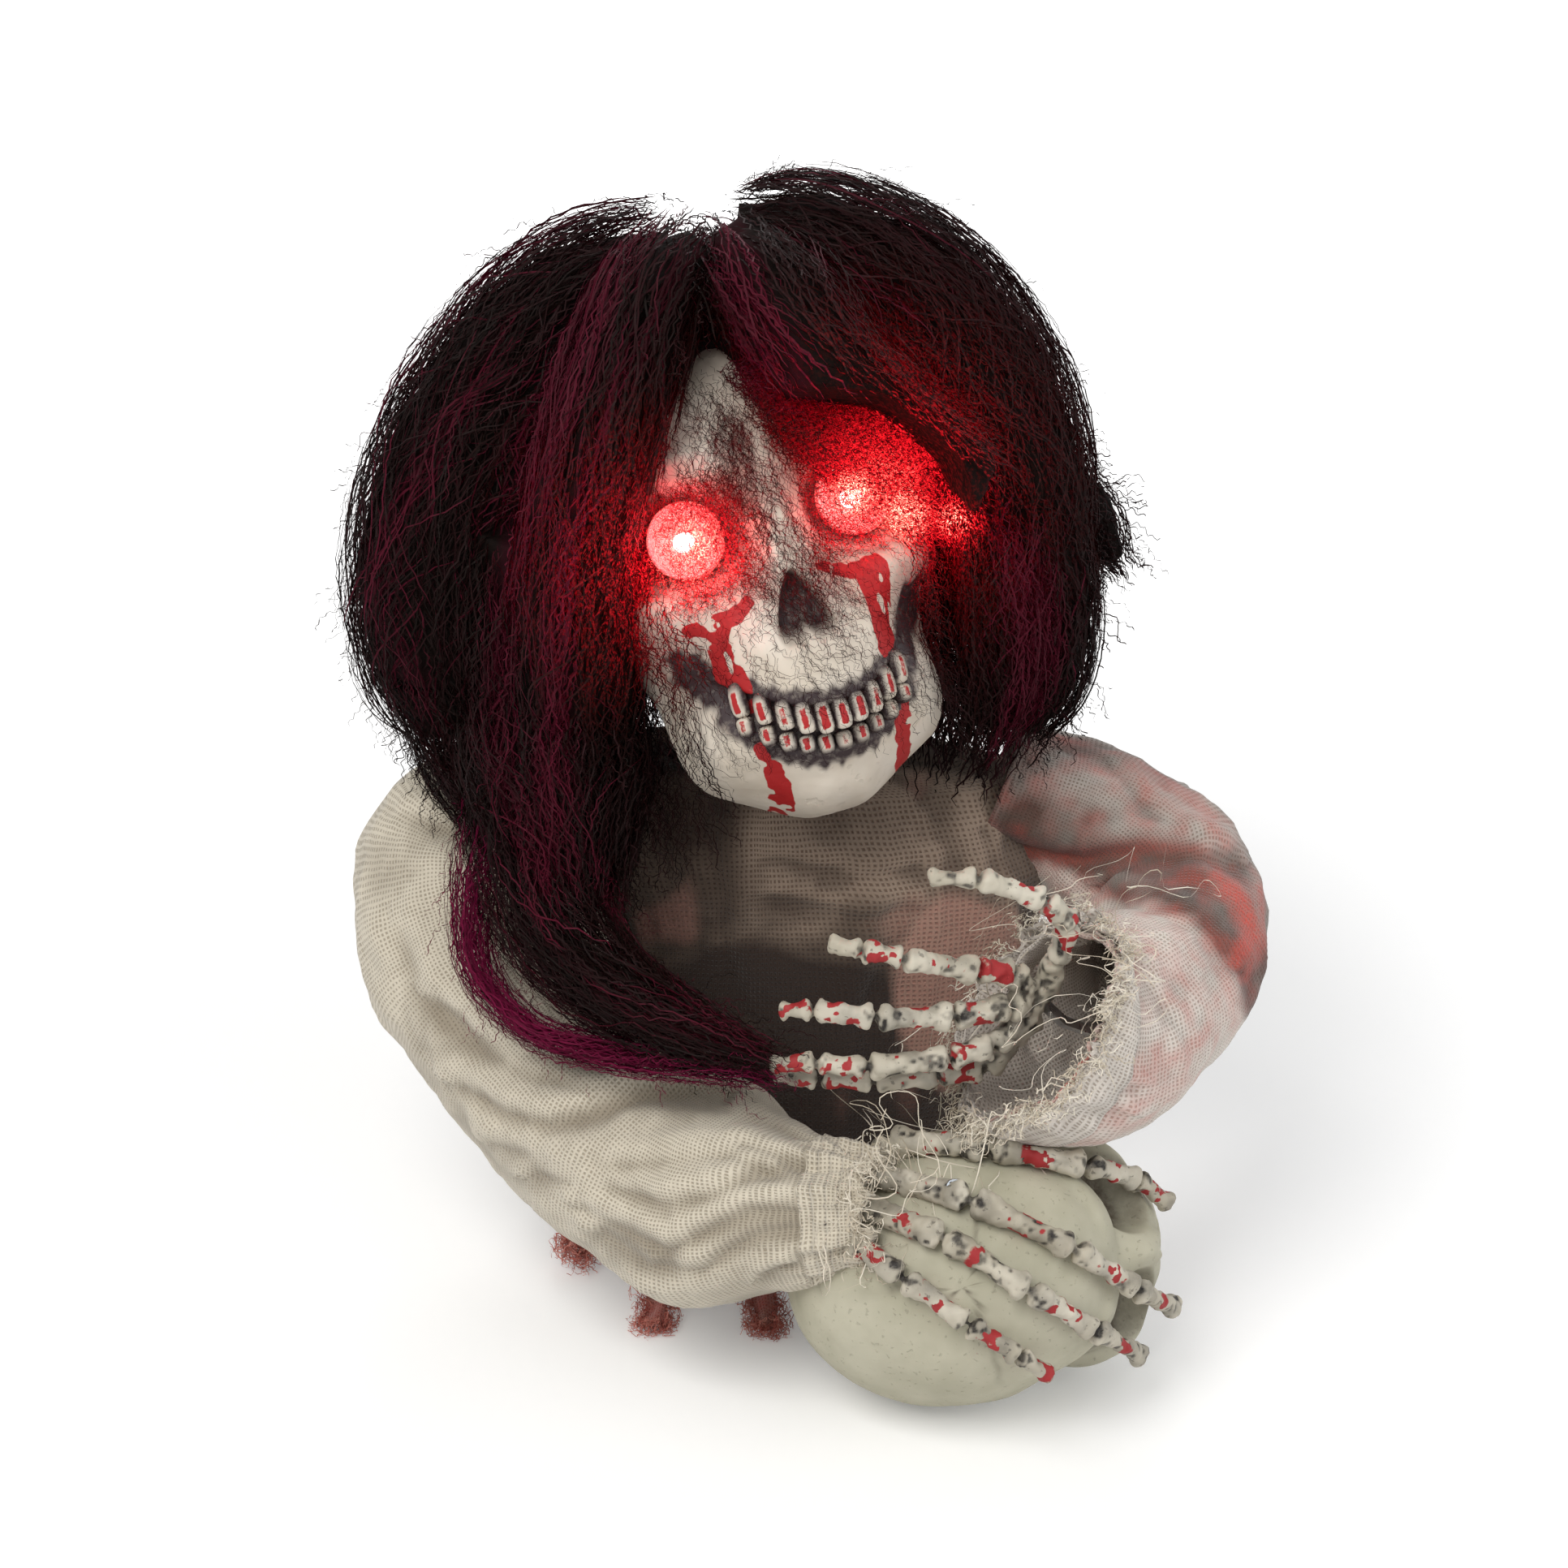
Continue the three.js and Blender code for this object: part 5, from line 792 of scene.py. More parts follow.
def lit_plastic(name, tone, hot, power, rough):
    """Clear red plastic lit from behind by its lamp: it gives its own light, whitest nearest the lamp."""
    made, tree, shader = finish_material(name, rough)
    facets = grain(tree, 0.0016, 4.0, 0.75, 2.5)
    heat = maths(tree, "ADD", stored(tree, "glow"), ramp(tree, facets, 0.35, 0.7, -0.3, 0.45))
    tree.links.new(mixed(tree, ramp(tree, heat, 0.0, 1.0), tone, hot), shader.inputs["Emission Color"])
    tree.links.new(ramp(tree, heat, 0.0, 1.2, power * 0.35, power), shader.inputs["Emission Strength"])
    shader.inputs["Base Color"].default_value = colour(tone)
    return made


cup_plastic = lit_plastic("lit_red_reflector", "#FF3A40", "#FFF0DC", power=1.9, rough=0.25)
lamp_plastic = lit_plastic("lit_lamp_dome", "#FFC8C0", "#FFFFFF", power=4.0, rough=0.15)
# the reflector cup and the lamp in it, as radius and place forward from the back of the socket
CUP = [(0.4, 0.6), (4, 0.5), (7.5, 1.6), (9.6, 3.6), (10.7, 6.0), (11.2, 6.6), (11.6, 6.2), (11.3, 4.2),
       (10.0, 1.6), (7.6, -0.5), (4, -1.2), (0.4, -1.2)]
DOME_RADIUS = 2.5
DOME = [(0.3, -1.2), (2.9, -1.2), (2.9, 0.9), (DOME_RADIUS, 1.0)] + [
    (DOME_RADIUS * math.cos(a), 5.9 + DOME_RADIUS * math.sin(a)) for a in np.linspace(0, 1.45, 7)]
EYE_ACROSS, EYE_UP = 26, 7
SOCKET_BACK = (SOCKET[1] + 0.34) * HEAD_UNIT
for side, label in ((-1, "right"), (1, "left")):
    place = (side * EYE_ACROSS, SOCKET_BACK, EYE_UP)
    points, faces = turned_profile(CUP, 40, place)
    near = np.linalg.norm(points - head_world([np.array(place) + np.array([0, -7, 0])]), axis=1)
    piece = make(label + "_eye_reflector", points, faces, cup_plastic, glow=np.exp(-(near / 8.0) ** 2))
    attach(piece, "head")
    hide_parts(label + "_eye_cup")
    points, faces = turned_profile(DOME, 24, place)
    piece = make(label + "_lamp_dome", points, faces, lamp_plastic, glow=np.full(len(points), 1.0))
    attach(piece, "head")
    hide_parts(label + "_led")
    data = bpy.data.lights.new(label + "_eye_light", "POINT")
    data.energy, data.color, data.shadow_soft_size = 0.07, (1.0, 0.05, 0.07), 0.004
    light = bpy.data.objects.new(label + "_eye_light", data)
    light.location = head_world([np.array(place) + np.array([0, -16, 0])])[0] * MM
    scene.collection.objects.link(light)
    light.parent = frame["bodies"]["head"]


# Hands

ARM = 100.0
LEFT_WRIST, RIGHT_WRIST = np.array([83.3, -96, 125.6]), np.array([27.0, -124, 75])
LEFT_FINGERS = [
    [(-.1, -.08, .14), (-.2, -.14, .18), (-.42, -.22, .26), (-.54, -.22, .29), (-.64, -.2, .3)],
    [(-.1, -.1, .04), (-.27, -.16, .04), (-.5, -.24, .08), (-.68, -.23, .1), (-.78, -.2, .08)],
    [(-.15, -.12, -.08), (-.28, -.17, -.09), (-.52, -.23, -.09), (-.67, -.22, -.08), (-.81, -.19, -.1)],
    [(-.17, -.07, -.19), (-.31, -.1, -.19), (-.5, -.12, -.2), (-.66, -.12, -.19), (-.8, -.11, -.19)],
    [(.03, -.04, .17), (.07, -.08, .3), (-.01, -.13, .4), (-.21, -.18, .5), (-.36, -.18, .5)]]
# azimuth and elevation in degrees and distance in shares, from the held skull's middle
RIGHT_FINGERS = [
    [(-77, 50, 1.45), (-24, 67, 1.33), (55, 57, 1.2), (92, 35, 1.14), (98, 16, 1.27)],
    [(-68, 40, 1.57), (-20, 47, 1.48), (21, 33, 1.34), (46, 12, 1.25), (80, -14, 1.3)],
    [(-57, 34, 1.62), (-25, 35, 1.56), (3, 23, 1.46), (25, 6, 1.31), (60, -24, 1.24)],
    [(-52, 26, 1.7), (-33, 23, 1.64), (-14, 14, 1.56), (0, 4, 1.45), (10, -6, 1.36)]]


def round_the_skull(azimuth, elevation, distance):
    """A place round the held skull from its azimuth, elevation and distance."""
    a, e = math.radians(azimuth), math.radians(elevation)
    way = np.array([math.cos(e) * math.sin(a), -math.cos(e) * math.cos(a), math.sin(e)])
    return np.array([75, -99, HELD_PLACE[2]]) + way * distance * HELD_UNIT


def bone(start, end, head, waist, seed):
    """One bone: rings along a slightly bowed line, thick at both heads and thin at the waist, its radius
    head * (waist + (1 - waist) * bells at the ends), lumped by noise."""
    t = np.linspace(0, 1, 19)
    axis = end - start
    length = np.linalg.norm(axis)
    line = start + t[:, None] * axis
    bells = np.exp(-((t - 0.06) / 0.17) ** 2) + 0.92 * np.exp(-((t - 0.95) / 0.15) ** 2)
    radius = head * (waist + (1 - waist) * bells)
    cap = np.sqrt(np.clip(1 - np.abs(2 * t - 1) ** (2 * max(length / head, 4)), 0.02, 1))
    _, side, up = carried_frame(line)
    v = np.linspace(0, 2 * math.pi, 14, endpoint=False)
    knuckles = 1 + 0.16 * np.cos(2 * v)[None] * np.clip(bells, 0, 1)[:, None]
    ring = side[:, None] * np.cos(v)[None, :, None] + up[:, None] * np.sin(v)[None, :, None]
    grid = line[:, None] + ring * (radius * cap)[:, None, None] * knuckles[..., None]
    grid = grid + ring * (0.55 * noise(grid, 3.4, seed) + 0.3 * noise(grid, 1.5, seed + 1))[..., None]
    return closed_tube(grid)


def bone_hand(name, wrist, fingers, head, seed):
    """All bones of a hand, melted together by a fine voxel grid, then lumped a little and given its
    paint."""
    parts, joints, shafts = [], [], []
    for number, joints_of in enumerate(fingers):
        path = [np.array(j) for j in joints_of]
        for k in range(len(path) - 1):
            size = head * (1.0, 0.95, 0.86, 0.78)[k] * (0.9 if number == 3 else 1)
            inward = unit(path[k + 1] - path[k])
            parts.append(bone(path[k] + inward * 0.4, path[k + 1] - inward * 0.4, size,
                              (0.8, 0.72, 0.7, 0.66)[k], seed + number * 7 + k))
            joints.append(path[k])
            shafts.append(path[k] * 0.5 + path[k + 1] * 0.5)
        parts.append(bone(wrist + (path[0] - wrist) * 0.12, path[0], head * 1.05, 0.8, seed + 90 + number))
        joints.append(wrist + (path[0] - wrist) * 0.5)
    points, faces = together(parts)
    obj = make(name, points, faces, hand_paint)
    applied, p, normal = melted(obj, voxel=0.62, rounds=2)
    rough = 0.5 * noise(p, 3.0, seed + 11) + 0.35 * noise(p, 1.5, seed + 12)
    p = p + normal * (rough + 0.1)[:, None]
    settled(applied, p, hand_paint)
    near = np.min([np.linalg.norm(p - j, axis=1) for j in joints], axis=0)
    middle = np.min([np.linalg.norm(p - s, axis=1) for s in shafts], axis=0)
    below = smooth(0.3, -0.9, noise(p, 5.0, seed) + (p[:, 2] - wrist[2]) * 0.004)
    knuckles = np.exp(-(near / 2.2) ** 2) + 0.4 * noise(p, 2.0, seed + 5)
    creases = smooth(-0.12, -0.42, rough) + smooth(0.3, 0.9, knuckles)
    store(applied, "wash", np.clip(0.85 * creases + 0.45 * below, 0, 1) * 0.9)
    patch = noise(p, 5.5, seed + 3) + 0.8 * noise(p, 2.0, seed + 4) + 0.3 * noise(p, 0.9, seed + 6)
    store(applied, "blood", smooth(0.05, 0.55, patch) * smooth(10.0, 4.0, middle) * 0.85)
    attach(obj, "torso")
    return obj


left_fingers = [[LEFT_WRIST + ARM * np.array(joint) for joint in finger] for finger in LEFT_FINGERS]
left_hand = bone_hand("left_hand_bones", LEFT_WRIST, left_fingers, head=4.3, seed=100)
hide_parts("left_hand")
right_fingers = [[round_the_skull(*joint) for joint in finger] for finger in RIGHT_FINGERS]
right_hand = bone_hand("right_hand_bones", RIGHT_WRIST, right_fingers, head=4.4, seed=200)
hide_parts("right_hand")


# Gauze clothes

RIGHT_CURVE = [(-.04, .04, .02, .25), (-.36, .14, -.09, .37), (-.43, .13, -.24, .4), (-.35, .03, -.35, .38),
               (-.24, -.09, -.36, .37), (-.13, -.13, -.32, .35), (-.04, -.12, -.16, .25),
               (.08, -.02, -.02, .15)]
LEFT_CURVE = [(.04, .04, .03, .23), (.32, .16, -.05, .27), (.54, .14, -.16, .29), (.5, 0, -.23, .28),
              (.32, -.12, -.21, .3), (.11, -.16, -.16, .33), (-.02, -.04, -.04, .34)]
# folds on the front as the photograph's frame shows them: depth in mm, half width, and places across and down
RIGHT_FOLDS = [
    (1.8, 14, [(455, 985), (500, 1005), (540, 1022), (590, 1040)]),
    (1.6, 16, [(488, 1150), (520, 1230), (580, 1275), (660, 1300), (740, 1312)]),
    (2.2, 15, [(530, 1240), (594, 1299), (653, 1328), (711, 1339), (769, 1333)]),
    (3.6, 16, [(565, 1345), (612, 1374), (670, 1386), (722, 1374), (792, 1345), (862, 1331), (943, 1339),
               (984, 1380)]),
    (2.2, 14, [(600, 1415), (682, 1438), (769, 1438), (827, 1427), (897, 1421), (943, 1438), (1001, 1427)]),
    (2.4, 13, [(655, 1455), (746, 1467), (815, 1485), (873, 1473), (932, 1438)]),
    (3.4, 14, [(715, 1492), (780, 1531), (815, 1549), (862, 1525), (920, 1496), (1001, 1490)]),
    (2.8, 14, [(734, 1530), (792, 1572), (862, 1572), (920, 1531), (990, 1514)]),
    (2.0, 9, [(914, 1405), (975, 1424), (1036, 1450)]),
    (1.8, 9, [(940, 1580), (985, 1560), (1040, 1545)]),
]
LEFT_FOLDS = [
    (4.4, 16, [(1180, 1010), (1250, 1055), (1330, 1065), (1400, 1050), (1470, 1045), (1525, 1055)]),
    (2.6, 13, [(1365, 1100), (1425, 1115), (1475, 1140), (1520, 1180)]),
    (2.0, 11, [(1240, 1272), (1300, 1262), (1350, 1266)]),
    (2.4, 12, [(1210, 1362), (1300, 1382), (1380, 1378)]),
    (1.8, 10, [(1285, 1370), (1340, 1370), (1400, 1345)]),
    (1.6, 12, [(1380, 950), (1420, 1000), (1470, 1030)]),
    (1.4, 9, [(1320, 1130), (1370, 1190), (1385, 1260)]),
    (1.2, 8, [(1400, 1180), (1440, 1240), (1470, 1290)]),
]
GOWN_FOLDS = [
    (2.2, 16, [(870, 1000), (880, 1100), (900, 1200), (930, 1300)]),
    (1.6, 12, [(960, 1060), (1050, 1085), (1130, 1070)]),
    (1.4, 11, [(950, 1110), (1050, 1135), (1120, 1120)]),
    (1.8, 13, [(1150, 960), (1190, 1010), (1240, 1040)]),
    (1.4, 10, [(1100, 1160), (1070, 1230), (1080, 1320)]),
]
# red dye that has soaked into the pale sleeve: its strength, and a stroke of (across, down, half width)
STAINS = [
    (0.9, [(1288, 1345, 12), (1312, 1330, 24), (1342, 1312, 14), (1356, 1290, 4)]),
    (0.42, [(1400, 1167, 3), (1397, 1210, 6), (1388, 1252, 3)]),
    (0.4, [(1370, 1312, 8), (1418, 1332, 10)]),
    (0.4, [(1256, 1272, 5), (1302, 1268, 7), (1344, 1284, 6)]),
    (0.34, [(1300, 1262, 8), (1345, 1228, 4)]),
    (0.95, [(1500, 1082, 6), (1528, 1108, 13), (1540, 1150, 12), (1524, 1186, 5)]),
    (0.7, [(1558, 1095, 7), (1556, 1150, 8), (1534, 1206, 4)]),
    (0.5, [(1494, 1262, 4), (1478, 1284, 4)]),
    (0.45, [(1412, 938, 7), (1470, 985, 9), (1512, 1040, 9)]),
    (0.4, [(1190, 1034, 6), (1260, 1052, 10), (1330, 1056, 9), (1400, 1042, 9), (1490, 1046, 6)]),
    (0.4, [(1350, 1098, 5), (1420, 1116, 6), (1470, 1136, 4)]),
    (0.3, [(1462, 1180, 3), (1480, 1235, 4)]),
    (0.3, [(1460, 1330, 9), (1420, 1352, 7)]),
]
# the line on the pale sleeve above which painted brown shade begins
SHADED_ARM = [(1120, 1040), (1180, 1072), (1290, 1062), (1350, 1100), (1425, 1118), (1470, 1140),
              (1508, 1178), (1535, 1260)]


def ridges(value):
    """Soft troughs and sharper crests from a wave's angle."""
    return 1 - np.abs(np.sin(value / 2)) * 2


def beside(place, path):
    """Distance of places to a path, and the same with a minus sign on the side above it."""
    best = np.full(place.shape[:-1], 1e9)
    sign = np.ones_like(best)
    for (x0, y0), (x1, y1) in zip(path[:-1], path[1:]):
        dx, dy = x1 - x0, y1 - y0
        px, py = place[..., 0] - x0, place[..., 1] - y0
        t = np.clip((px * dx + py * dy) / (dx * dx + dy * dy), 0, 1)
        away = np.hypot(px - t * dx, py - t * dy)
        sign = np.where(away < best, np.sign(dx * py - dy * px), sign)
        best = np.minimum(best, away)
    return best, best * sign


def folded(points, out, folds):
    """Height in mm of folds on the side that faces the camera: a V-shaped trough on each path and a round
    ridge above it."""
    place = seen(points)
    toward = unit(np.array(camera.location) / MM - points)
    facing = smooth(0.05, 0.4, (out * toward).sum(-1))
    height = np.zeros(place.shape[:-1])
    for deep, wide, path in folds:
        away, side = beside(place, path)
        ridge = np.exp(-((side + 1.7 * wide) / (1.2 * wide)) ** 2) * smooth(4 * wide, 2 * wide, away)
        height += deep * (0.6 * ridge - np.exp(-(away / wide) ** 1.3))
    return height * facing


def cloth_uv(grid, wraps):
    """UV in mm for each corner of a cloth grid: length round the ring and length along the rows."""
    rows, columns = grid.shape[:2]
    closed = np.concatenate([grid, grid[:, :1]], 1) if wraps else grid
    across = np.cumsum(np.linalg.norm(np.diff(closed, axis=1), axis=2), axis=1).mean(0)
    across = np.concatenate([[0], across])
    down = np.concatenate([[0], np.cumsum(np.linalg.norm(np.diff(grid, axis=0), axis=2).mean(1))])
    numbers, places = grid_quads(rows, columns, wraps)
    uv = np.stack([across[places[..., 1]], down[places[..., 0]]], -1)
    return numbers, uv


def cloth(name, grid, centre_line, material, wraps=True, thickness=0.5, joined=False, **fields):
    """A sheet with its thread UV and a thickness on its inner side; its faces are turned to point away from
    the middle line. Where it's joined, the last row is the first one again."""
    numbers, uv = cloth_uv(grid, wraps)
    p = grid.reshape(-1, 3)[numbers]
    normal = np.cross(p[:, 2] - p[:, 0], p[:, 3] - p[:, 1])
    if np.einsum("ij,ij->", normal, p.mean(1) - centre_line[numbers[:, 0] // grid.shape[1]]) < 0:
        numbers, uv = numbers[:, ::-1], uv[:, ::-1]
    if joined:
        grid = grid[:-1]
        numbers = numbers % (grid.shape[0] * grid.shape[1])
    obj = make(name, grid.reshape(-1, 3), [numbers], material, uv=uv.reshape(-1, 2), **fields)
    wall = obj.modifiers.new("wall", "SOLIDIFY")
    wall.thickness, wall.offset = thickness * MM, -1
    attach(obj, "torso")
    return obj


def threads(name, starts, ways, lengths, width, material, curl=1.0, steps=14, seed=1, drop=0.35):
    """Loose threads: flat ribbons that leave their starts along their ways, wander by sums of sines, and
    droop."""
    local = np.random.default_rng(seed)
    n = len(starts)
    t = np.linspace(0, 1, steps)[None, :, None]
    side = unit(np.cross(ways, local.normal(size=(n, 3))))
    other = np.cross(ways, side)
    lengths = np.asarray(lengths)[:, None, None]
    path = starts[:, None] + ways[:, None] * lengths * t
    for reach, turns in ((0.22, 0.9), (0.1, 2.1), (0.045, 4.6)):
        for across in (side, other):
            phase = local.uniform(0, WHOLE_TURN, (n, 1, 1))
            wave = np.sin(WHOLE_TURN * turns * t * local.uniform(0.7, 1.3, (n, 1, 1)) + phase) - np.sin(phase)
            path = path + across[:, None] * wave * reach * lengths * curl
    path[..., 2] -= (drop * lengths * t ** 2)[..., 0]
    path[..., 2] = np.maximum(path[..., 2], 0.7)
    tangent = unit(np.gradient(path, axis=1))
    flat = unit(np.cross(tangent, local.normal(size=(n, 1, 3))))
    half = width / 2 * (1 - 0.4 * t)
    both = np.stack([path - flat * half, path + flat * half], 2)
    points = both.reshape(-1, 3)
    k = np.arange(steps - 1) * 2
    quads = np.stack([k, k + 2, k + 3, k + 1], -1)[None] + (np.arange(n) * steps * 2)[:, None, None]
    shade = np.repeat(local.uniform(0, 0.8, n), steps * 2)
    obj = make(name, points, [quads.reshape(-1, 4)], material, smooth=False, streak=shade)
    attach(obj, "torso")
    return obj


def sleeve_grid(curve, shoulder, wrist, rows, sides, seed, folds):
    """A sleeve: rings of a growing and shrinking radius along a curve from shoulder to wrist. Folds laid on
    the front, long pleats, slanting drag lines and crumples elsewhere raise and sink the cloth."""
    table = np.array(curve)
    part = np.linspace(0, 1, len(table))[:, None]
    stations = np.hstack([shoulder * (1 - part) + wrist * part + table[:, :3] * ARM, table[:, 3:] * ARM])
    fine = curve_through(stations, rows)
    line, radius = fine[:, :3], fine[:, 3]
    _, side, up = carried_frame(line)
    v = np.linspace(0, 2 * math.pi, sides, endpoint=False)
    ring = side[:, None] * np.cos(v)[None, :, None] + up[:, None] * np.sin(v)[None, :, None]
    share = np.linspace(0, 1, rows)[:, None]
    grid = line[:, None] + ring * radius[:, None, None]
    warp = 1.2 * noise(grid, 30.0, seed) + 0.5 * noise(grid, 12.0, seed + 1)
    pleats = ridges(5 * v[None] + 5 * share + 2.4 * warp)
    drag = ridges(arc(line)[:, None] / 7.5 + 1.5 * np.sin(v)[None] + 2.6 * warp)
    gathers = ridges(22 * v[None] + 3 * warp) * smooth(0.82, 0.98, share)
    laid = folded(grid, ring, folds)
    height = 0.75 * pleats + 0.7 * drag + 0.9 * gathers + 1.2 * noise(grid, 17.0, seed + 2)
    height += 0.55 * noise(grid, 6.0, seed + 3) + 0.25 * noise(grid, 2.6, seed + 4) + laid
    height = np.clip(height * smooth(0, 0.05, share), -4.5, 3.0)
    grid = grid + ring * (height - 0.8)[..., None]
    tangent = unit(line[-1] - line[-3])
    ragged = 2.4 * noise(grid[-1], 2.2, seed + 7) + 2.0 * noise(grid[-1], 6.0, seed + 8)
    grid[-1] += tangent * ragged[:, None]
    return grid, line, ring, height


RUFFLE_ROWS, LOOPS = 22, 22


def cuff(label, grid, line, ring, material, thread, seed, begins, flare, count, reach):
    """A torn double edge round the wrist: a ruffled strip that stands off the last rings, with short fringe
    and a few long looping threads."""
    rows = grid.shape[0]
    first = int(rows * begins)
    pick = np.linspace(first, rows - 1, RUFFLE_ROWS).astype(int)
    share = np.linspace(0, 1, RUFFLE_ROWS)[:, None]
    body = grid[pick]
    ruffle = ridges(np.linspace(0, 2 * math.pi * 13, grid.shape[1])[None] + 3 * noise(body, 9.0, seed))
    stand_off = 0.9 + flare * share * (0.55 + 0.45 * ruffle) + 0.5 * noise(body, 3.0, seed)
    strip = body + ring[pick] * stand_off[..., None]
    tangent = unit(line[-1] - line[-4])
    strip[-1] += tangent * (3.2 * noise(strip[-1], 2.4, seed + 1))[:, None]
    patchy_tone = 0.5 + 0.5 * noise(strip, 5.0, seed + 2)
    edge = cloth(label + "_cuff_ruffle", strip, line[pick], material, dye=(0.25 * patchy_tone).ravel(),
                 blood=np.zeros(strip.shape[:2]).ravel())
    local = np.random.default_rng(seed)
    column = local.integers(0, grid.shape[1], count)
    row = -1 - (local.uniform(0, 1, count) ** 2 * 9).astype(int)
    starts = strip[row, column]
    out = ring[pick][row, column]
    ways = unit(tangent + 0.7 * out + 0.55 * local.normal(size=(count, 3)))
    short = threads(label + "_cuff_fringe", starts, ways, local.uniform(2.5, reach, count), 0.42, thread,
                    seed=seed)
    column = local.integers(0, grid.shape[1], LOOPS)
    ways = unit(tangent + 0.6 * ring[-1, column] + 0.5 * local.normal(size=(LOOPS, 3)))
    loops = threads(label + "_cuff_loops", strip[-3, column], ways, local.uniform(14, 34, LOOPS), 0.42,
                    thread, curl=2.0, steps=40, seed=seed + 3, drop=0.2)
    return edge, strip, [short, loops]


SHOULDERS = np.array([[-70.0, 0, 146], [70.0, 0, 146]])
right_grid, right_line, right_ring, sunk = sleeve_grid(
    RIGHT_CURVE, SHOULDERS[0], RIGHT_WRIST, rows=166, sides=140, seed=11, folds=RIGHT_FOLDS)
# painted shade: the cloth darker in the troughs of its folds
shadow = smooth(0.4, -3.2, sunk)
right_sleeve = cloth("right_sleeve_gauze", right_grid, right_line, cream_gauze,
                     dye=(0.75 * shadow + 0.12 * noise(right_grid, 30.0, 41)).ravel(),
                     blood=np.zeros(sunk.size))
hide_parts("right_sleeve")
right_edge, right_strip, right_fray = cuff(
    "right", right_grid, right_line, right_ring, cream_gauze, cream_thread,
    seed=51, begins=0.9, flare=3.2, count=260, reach=9)

left_grid, left_line, left_ring, sunk = sleeve_grid(
    LEFT_CURVE, SHOULDERS[1], LEFT_WRIST, rows=156, sides=140, seed=23, folds=LEFT_FOLDS)
place = seen(left_grid)
_, below = beside(place, SHADED_ARM)
# painted shade over the upper arm above that line, a little lighter far above it
arm_shade = smooth(8, -14, below + 6 * noise(left_grid, 6.0, 43)) * (0.8 + 0.25 * noise(left_grid, 16.0, 44))
arm_shade *= 1 - 0.3 * smooth(-50, -110, below)
soaked = np.max([s * smooth(16, -9, along(place[..., 0], place[..., 1], path) + 6 * noise(left_grid, 5.0, 45))
                 for s, path in STAINS], 0)
front = smooth(0.0, 0.25, (left_ring * unit(np.array(camera.location) / MM - left_grid)).sum(-1))
# the sleeve's tint is that painted shade, with painted shade in the troughs of the folds added
left_sleeve = cloth("left_sleeve_gauze", left_grid, left_line, pale_gauze,
                    dye=np.clip(arm_shade + 0.3 * smooth(0, -3, sunk), 0, 1).ravel(),
                    blood=(soaked * front).ravel())
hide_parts("left_sleeve")
left_edge, left_strip, left_fray = cuff(
    "left", left_grid, left_line, left_ring, pale_gauze, cream_thread,
    seed=61, begins=0.86, flare=3.5, count=620, reach=10)

HEM_HALF, SHOULDER_HALF = 50, 70
GOWN_FOOT, GOWN_HEIGHT = 5, 159
# height up the gown; right and left half widths as shares of the hem and of the shoulder frame; depth and
# set-back as shares of the hem
GOWN = [(0, 1.1, 0, 1.3, 0, .82, .06), (.35, 1.1, 0, 1.62, 0, .8, .05), (.66, 1.12, 0, 1.28, .36, .79, .02),
        (.78, .7, .43, .7, .82, .74, 0), (.88, .3, .94, .3, 1.02, .6, .02),
        (.95, .22, 1.01, .22, 1.01, .46, .05), (.99, .1, .79, .1, .79, .42, .05),
        (1, 0, .44, 0, .44, .42, .05)]


def gown_grid(rows, sides):
    """The gown: superellipse rings from the hem up to the neck, in deep hanging folds that die out at the
    shoulders, with the front's own gathers laid on it."""
    table = np.array(GOWN)
    height = np.concatenate([np.linspace(0, 0.75, rows * 2 // 3, endpoint=False),
                             np.linspace(0.75, 1, rows - rows * 2 // 3)])
    right, left, deep, back = (np.interp(height, table[:, 0], values)[:, None] for values in (
        table[:, 1] * HEM_HALF + table[:, 2] * SHOULDER_HALF,
        table[:, 3] * HEM_HALF + table[:, 4] * SHOULDER_HALF, table[:, 5] * HEM_HALF, table[:, 6] * HEM_HALF))
    v = np.linspace(0, 2 * math.pi, sides, endpoint=False)[None]
    power = (2 / (4 - 1.8 * height))[:, None]
    level = GOWN_FOOT + height * GOWN_HEIGHT
    x = np.sign(np.cos(v)) * np.abs(np.cos(v)) ** power * np.where(np.cos(v) > 0, left, right)
    y = np.sign(np.sin(v)) * np.abs(np.sin(v)) ** power * deep + back
    grid = np.stack([x, y, np.repeat(level[:, None], sides, 1)], -1)
    out = unit(grid * np.array([1, 1, 0.0]))
    warp = noise(grid * np.array([1, 1, 0.35]), 26.0, 61)
    folds = ridges(9 * v + 2.5 * warp) * 1.6 + ridges(23 * v + 4 * warp) * 0.7
    loose = (1 - smooth(0.7, 0.95, height))[:, None]
    lift = folds * (0.4 + 0.8 * loose) + 1.1 * noise(grid, 14.0, 62) + 0.6 * noise(grid, 5.0, 63)
    lift += folded(grid, out, GOWN_FOLDS)
    grid = grid + out * np.clip(lift, -1.6, 2.8)[..., None]
    grid[0, :, 2] += 1.5 * noise(grid[0] * 1.0, 3.0, 64) - 0.5
    grid[..., 2] = np.maximum(grid[..., 2], 1.0)
    return grid, np.stack([np.zeros(rows), back[:, 0], level], -1), lift


gown_points, gown_line, lift = gown_grid(rows=118, sides=210)
place = seen(gown_points)
toward = smooth(20, -15, gown_points[..., 1])
drift = noise(gown_points, 14.0, 65)
# painted shade: the front darker lower down, in the shadow of the head and the arms
dark = smooth(1060, 1230, place[..., 1] + 45 * drift) * toward
# painted shade: a dark upright strip down the left of the front
side_strip = smooth(1010, 880, place[..., 0] + 30 * drift) * toward
# patchy wear, and painted shade in the troughs of the folds
patchy_tone = 0.24 + 0.24 * noise(gown_points, 30.0, 66) + 0.4 * smooth(0.4, -1.4, lift)
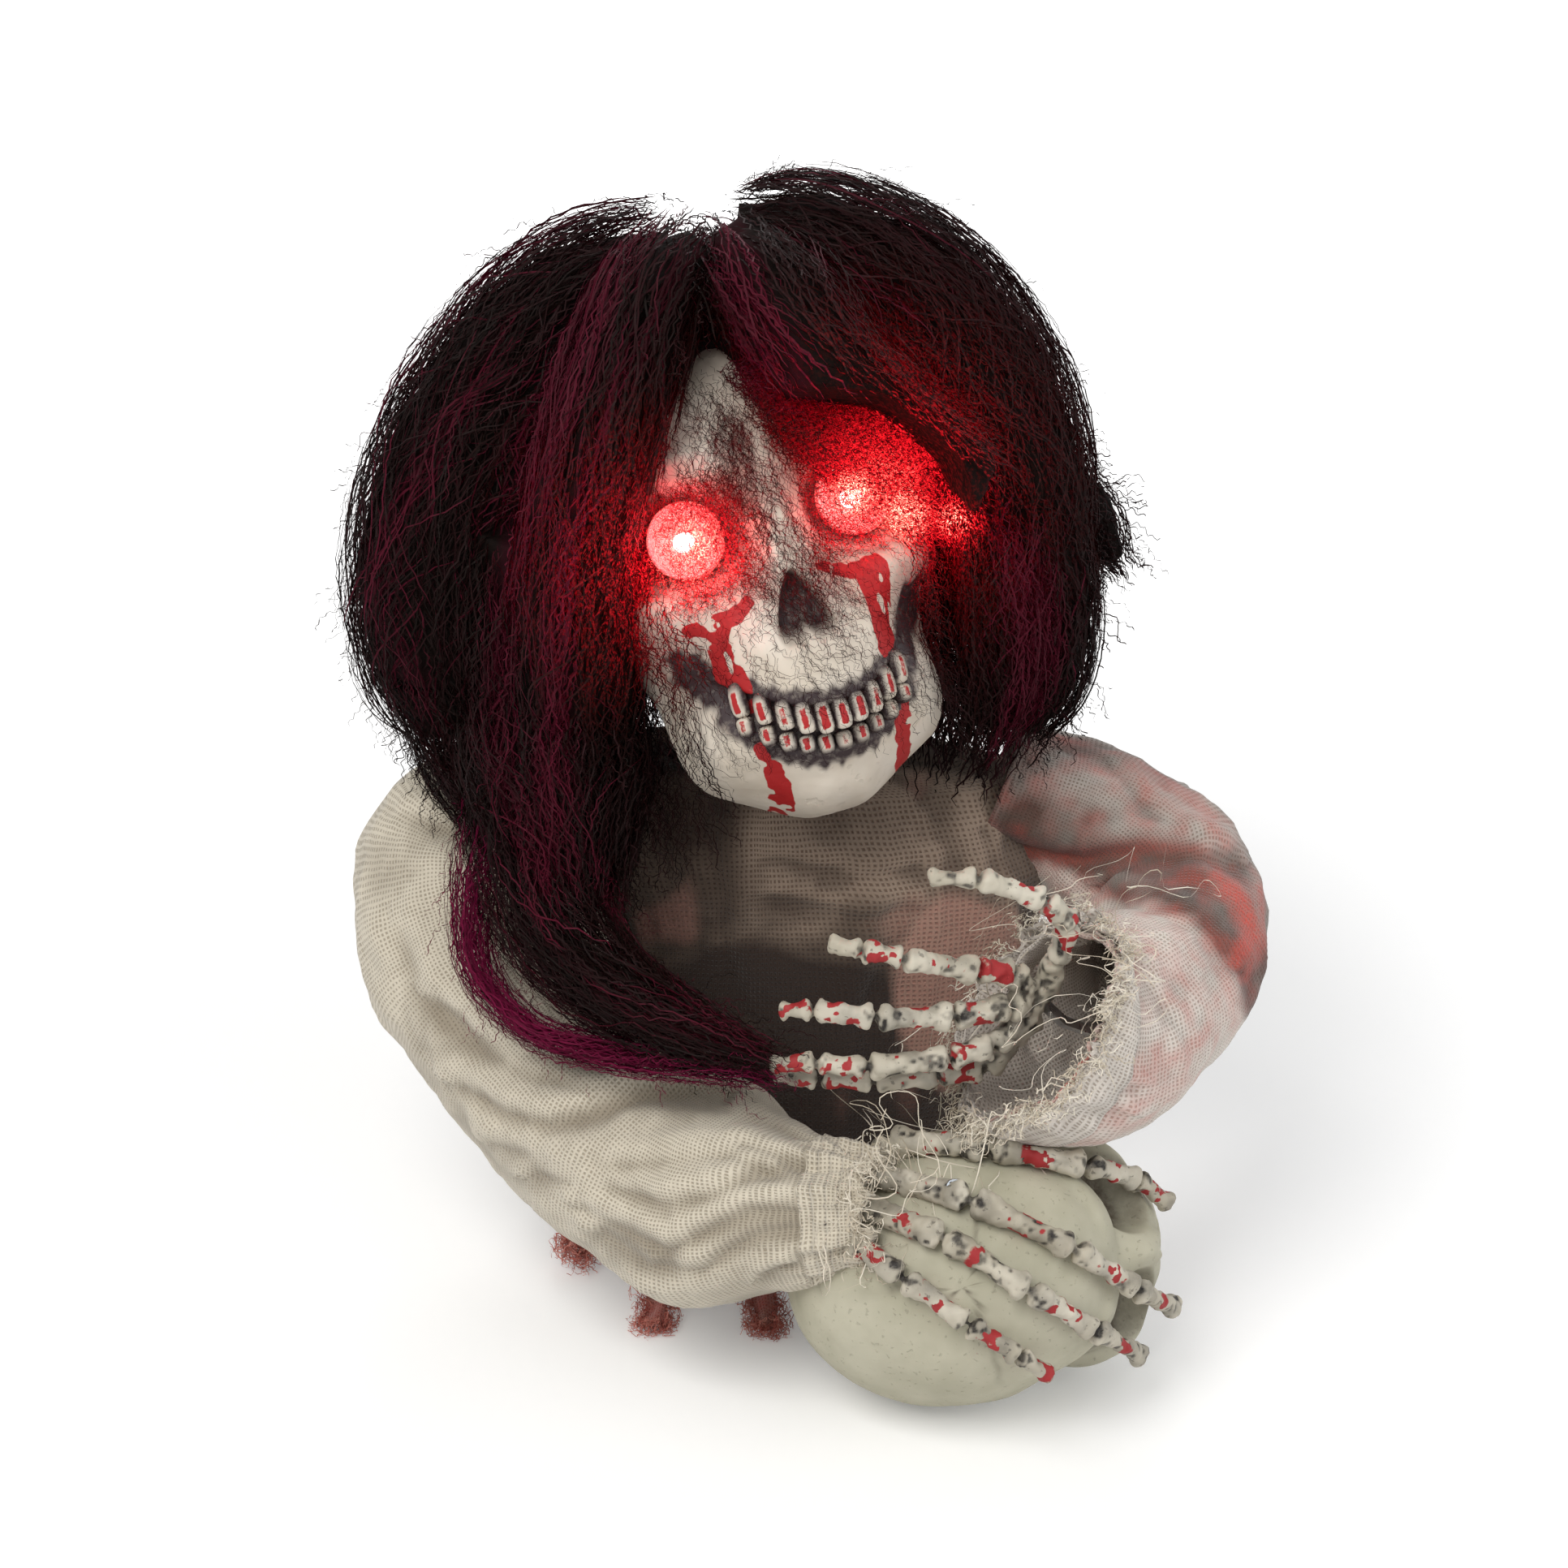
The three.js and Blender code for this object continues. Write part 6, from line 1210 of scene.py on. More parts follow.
# the pinkish loose fold behind the raised hand
lobe = np.hypot((place[..., 0] - 1190) / 95, (place[..., 1] - 1215) / 130) + 0.12 * drift
pink = smooth(1.0, 0.85, lobe) * toward
shade_and_wear = np.clip(np.maximum(np.maximum(dark, 0.85 * side_strip), patchy_tone), 0, 1) * (1 - 0.6 * pink)
gown = cloth("gown_gauze", gown_points, gown_line, brown_gauze, dye=shade_and_wear.ravel(),
             blood=np.maximum(0.3 * smooth(0.5, 0.8, noise(gown_points * np.array([1, 1, 0.4]), 12.0, 67)),
                              0.5 * pink).ravel())
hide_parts("gown")
local = np.random.default_rng(71)
HEM_THREADS, DOOR_HALF, DOOR_FRONT = 800, 40, 40
column = local.integers(0, gown_points.shape[1], HEM_THREADS)
starts = gown_points[0, column]
# no loose threads where the battery door draws out
starts = starts[(starts[:, 1] < DOOR_FRONT) | (np.abs(starts[:, 0]) > DOOR_HALF)]
n = len(starts)
ways = np.stack([starts[:, 0] * 0.02, starts[:, 1] * 0.02, -np.ones(n)], -1) + 0.5 * local.normal(size=(n, 3))
hem = threads("hem_threads", starts, unit(ways), local.uniform(2, 8, n), 0.45, brown_thread, seed=72)

COLLAR_SIDES, COLLAR_RINGS = 220, 26
v = np.linspace(0, 2 * math.pi, COLLAR_SIDES, endpoint=False)
u = np.linspace(0, 2 * math.pi, COLLAR_RINGS + 1)
collar_line = np.stack([24 * np.cos(v), 18 * np.sin(v), np.full(COLLAR_SIDES, 170.0)], -1)
ripple = 1 + 0.16 * ridges(17 * v + 1.5 * np.sin(3 * v)) + 0.1 * noise(collar_line, 6.0, 75)
swell = (5.4 * ripple)[None, :, None]
out = unit(collar_line * np.array([1, 1, 0]))
collar_grid = collar_line[None] + swell * (out[None] * np.cos(u)[:, None, None] + np.array(
    [0, 0, 0.95]) * np.sin(u)[:, None, None])
collar = cloth("collar_gauze", collar_grid, np.repeat(collar_line.mean(0)[None], COLLAR_RINGS + 1, 0),
               brown_gauze, joined=True, dye=np.full(COLLAR_RINGS * COLLAR_SIDES, 0.4),
               blood=np.zeros(COLLAR_RINGS * COLLAR_SIDES))
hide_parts("collar")

TATTERS = [[(-.6, -.72, .42), (-.65, -1.06, .2), (-.66, -1.38, .08), (-.68, -1.6, .05)],
           [(-.86, -.6, .5), (-1.04, -.74, .34), (-1.14, -.82, .24), (-1.2, -.9, .16)],
           [(-.02, -.72, .4), (-.02, -1.08, .2), (.02, -1.4, .08), (.04, -1.64, .05)]]
TATTER_THREADS, HALF_WAY = 260, 30
for number, stations in enumerate(TATTERS, 1):
    rows, columns = 60, 26
    line = curve_through(np.array(stations) * HEM_HALF, rows)
    tangent, side, up = carried_frame(line, (1, 0.1, 0.05))
    across = np.linspace(-1, 1, columns)[None]
    share = np.linspace(0, 1, rows)[:, None]
    uneven = noise(np.repeat(line[:, None], columns, 1), 7.0, 80 + number)
    half = 4.6 * (1 - 0.35 * share) * (1 + 0.16 * uneven)
    sway = 1.2 * np.sin(across * 3 + share * 7 + number) + 0.5 * noise(
        line[:, None] + side[:, None] * across[..., None] * 5, 4.0, 84 + number)
    grid = line[:, None] + side[:, None] * (half * across)[..., None] + up[:, None] * sway[..., None]
    grid[-1] += tangent[-1] * (2.2 * noise(grid[-1], 1.7, 88 + number))[:, None]
    grid[..., 2] = np.maximum(grid[..., 2], 1.2)
    piece = cloth("tatter_%d_gauze" % number, grid, line - up * 9, red_gauze, wraps=False, thickness=0.45,
                  dye=np.full(rows * columns, 0.3), blood=(0.35 + 0.4 * noise(grid, 6.0, 92)).ravel())
    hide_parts("gown_tatter_%d" % number)
    local = np.random.default_rng(95 + number)
    rim = np.concatenate([grid[-1], grid[HALF_WAY:, 0], grid[HALF_WAY:, -1]])
    sideways = side[HALF_WAY:] * 1.2
    away = np.concatenate([np.repeat(tangent[-1:], columns, 0), tangent[HALF_WAY:] - sideways,
                           tangent[HALF_WAY:] + sideways])
    pick = local.integers(0, len(rim), TATTER_THREADS)
    ways = unit(away[pick] + 0.6 * local.normal(size=(TATTER_THREADS, 3)))
    fray = threads("tatter_%d_threads" % number, rim[pick], ways, local.uniform(1.5, 6, TATTER_THREADS), 0.34,
                   red_thread, curl=1.4, seed=99 + number)


# Hair

# how many mm the locks' numbers count in, and how many points a lock's curve is drawn in
LOCK_UNIT, LOCK_POINTS = 100, 200
# places and radius along each lock, in tenths of a metre
LOCKS = {
    "right_mass": [(-.22, .1, 3.27, .14), (-.5, .05, 3.08, .27), (-.76, 0, 2.74, .33), (-.91, -.06, 2.4, .33),
                   (-.94, -.1, 2.04, .31), (-.87, -.12, 1.79, .22)],
    "right_inner": [(-.66, -.3, 2.5, .2), (-.7, -.3, 2.2, .22), (-.72, -.28, 1.96, .2),
                    (-.74, -.26, 1.8, .15)],
    "right_front": [(-.2, 0, 3.31, .12), (-.34, -.28, 3.17, .16), (-.45, -.48, 2.81, .19),
                    (-.52, -.54, 2.42, .2), (-.55, -.48, 2.01, .18), (-.6, -.42, 1.78, .15)],
    "left_mass": [(-.09, .1, 3.3, .13), (.16, .05, 3.28, .21), (.44, 0, 3.08, .28), (.65, -.04, 2.74, .31),
                  (.76, -.1, 2.42, .26), (.79, -.14, 2.25, .2)],
    "fringe": [(-.07, 0, 3.28, .12), (.06, -.28, 3.18, .19), (.21, -.46, 3.02, .19), (.42, -.5, 2.84, .17),
               (.62, -.44, 2.68, .16)],
    "left_curtain": [(.74, -.12, 2.6, .22), (.82, -.16, 2.3, .2), (.84, -.18, 2, .17), (.78, -.18, 1.8, .11)],
    "tuft": [(.8, .08, 2.6, .14), (1, .08, 2.38, .12), (1.1, .06, 2.24, .06)],
    "back_right": [(-.3, .5, 3.02, .24), (-.44, .62, 2.66, .34), (-.5, .6, 2.24, .33),
                   (-.48, .52, 1.86, .26)],
    "back_left": [(.2, .46, 3.06, .22), (.38, .6, 2.7, .33), (.44, .6, 2.3, .32), (.4, .52, 1.9, .26)],
    "nape": [(-.04, .72, 2.7, .34), (-.04, .74, 2.3, .36), (-.04, .6, 1.86, .28)],
    "long": [(-.68, -.46, 1.78, .19), (-.68, -.6, 1.56, .17), (-.6, -.78, 1.4, .15), (-.42, -.96, 1.29, .12),
             (-.2, -1.1, 1.23, .09), (.02, -1.18, 1.18, .05)],
    "part": [(-.15, .4, 3.02, .2), (-.13, .12, 3.14, .17), (-.08, -.18, 3.15, .14), (.0, -.4, 3.02, .12),
             (.1, -.5, 2.92, .1)],
    "behind_left": [(.5, .1, 2.4, .24), (.6, .06, 2.1, .3), (.62, 0, 1.82, .3), (.58, -.05, 1.58, .22)],
    "behind_right": [(-.5, .1, 2.3, .2), (-.46, .05, 2, .22), (-.42, 0, 1.76, .2)],
    "left_inner": [(.66, -.34, 2.62, .2), (.68, -.3, 2.3, .21), (.68, -.26, 2.0, .2), (.66, -.24, 1.8, .14)],
    "right_under": [(-.56, -.2, 2.4, .2), (-.54, -.22, 2.1, .22), (-.52, -.26, 1.86, .2),
                    (-.5, -.3, 1.7, .14)],
    "fall": [(-.64, -.34, 1.98, .26), (-.61, -.46, 1.78, .28), (-.58, -.6, 1.6, .22),
             (-.54, -.72, 1.46, .14)],
    "tail": [(-.88, -.12, 1.92, .25), (-.85, -.2, 1.72, .2), (-.78, -.32, 1.54, .12)],
    "loop": [(-.8, -.52, 1.72, .1), (-.86, -.66, 1.46, .07), (-.84, -.8, 1.28, .05), (-.68, -.95, 1.16, .04),
             (-.44, -1.06, 1.14, .04), (-.2, -1.14, 1.15, .04), (.02, -1.2, 1.14, .03)],
}
# outline of the face that the hair leaves open, in shares of the skull's front
WINDOW = [(-.05, 1.1), (.14, .66), (.6, .5), (.9, .15), (.92, -.3), (.7, -1.3), (0, -2), (-.95, -1.7),
          (-.77, -.42), (-.76, .1), (-.5, .5)]
# burgundy bands of dyed fibre on the front: across, down and half width in the photograph's frame
BANDS = [
    [(862, 262, 12), (800, 276, 22), (752, 340, 28), (716, 420, 30), (668, 540, 34), (636, 690, 30),
     (612, 880, 24)],
    [(842, 330, 14), (760, 470, 16), (706, 620, 20), (680, 780, 22), (690, 900, 26), (668, 1030, 30),
     (650, 1120, 18)],
    [(622, 392, 14), (576, 500, 20), (500, 600, 22), (460, 690, 24), (468, 770, 22), (520, 850, 20)],
    [(880, 246, 16), (902, 290, 26), (925, 380, 40), (950, 450, 40), (985, 500, 30)],
    [(1030, 345, 10), (1080, 350, 12)],
    [(1020, 218, 8), (1070, 235, 14), (1115, 275, 14), (1150, 310, 6)],
    [(1235, 640, 20), (1262, 730, 40), (1285, 810, 34), (1245, 890, 26)],
    [(645, 1120, 12), (630, 1180, 13), (652, 1232, 13), (712, 1266, 13), (812, 1258, 14), (890, 1245, 14)],
    [(600, 900, 20), (620, 980, 22), (668, 1060, 18), (640, 1130, 14)],
    [(720, 1000, 12), (760, 1120, 14), (850, 1200, 12)],
]


def dyed(points, seed):
    """How burgundy each point is: by the bands on the front, and by broad upright stripes elsewhere."""
    place = seen(points)
    band = np.min([along(place[..., 0], place[..., 1], path) for path in BANDS], 0)
    band = smooth(4, -16, band + 10 * noise(points, 9.0, seed))
    turned = np.arctan2(points[..., 0], points[..., 1] + 10)
    stripe = np.stack([turned * 2.2, points[..., 2] / 160, turned * 0], -1)
    return np.where(points[..., 1] < 0, band, smooth(0.15, 0.4, noise(stripe, 0.5, seed + 1)))


def in_window(points):
    """True for points in front of the face and inside the outline that the hair leaves open, by counting
    edges crossed to one side."""
    q = head_local(points)
    x, z = q[..., 0], q[..., 2]
    inside = np.zeros(x.shape, bool)
    for (x0, z0), (x1, z1) in zip(WINDOW, WINDOW[1:] + WINDOW[:1]):
        crosses = (z0 > z) != (z1 > z)
        inside ^= crosses & (x < (x1 - x0) * (z - z0) / (z1 - z0 + 1e-12) + x0)
    return inside & (q[..., 1] < -0.2)


def off_the_skull(points, gap):
    """Moves points that lie in the skull out along their way from its middle, to a gap above the skin."""
    q = head_local(points)
    size = np.linalg.norm(q, axis=-1)
    skin = skull_reach(q / np.maximum(size, 1e-6)[..., None], True, False) + gap / HEAD_UNIT
    factor = np.where(size < skin, skin / np.maximum(size, 1e-6), 1.0)
    return head_world(q * factor[..., None] * HEAD_UNIT)


def strands(seed, lock, count, reach, lengths, width, wave, steps=20):
    """Crimped strands that lie on a lock: each keeps an angle round the lock's curve with a slow wander, at
    a share of its radius, and swings from side to side in a zigzag of about wave mm. Gives paths, outward
    ways and widths."""
    local = np.random.default_rng(seed)
    fine = curve_through(np.array(LOCKS[lock]) * LOCK_UNIT, LOCK_POINTS)
    line, radius = fine[:, :3], fine[:, 3]
    tangent, side, up = carried_frame(line)
    run = arc(line)
    total = run[-1]
    long = local.uniform(*lengths, count)
    start = local.uniform(0, 1.0, count) * np.maximum(total + 6 - long, 4)
    s = start[:, None] + long[:, None] * np.linspace(0, 1, steps)[None]
    inside = np.clip(s, 0, total)
    beyond = np.minimum(s - inside, 9)
    centre, across, over, along_way = (
        np.stack([np.interp(inside, run, table[:, k]) for k in range(3)], -1)
        for table in (line, side, up, tangent))
    size = np.interp(inside, run, radius)
    angle = local.uniform(0, 2 * math.pi, count)[:, None]
    wander = sum(local.normal(0, 0.16, (count, 1)) * np.sin(s / w + local.uniform(0, WHOLE_TURN, (count, 1)))
                 for w in (9.0, 17.0, 31.0))
    turned = angle + wander + local.normal(0, 0.005, (count, 1)) * (s - start[:, None])
    deep = reach[0] + (reach[1] - reach[0]) * local.uniform(0, 1, (count, 1)) ** 0.8
    deep = deep + 0.05 * np.sin(s / 13 + local.uniform(0, WHOLE_TURN, (count, 1)))
    out = across * np.cos(turned)[..., None] + over * np.sin(turned)[..., None]
    sideways = np.cross(along_way, out)
    path = centre + out * (size * deep)[..., None] + along_way * beyond[..., None]
    length_of_wave = local.uniform(3.4, 5.6, (count, 1))
    phase = 2 * math.pi * s / length_of_wave + local.uniform(0, WHOLE_TURN, (count, 1))
    zigzag = np.sin(phase) + 0.2 * np.sin(2.3 * phase)
    lean = local.uniform(0, math.pi, (count, 1))
    swing = wave * local.uniform(0.5, 1.3, (count, 1)) * zigzag
    swung = sideways * np.cos(lean)[..., None] + out * np.sin(lean)[..., None] * 0.7
    path = path + swung * swing[..., None]
    path = off_the_skull(path, 0.8)
    keep = (in_window(path).mean(1) < 0.06) & (path[..., 2].min(1) > 1)
    t = np.linspace(0, 1, steps)
    taper = np.minimum(1, np.minimum(t, 1 - t) * 7 + 0.25)
    wide = width * local.uniform(0.6, 1.2, (count, 1)) * taper[None]
    return path[keep], out[keep], wide[keep]


def wires(seed, starts, ways, lengths, width, curl=0.75, steps=24, gap=1.0):
    """Loose crimped fibres: each walks along its way in equal steps, its heading swung by a short and a
    long sine across it, and is kept off the skull. Gives paths, outward ways and widths."""
    local = np.random.default_rng(seed)
    n = len(starts)
    side = unit(np.cross(ways, local.normal(size=(n, 3))))
    other = np.cross(ways, side)
    run = np.linspace(0, 1, steps)[None] * np.asarray(lengths)[:, None]
    heading = np.repeat(ways[:, None], steps, 1)
    for across in (side, other):
        for strength, low, high in ((curl, 3.4, 6.0), (0.75 * curl, 12.0, 30.0)):
            turn_of = 2 * math.pi * run / local.uniform(low, high, (n, 1))
            turn_of = turn_of + local.uniform(0, WHOLE_TURN, (n, 1))
            heading = heading + across[:, None] * (strength * np.sin(turn_of))[..., None]
    stride = (np.asarray(lengths) / steps)[:, None, None]
    path = starts[:, None] + np.cumsum(unit(heading) * stride, 1)
    path = off_the_skull(path, gap)
    path[..., 2] = np.maximum(path[..., 2], 0.5)
    out = unit(path - HEAD_PLACE)
    return path, out, np.full((n, steps), width) * local.uniform(0.7, 1.2, (n, 1))


def frizz(seed, lock, count, width=0.34):
    """Short fibres that leave a lock's surface, mostly along it and a little outward."""
    local = np.random.default_rng(seed)
    fine = curve_through(np.array(LOCKS[lock]) * LOCK_UNIT, LOCK_POINTS)
    tangent, side, up = carried_frame(fine[:, :3])
    row = local.integers(0, LOCK_POINTS, count)
    angle = local.uniform(0, 2 * math.pi, count)[:, None]
    out = side[row] * np.cos(angle) + up[row] * np.sin(angle)
    starts = fine[row, :3] + out * fine[row, 3:] * local.uniform(0.85, 1.05, (count, 1))
    ways = tangent[row] * local.uniform(0.3, 1.2, (count, 1))
    ways = unit(ways + out * local.uniform(0.0, 0.6, (count, 1)))
    path, out, wide = wires(seed + 1, starts, ways, local.uniform(7, 24, count), width, curl=1.0, steps=18)
    keep = in_window(path).mean(1) < 0.1
    return path[keep], out[keep], wide[keep]


def veil(seed, count, across, heights, lean, lengths, gap, width=0.36, curl=0.75, stops=None):
    """Fibres over the face: they start at random places of a patch of the skull's front, given in its
    shares, at a random gap above the skin in mm, and run down and across by lean."""
    local = np.random.default_rng(seed)
    x, z = local.uniform(*across, count), local.uniform(*heights, count)
    if stops:
        chosen = along(x, z, stops) < 0
        x, z = x[chosen], z[chosen]
    n = len(x)
    skin = np.stack([x, front_depth(x, z, True), z], -1)
    starts = head_world(skin * HEAD_UNIT - np.array([0, 1, 0]) * local.uniform(*gap, (n, 1)))
    ways = np.stack([np.full(n, lean[0]), np.full(n, 0.1), np.full(n, lean[1])], -1)
    ways = ways + local.normal(0, 0.22, (n, 3))
    return wires(seed + 1, starts, unit(ways) @ HEAD_TURN.T, local.uniform(*lengths, n), width, curl,
                 steps=16, gap=gap[0])


# the height in metres from which hair hangs free of the head
FREE = 0.198


def fibres(name, groups, seed, material=None, dye=None):
    """Flat ribbons along every path, their faces turned outwards with a little tilt; the pieces that hang
    below the head are a separate object that the head does not carry."""
    paths, outs, wides = ([g[k] for g in groups] for k in range(3))
    made = []
    low = [p[..., 2].min(1) < FREE * 1000 + 2 for p in paths]
    for label, wanted in (("", False), ("_ends", True)):
        points, quads, shade, base = [], [], [], 0
        local = np.random.default_rng(seed)
        for path, out, wide, hangs in zip(paths, outs, wides, low):
            path, out, wide = path[hangs == wanted], out[hangs == wanted], wide[hangs == wanted]
            if not len(path):
                continue
            n, steps = path.shape[:2]
            tangent = unit(np.gradient(path, axis=1))
            flat = unit(np.cross(tangent, out + local.normal(0, 0.5, (n, 1, 3))))
            both = np.stack([path - flat * wide[..., None] / 2, path + flat * wide[..., None] / 2], 2)
            points.append(both.reshape(-1, 3))
            k = np.arange(steps - 1) * 2
            block = np.stack([k, k + 1, k + 3, k + 2], -1)[None] + (np.arange(n) * steps * 2)[:, None, None]
            quads.append(block.reshape(-1, 4) + base)
            base += n * steps * 2
            colour_of = np.clip(dyed(path[:, steps // 2], 77) * local.uniform(0.55, 1.0, n) + local.uniform(
                0, 0.14, n), 0, 1) if dye is None else dye * local.uniform(0.6, 1.0, n)
            shade.append(np.repeat(colour_of, steps * 2))
        if not points:
            continue
        points = np.vstack(points)
        obj = make(name + label, points, quads, material or hair_fibre, smooth=False,
                   streak=np.concatenate(shade), glow=glow_at(points))
        if wanted:
            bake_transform(obj)
        else:
            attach(obj, "head")
        made.append(obj)
    return made


# from and to which share of a lock's radius its outer strands lie
OUTER = (0.74, 1.07)
# the stroke over the brow that the tangle keeps to: across, up and half width, in shares of the skull's front
TANGLED = [(0.06, 0.95, 0.16), (0.3, 0.62, 0.28), (0.62, 0.4, 0.32), (0.74, 0.22, 0.24)]
# each piece of the hair: its name, its seed, and the makers of its fibres with what they are given
HAIR = [
    ("hair_right", 1, [
        (strands, 300, "right_mass", 2600, OUTER, (28, 60), 0.5, 0.75),
        (frizz, 301, "right_mass", 900, 0.26)]),
    ("hair_right_front", 2, [
        (strands, 310, "right_front", 1500, (0.62, 1.12), (28, 60), 0.55, 0.7),
        (strands, 311, "right_inner", 900, OUTER, (26, 55), 0.55, 0.75),
        (frizz, 312, "right_front", 400)]),
    ("hair_left", 3, [
        (strands, 320, "left_mass", 2600, OUTER, (28, 60), 0.5, 0.75),
        (frizz, 321, "left_mass", 900, 0.26)]),
    ("hair_fringe", 4, [
        (strands, 330, "fringe", 1400, (0.6, 1.12), (26, 52), 0.55, 0.7),
        (strands, 331, "left_curtain", 900, OUTER, (26, 52), 0.55, 0.75),
        (strands, 332, "tuft", 240, (0.4, 1.15), (14, 26), 0.5, 0.6),
        (frizz, 333, "left_curtain", 420),
        (frizz, 334, "tuft", 160)]),
    ("hair_part", 12, [
        (strands, 335, "part", 1000, (0.3, 1.15), (22, 48), 0.5, 0.7),
        (strands, 336, "left_inner", 800, (0.3, 1.1), (24, 50), 0.5, 0.75),
        (strands, 337, "right_under", 700, (0.3, 1.1), (24, 50), 0.5, 0.75),
        (frizz, 338, "left_inner", 300, 0.26)]),
    ("hair_behind", 14, [
        (strands, 343, "behind_left", 800, (0.3, 1.1), (24, 50), 0.6, 0.75),
        (strands, 344, "behind_right", 600, (0.3, 1.1), (22, 46), 0.6, 0.75)]),
    ("hair_back", 5, [
        (strands, 340, "back_right", 1200, (0.8, 1.06), (34, 70), 0.75, 0.9),
        (strands, 341, "back_left", 1200, (0.8, 1.06), (34, 70), 0.75, 0.9)]),
    ("hair_nape", 6, [
        (strands, 350, "nape", 800, (0.85, 1.06), (34, 70), 0.95, 0.9),
        (frizz, 351, "back_left", 250),
        (frizz, 352, "back_right", 250)]),
    ("hair_veil", 7, [
        (veil, 402, 1300, (0.14, 0.95), (-0.12, 0.4), (0.4, -0.3), (8, 20), (1.2, 6.0), 0.14, 1.3),
        (veil, 404, 420, (-0.22, 0.2), (-0.3, 0.75), (0.12, -1.0), (14, 32), (1.5, 6.0), 0.16, 1.0),
        (veil, 406, 420, (-0.62, 0.6), (-1.0, -0.15), (0.3, -0.5), (12, 30), (1.0, 4.0), 0.13, 1.2),
        (veil, 408, 620, (-0.98, -0.66), (-1.2, 0.6), (0.05, -1.0), (18, 40), (2.0, 9.0), 0.26, 0.9),
        (veil, 410, 330, (-0.5, 0.0), (0.2, 1.0), (0.05, -1.0), (16, 34), (1.5, 5.0), 0.16, 1.0),
        (veil, 412, 330, (0.62, 0.92), (-1.0, 0.1), (0.1, -1.0), (16, 36), (2.0, 8.0), 0.3)]),
    ("hair_tangle", 13, [
        (veil, 400, 6400, (-0.08, 0.95), (-0.02, 0.95), (0.75, -0.6), (18, 40), (2.5, 14.0), 0.24, 1.1,
         TANGLED)]),
    ("hair_wisps", 8, [
        (veil, 420, 1300, (-0.66, -0.2), (-0.2, 0.46), (0.2, -0.4), (7, 18), (1.0, 8.0), 0.12, 1.4)]),
]
for name, seed, rows in HAIR:
    fibres(name, [maker(*given) for maker, *given in rows], seed)

long_lock = fibres("hair_long", [strands(360, "long", 1500, (0.3, 1.25), (26, 60), 0.42, 0.8),
                                 frizz(361, "long", 500, 0.26)], 9)[-1]
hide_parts("long_lock")
fibres("hair_fall", [strands(363, "fall", 1500, (0.4, 1.1), (26, 55), 0.5, 0.75),
                     frizz(364, "fall", 500, 0.28),
                     strands(365, "tail", 700, (0.4, 1.15), (20, 42), 0.5, 0.75),
                     frizz(366, "tail", 500, 0.28)], 11)
fibres("hair_loop", [strands(362, "loop", 520, (0.1, 1.5), (24, 60), 0.4, 1.0),
                     frizz(367, "loop", 200, 0.24)], 10, plum_fibre, 0.9)


def under_layer(name, node, low_blend):
    """The mass under the strands: the CAD hair's own form, its corners merged, remade in 2.4 mm voxels,
    smoothed and roughened along the fall of the hair."""
    mesh = frame["nodes"][node].data
    co = np.zeros(len(mesh.vertices) * 3, np.float32)
    mesh.vertices.foreach_get("co", co)
    tri = np.zeros(len(mesh.polygons) * 3, np.int32)
    mesh.polygons.foreach_get("vertices", tri)
    keys, index = np.unique(np.round(co.reshape(-1, 3) / MM, 3), axis=0, return_inverse=True)
    faces = np.asarray(index).ravel()[tri.reshape(-1, 3)]
    faces = faces[(faces[:, 0] != faces[:, 1]) & (faces[:, 1] != faces[:, 2]) & (faces[:, 0] != faces[:, 2])]
    obj = make(name, keys, [faces], under_fibre)
    applied, p, normal = melted(obj, voxel=2.4, rounds=3)
    p = p + normal * (-1.8 + 0.8 * noise(p * np.array([1, 1, 0.35]), 3.4, 12))[:, None]
    settled(applied, p, under_fibre)
    store(applied, "streak", dyed(p, 77) * (0.6 + 0.3 * noise(p * np.array([1, 1, 0.3]), 4.0, 13)))
    store(applied, "glow", glow_at(p) * 0.7)
    applied.update()
    if low_blend:
        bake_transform(obj)
    else:
        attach(obj, "head")
    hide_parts(node)


under_layer("hair_mass", "hair_crown", False)
under_layer("hair_mass_right_fall", "right_hair_fall", True)
under_layer("hair_mass_left_fall", "left_hair_fall", True)


# Carried-over CAD parts

def plastic(name, tone, dark, size, rough):
    """Moulded ABS with a fine spark-eroded texture: matt, a little shinier where it has been handled."""
    made, tree, shader = finish_material(name, rough)
    fine, broad = grain(tree, size, 3.0), grain(tree, 0.02, 3.0)
    tree.links.new(mixed(tree, ramp(tree, broad, 0.3, 0.7), tone, dark), shader.inputs["Base Color"])
    tree.links.new(ramp(tree, broad, 0.3, 0.7, rough - 0.06, rough + 0.08), shader.inputs["Roughness"])
    bumped(tree, shader, fine, 0.0001, 0.5)
    return made


def metal(name, tone, dark, rough, stretch):
    """Bare metal with the fine parallel lines of drawing or turning, dulled in patches."""
    made, tree, shader = finish_material(name, rough, 1.0)
    place = add(tree, "ShaderNodeTexCoord").outputs["Object"]
    pulled = add(tree, "ShaderNodeMapping", {"Scale": stretch}, {"Vector": place}).outputs["Vector"]
    lines = grain(tree, 0.0008, 3.0, 0.6, 0.0, pulled)
    patch = grain(tree, 0.009, 3.0)
    tree.links.new(mixed(tree, ramp(tree, patch, 0.35, 0.7), tone, dark), shader.inputs["Base Color"])
    tree.links.new(ramp(tree, lines, 0.3, 0.7, rough - 0.1, rough + 0.12), shader.inputs["Roughness"])
    bumped(tree, shader, lines, 0.00005, 0.5)
    return made


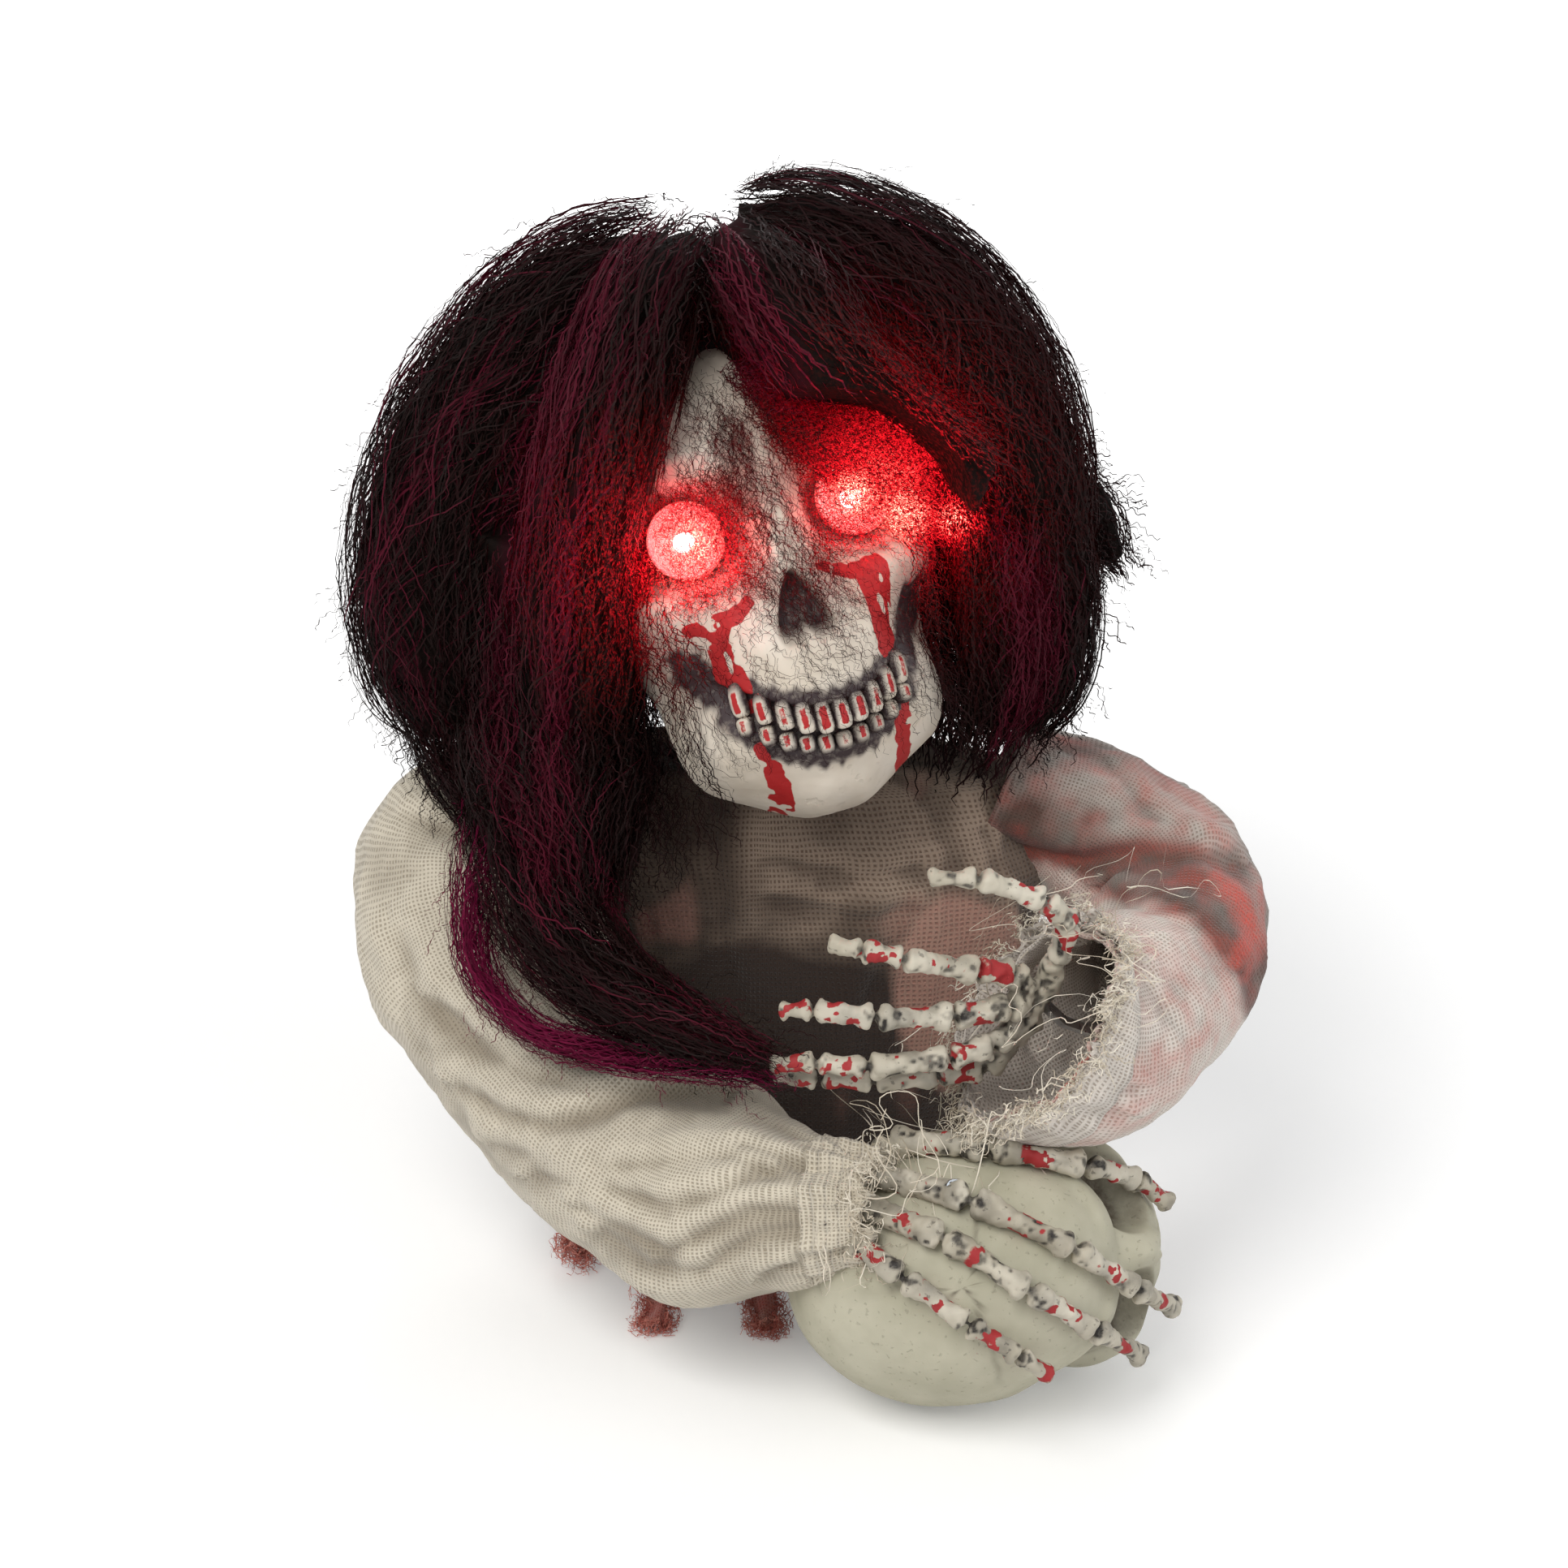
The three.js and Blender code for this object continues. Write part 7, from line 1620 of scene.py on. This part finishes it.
# the finishes by material slot: two tones, then a plastic's grain in metres and roughness, or a metal's
# roughness and the stretch of its lines
FINISHES = {
    "black_abs": plastic("black_textured_abs", "#1F1E1F", "#2A292A", 0.0007, 0.5),
    "acetal": plastic("white_moulded_acetal", "#E7E4DA", "#D9D5C8", 0.0012, 0.38),
    "cell_wrap": plastic("green_shrink_sleeve", "#2E6B4A", "#27593E", 0.004, 0.3),
    "board": plastic("green_solder_mask", "#1F5A38", "#184A2D", 0.002, 0.35),
    "lead": plastic("red_pvc_insulation", "#8E1C1C", "#701515", 0.001, 0.45),
    "steel": metal("drawn_steel", "#B9BBBD", "#8C8E91", 0.32, (1, 1, 0.06)),
    "zinc": metal("zinc_plated_screw", "#8F949A", "#6A6E74", 0.35, (1, 1, 1)),
}
for part in frame["record"]["subparts"]:
    finish = FINISHES.get(part["material_slot"])
    obj = frame["nodes"][part["node"]]
    if finish and not obj.hide_render:
        if not obj.data.materials:
            obj.data.materials.append(finish)
        for slot in obj.material_slots:
            slot.material = finish


# Floor and background

made, tree, shader = finish_material("white_seamless_paper", 0.9, **{"Specular_IOR_Level": 0.0})
mottle = grain(tree, 0.003, 3.0)
tree.links.new(mixed(tree, ramp(tree, mottle, 0.3, 0.7), "#F2F2F2", "#F5F5F5"), shader.inputs["Base Color"])
on_camera = add(tree, "ShaderNodeLightPath").outputs["Is Camera Ray"]
shader.inputs["Emission Color"].default_value = (1, 1, 1, 1)
span = add(tree, "ShaderNodeVectorMath", operation="LENGTH")
tree.links.new(add(tree, "ShaderNodeTexCoord").outputs["Object"], span.inputs[0])
tree.links.new(maths(tree, "MULTIPLY", on_camera, ramp(tree, span.outputs["Value"], 0.25, 1.6, 0.16, 1.0)),
               shader.inputs["Emission Strength"])
floor_mesh = bpy.data.meshes.new("floor")
floor_mesh.from_pydata([(-6, -6, 0), (6, -6, 0), (6, 9, 0), (-6, 9, 0)], [], [(0, 1, 2, 3)])
floor_mesh.materials.append(made)
floor = bpy.data.objects.new("floor", floor_mesh)
scene.collection.objects.link(floor)

world = bpy.data.worlds.new("studio")
scene.world = world
world.use_nodes = True
tree = world.node_tree
paths = add(tree, "ShaderNodeLightPath")
bright = maths(tree, "MAXIMUM", paths.outputs["Is Camera Ray"], maths(
    tree, "MAXIMUM", paths.outputs["Is Glossy Ray"], paths.outputs["Is Transmission Ray"]))
background = tree.nodes["Background"]
background.inputs["Color"].default_value = (1, 1, 1, 1)
tree.links.new(ramp(tree, bright, 0, 1, 0.42, 1.0), background.inputs["Strength"])
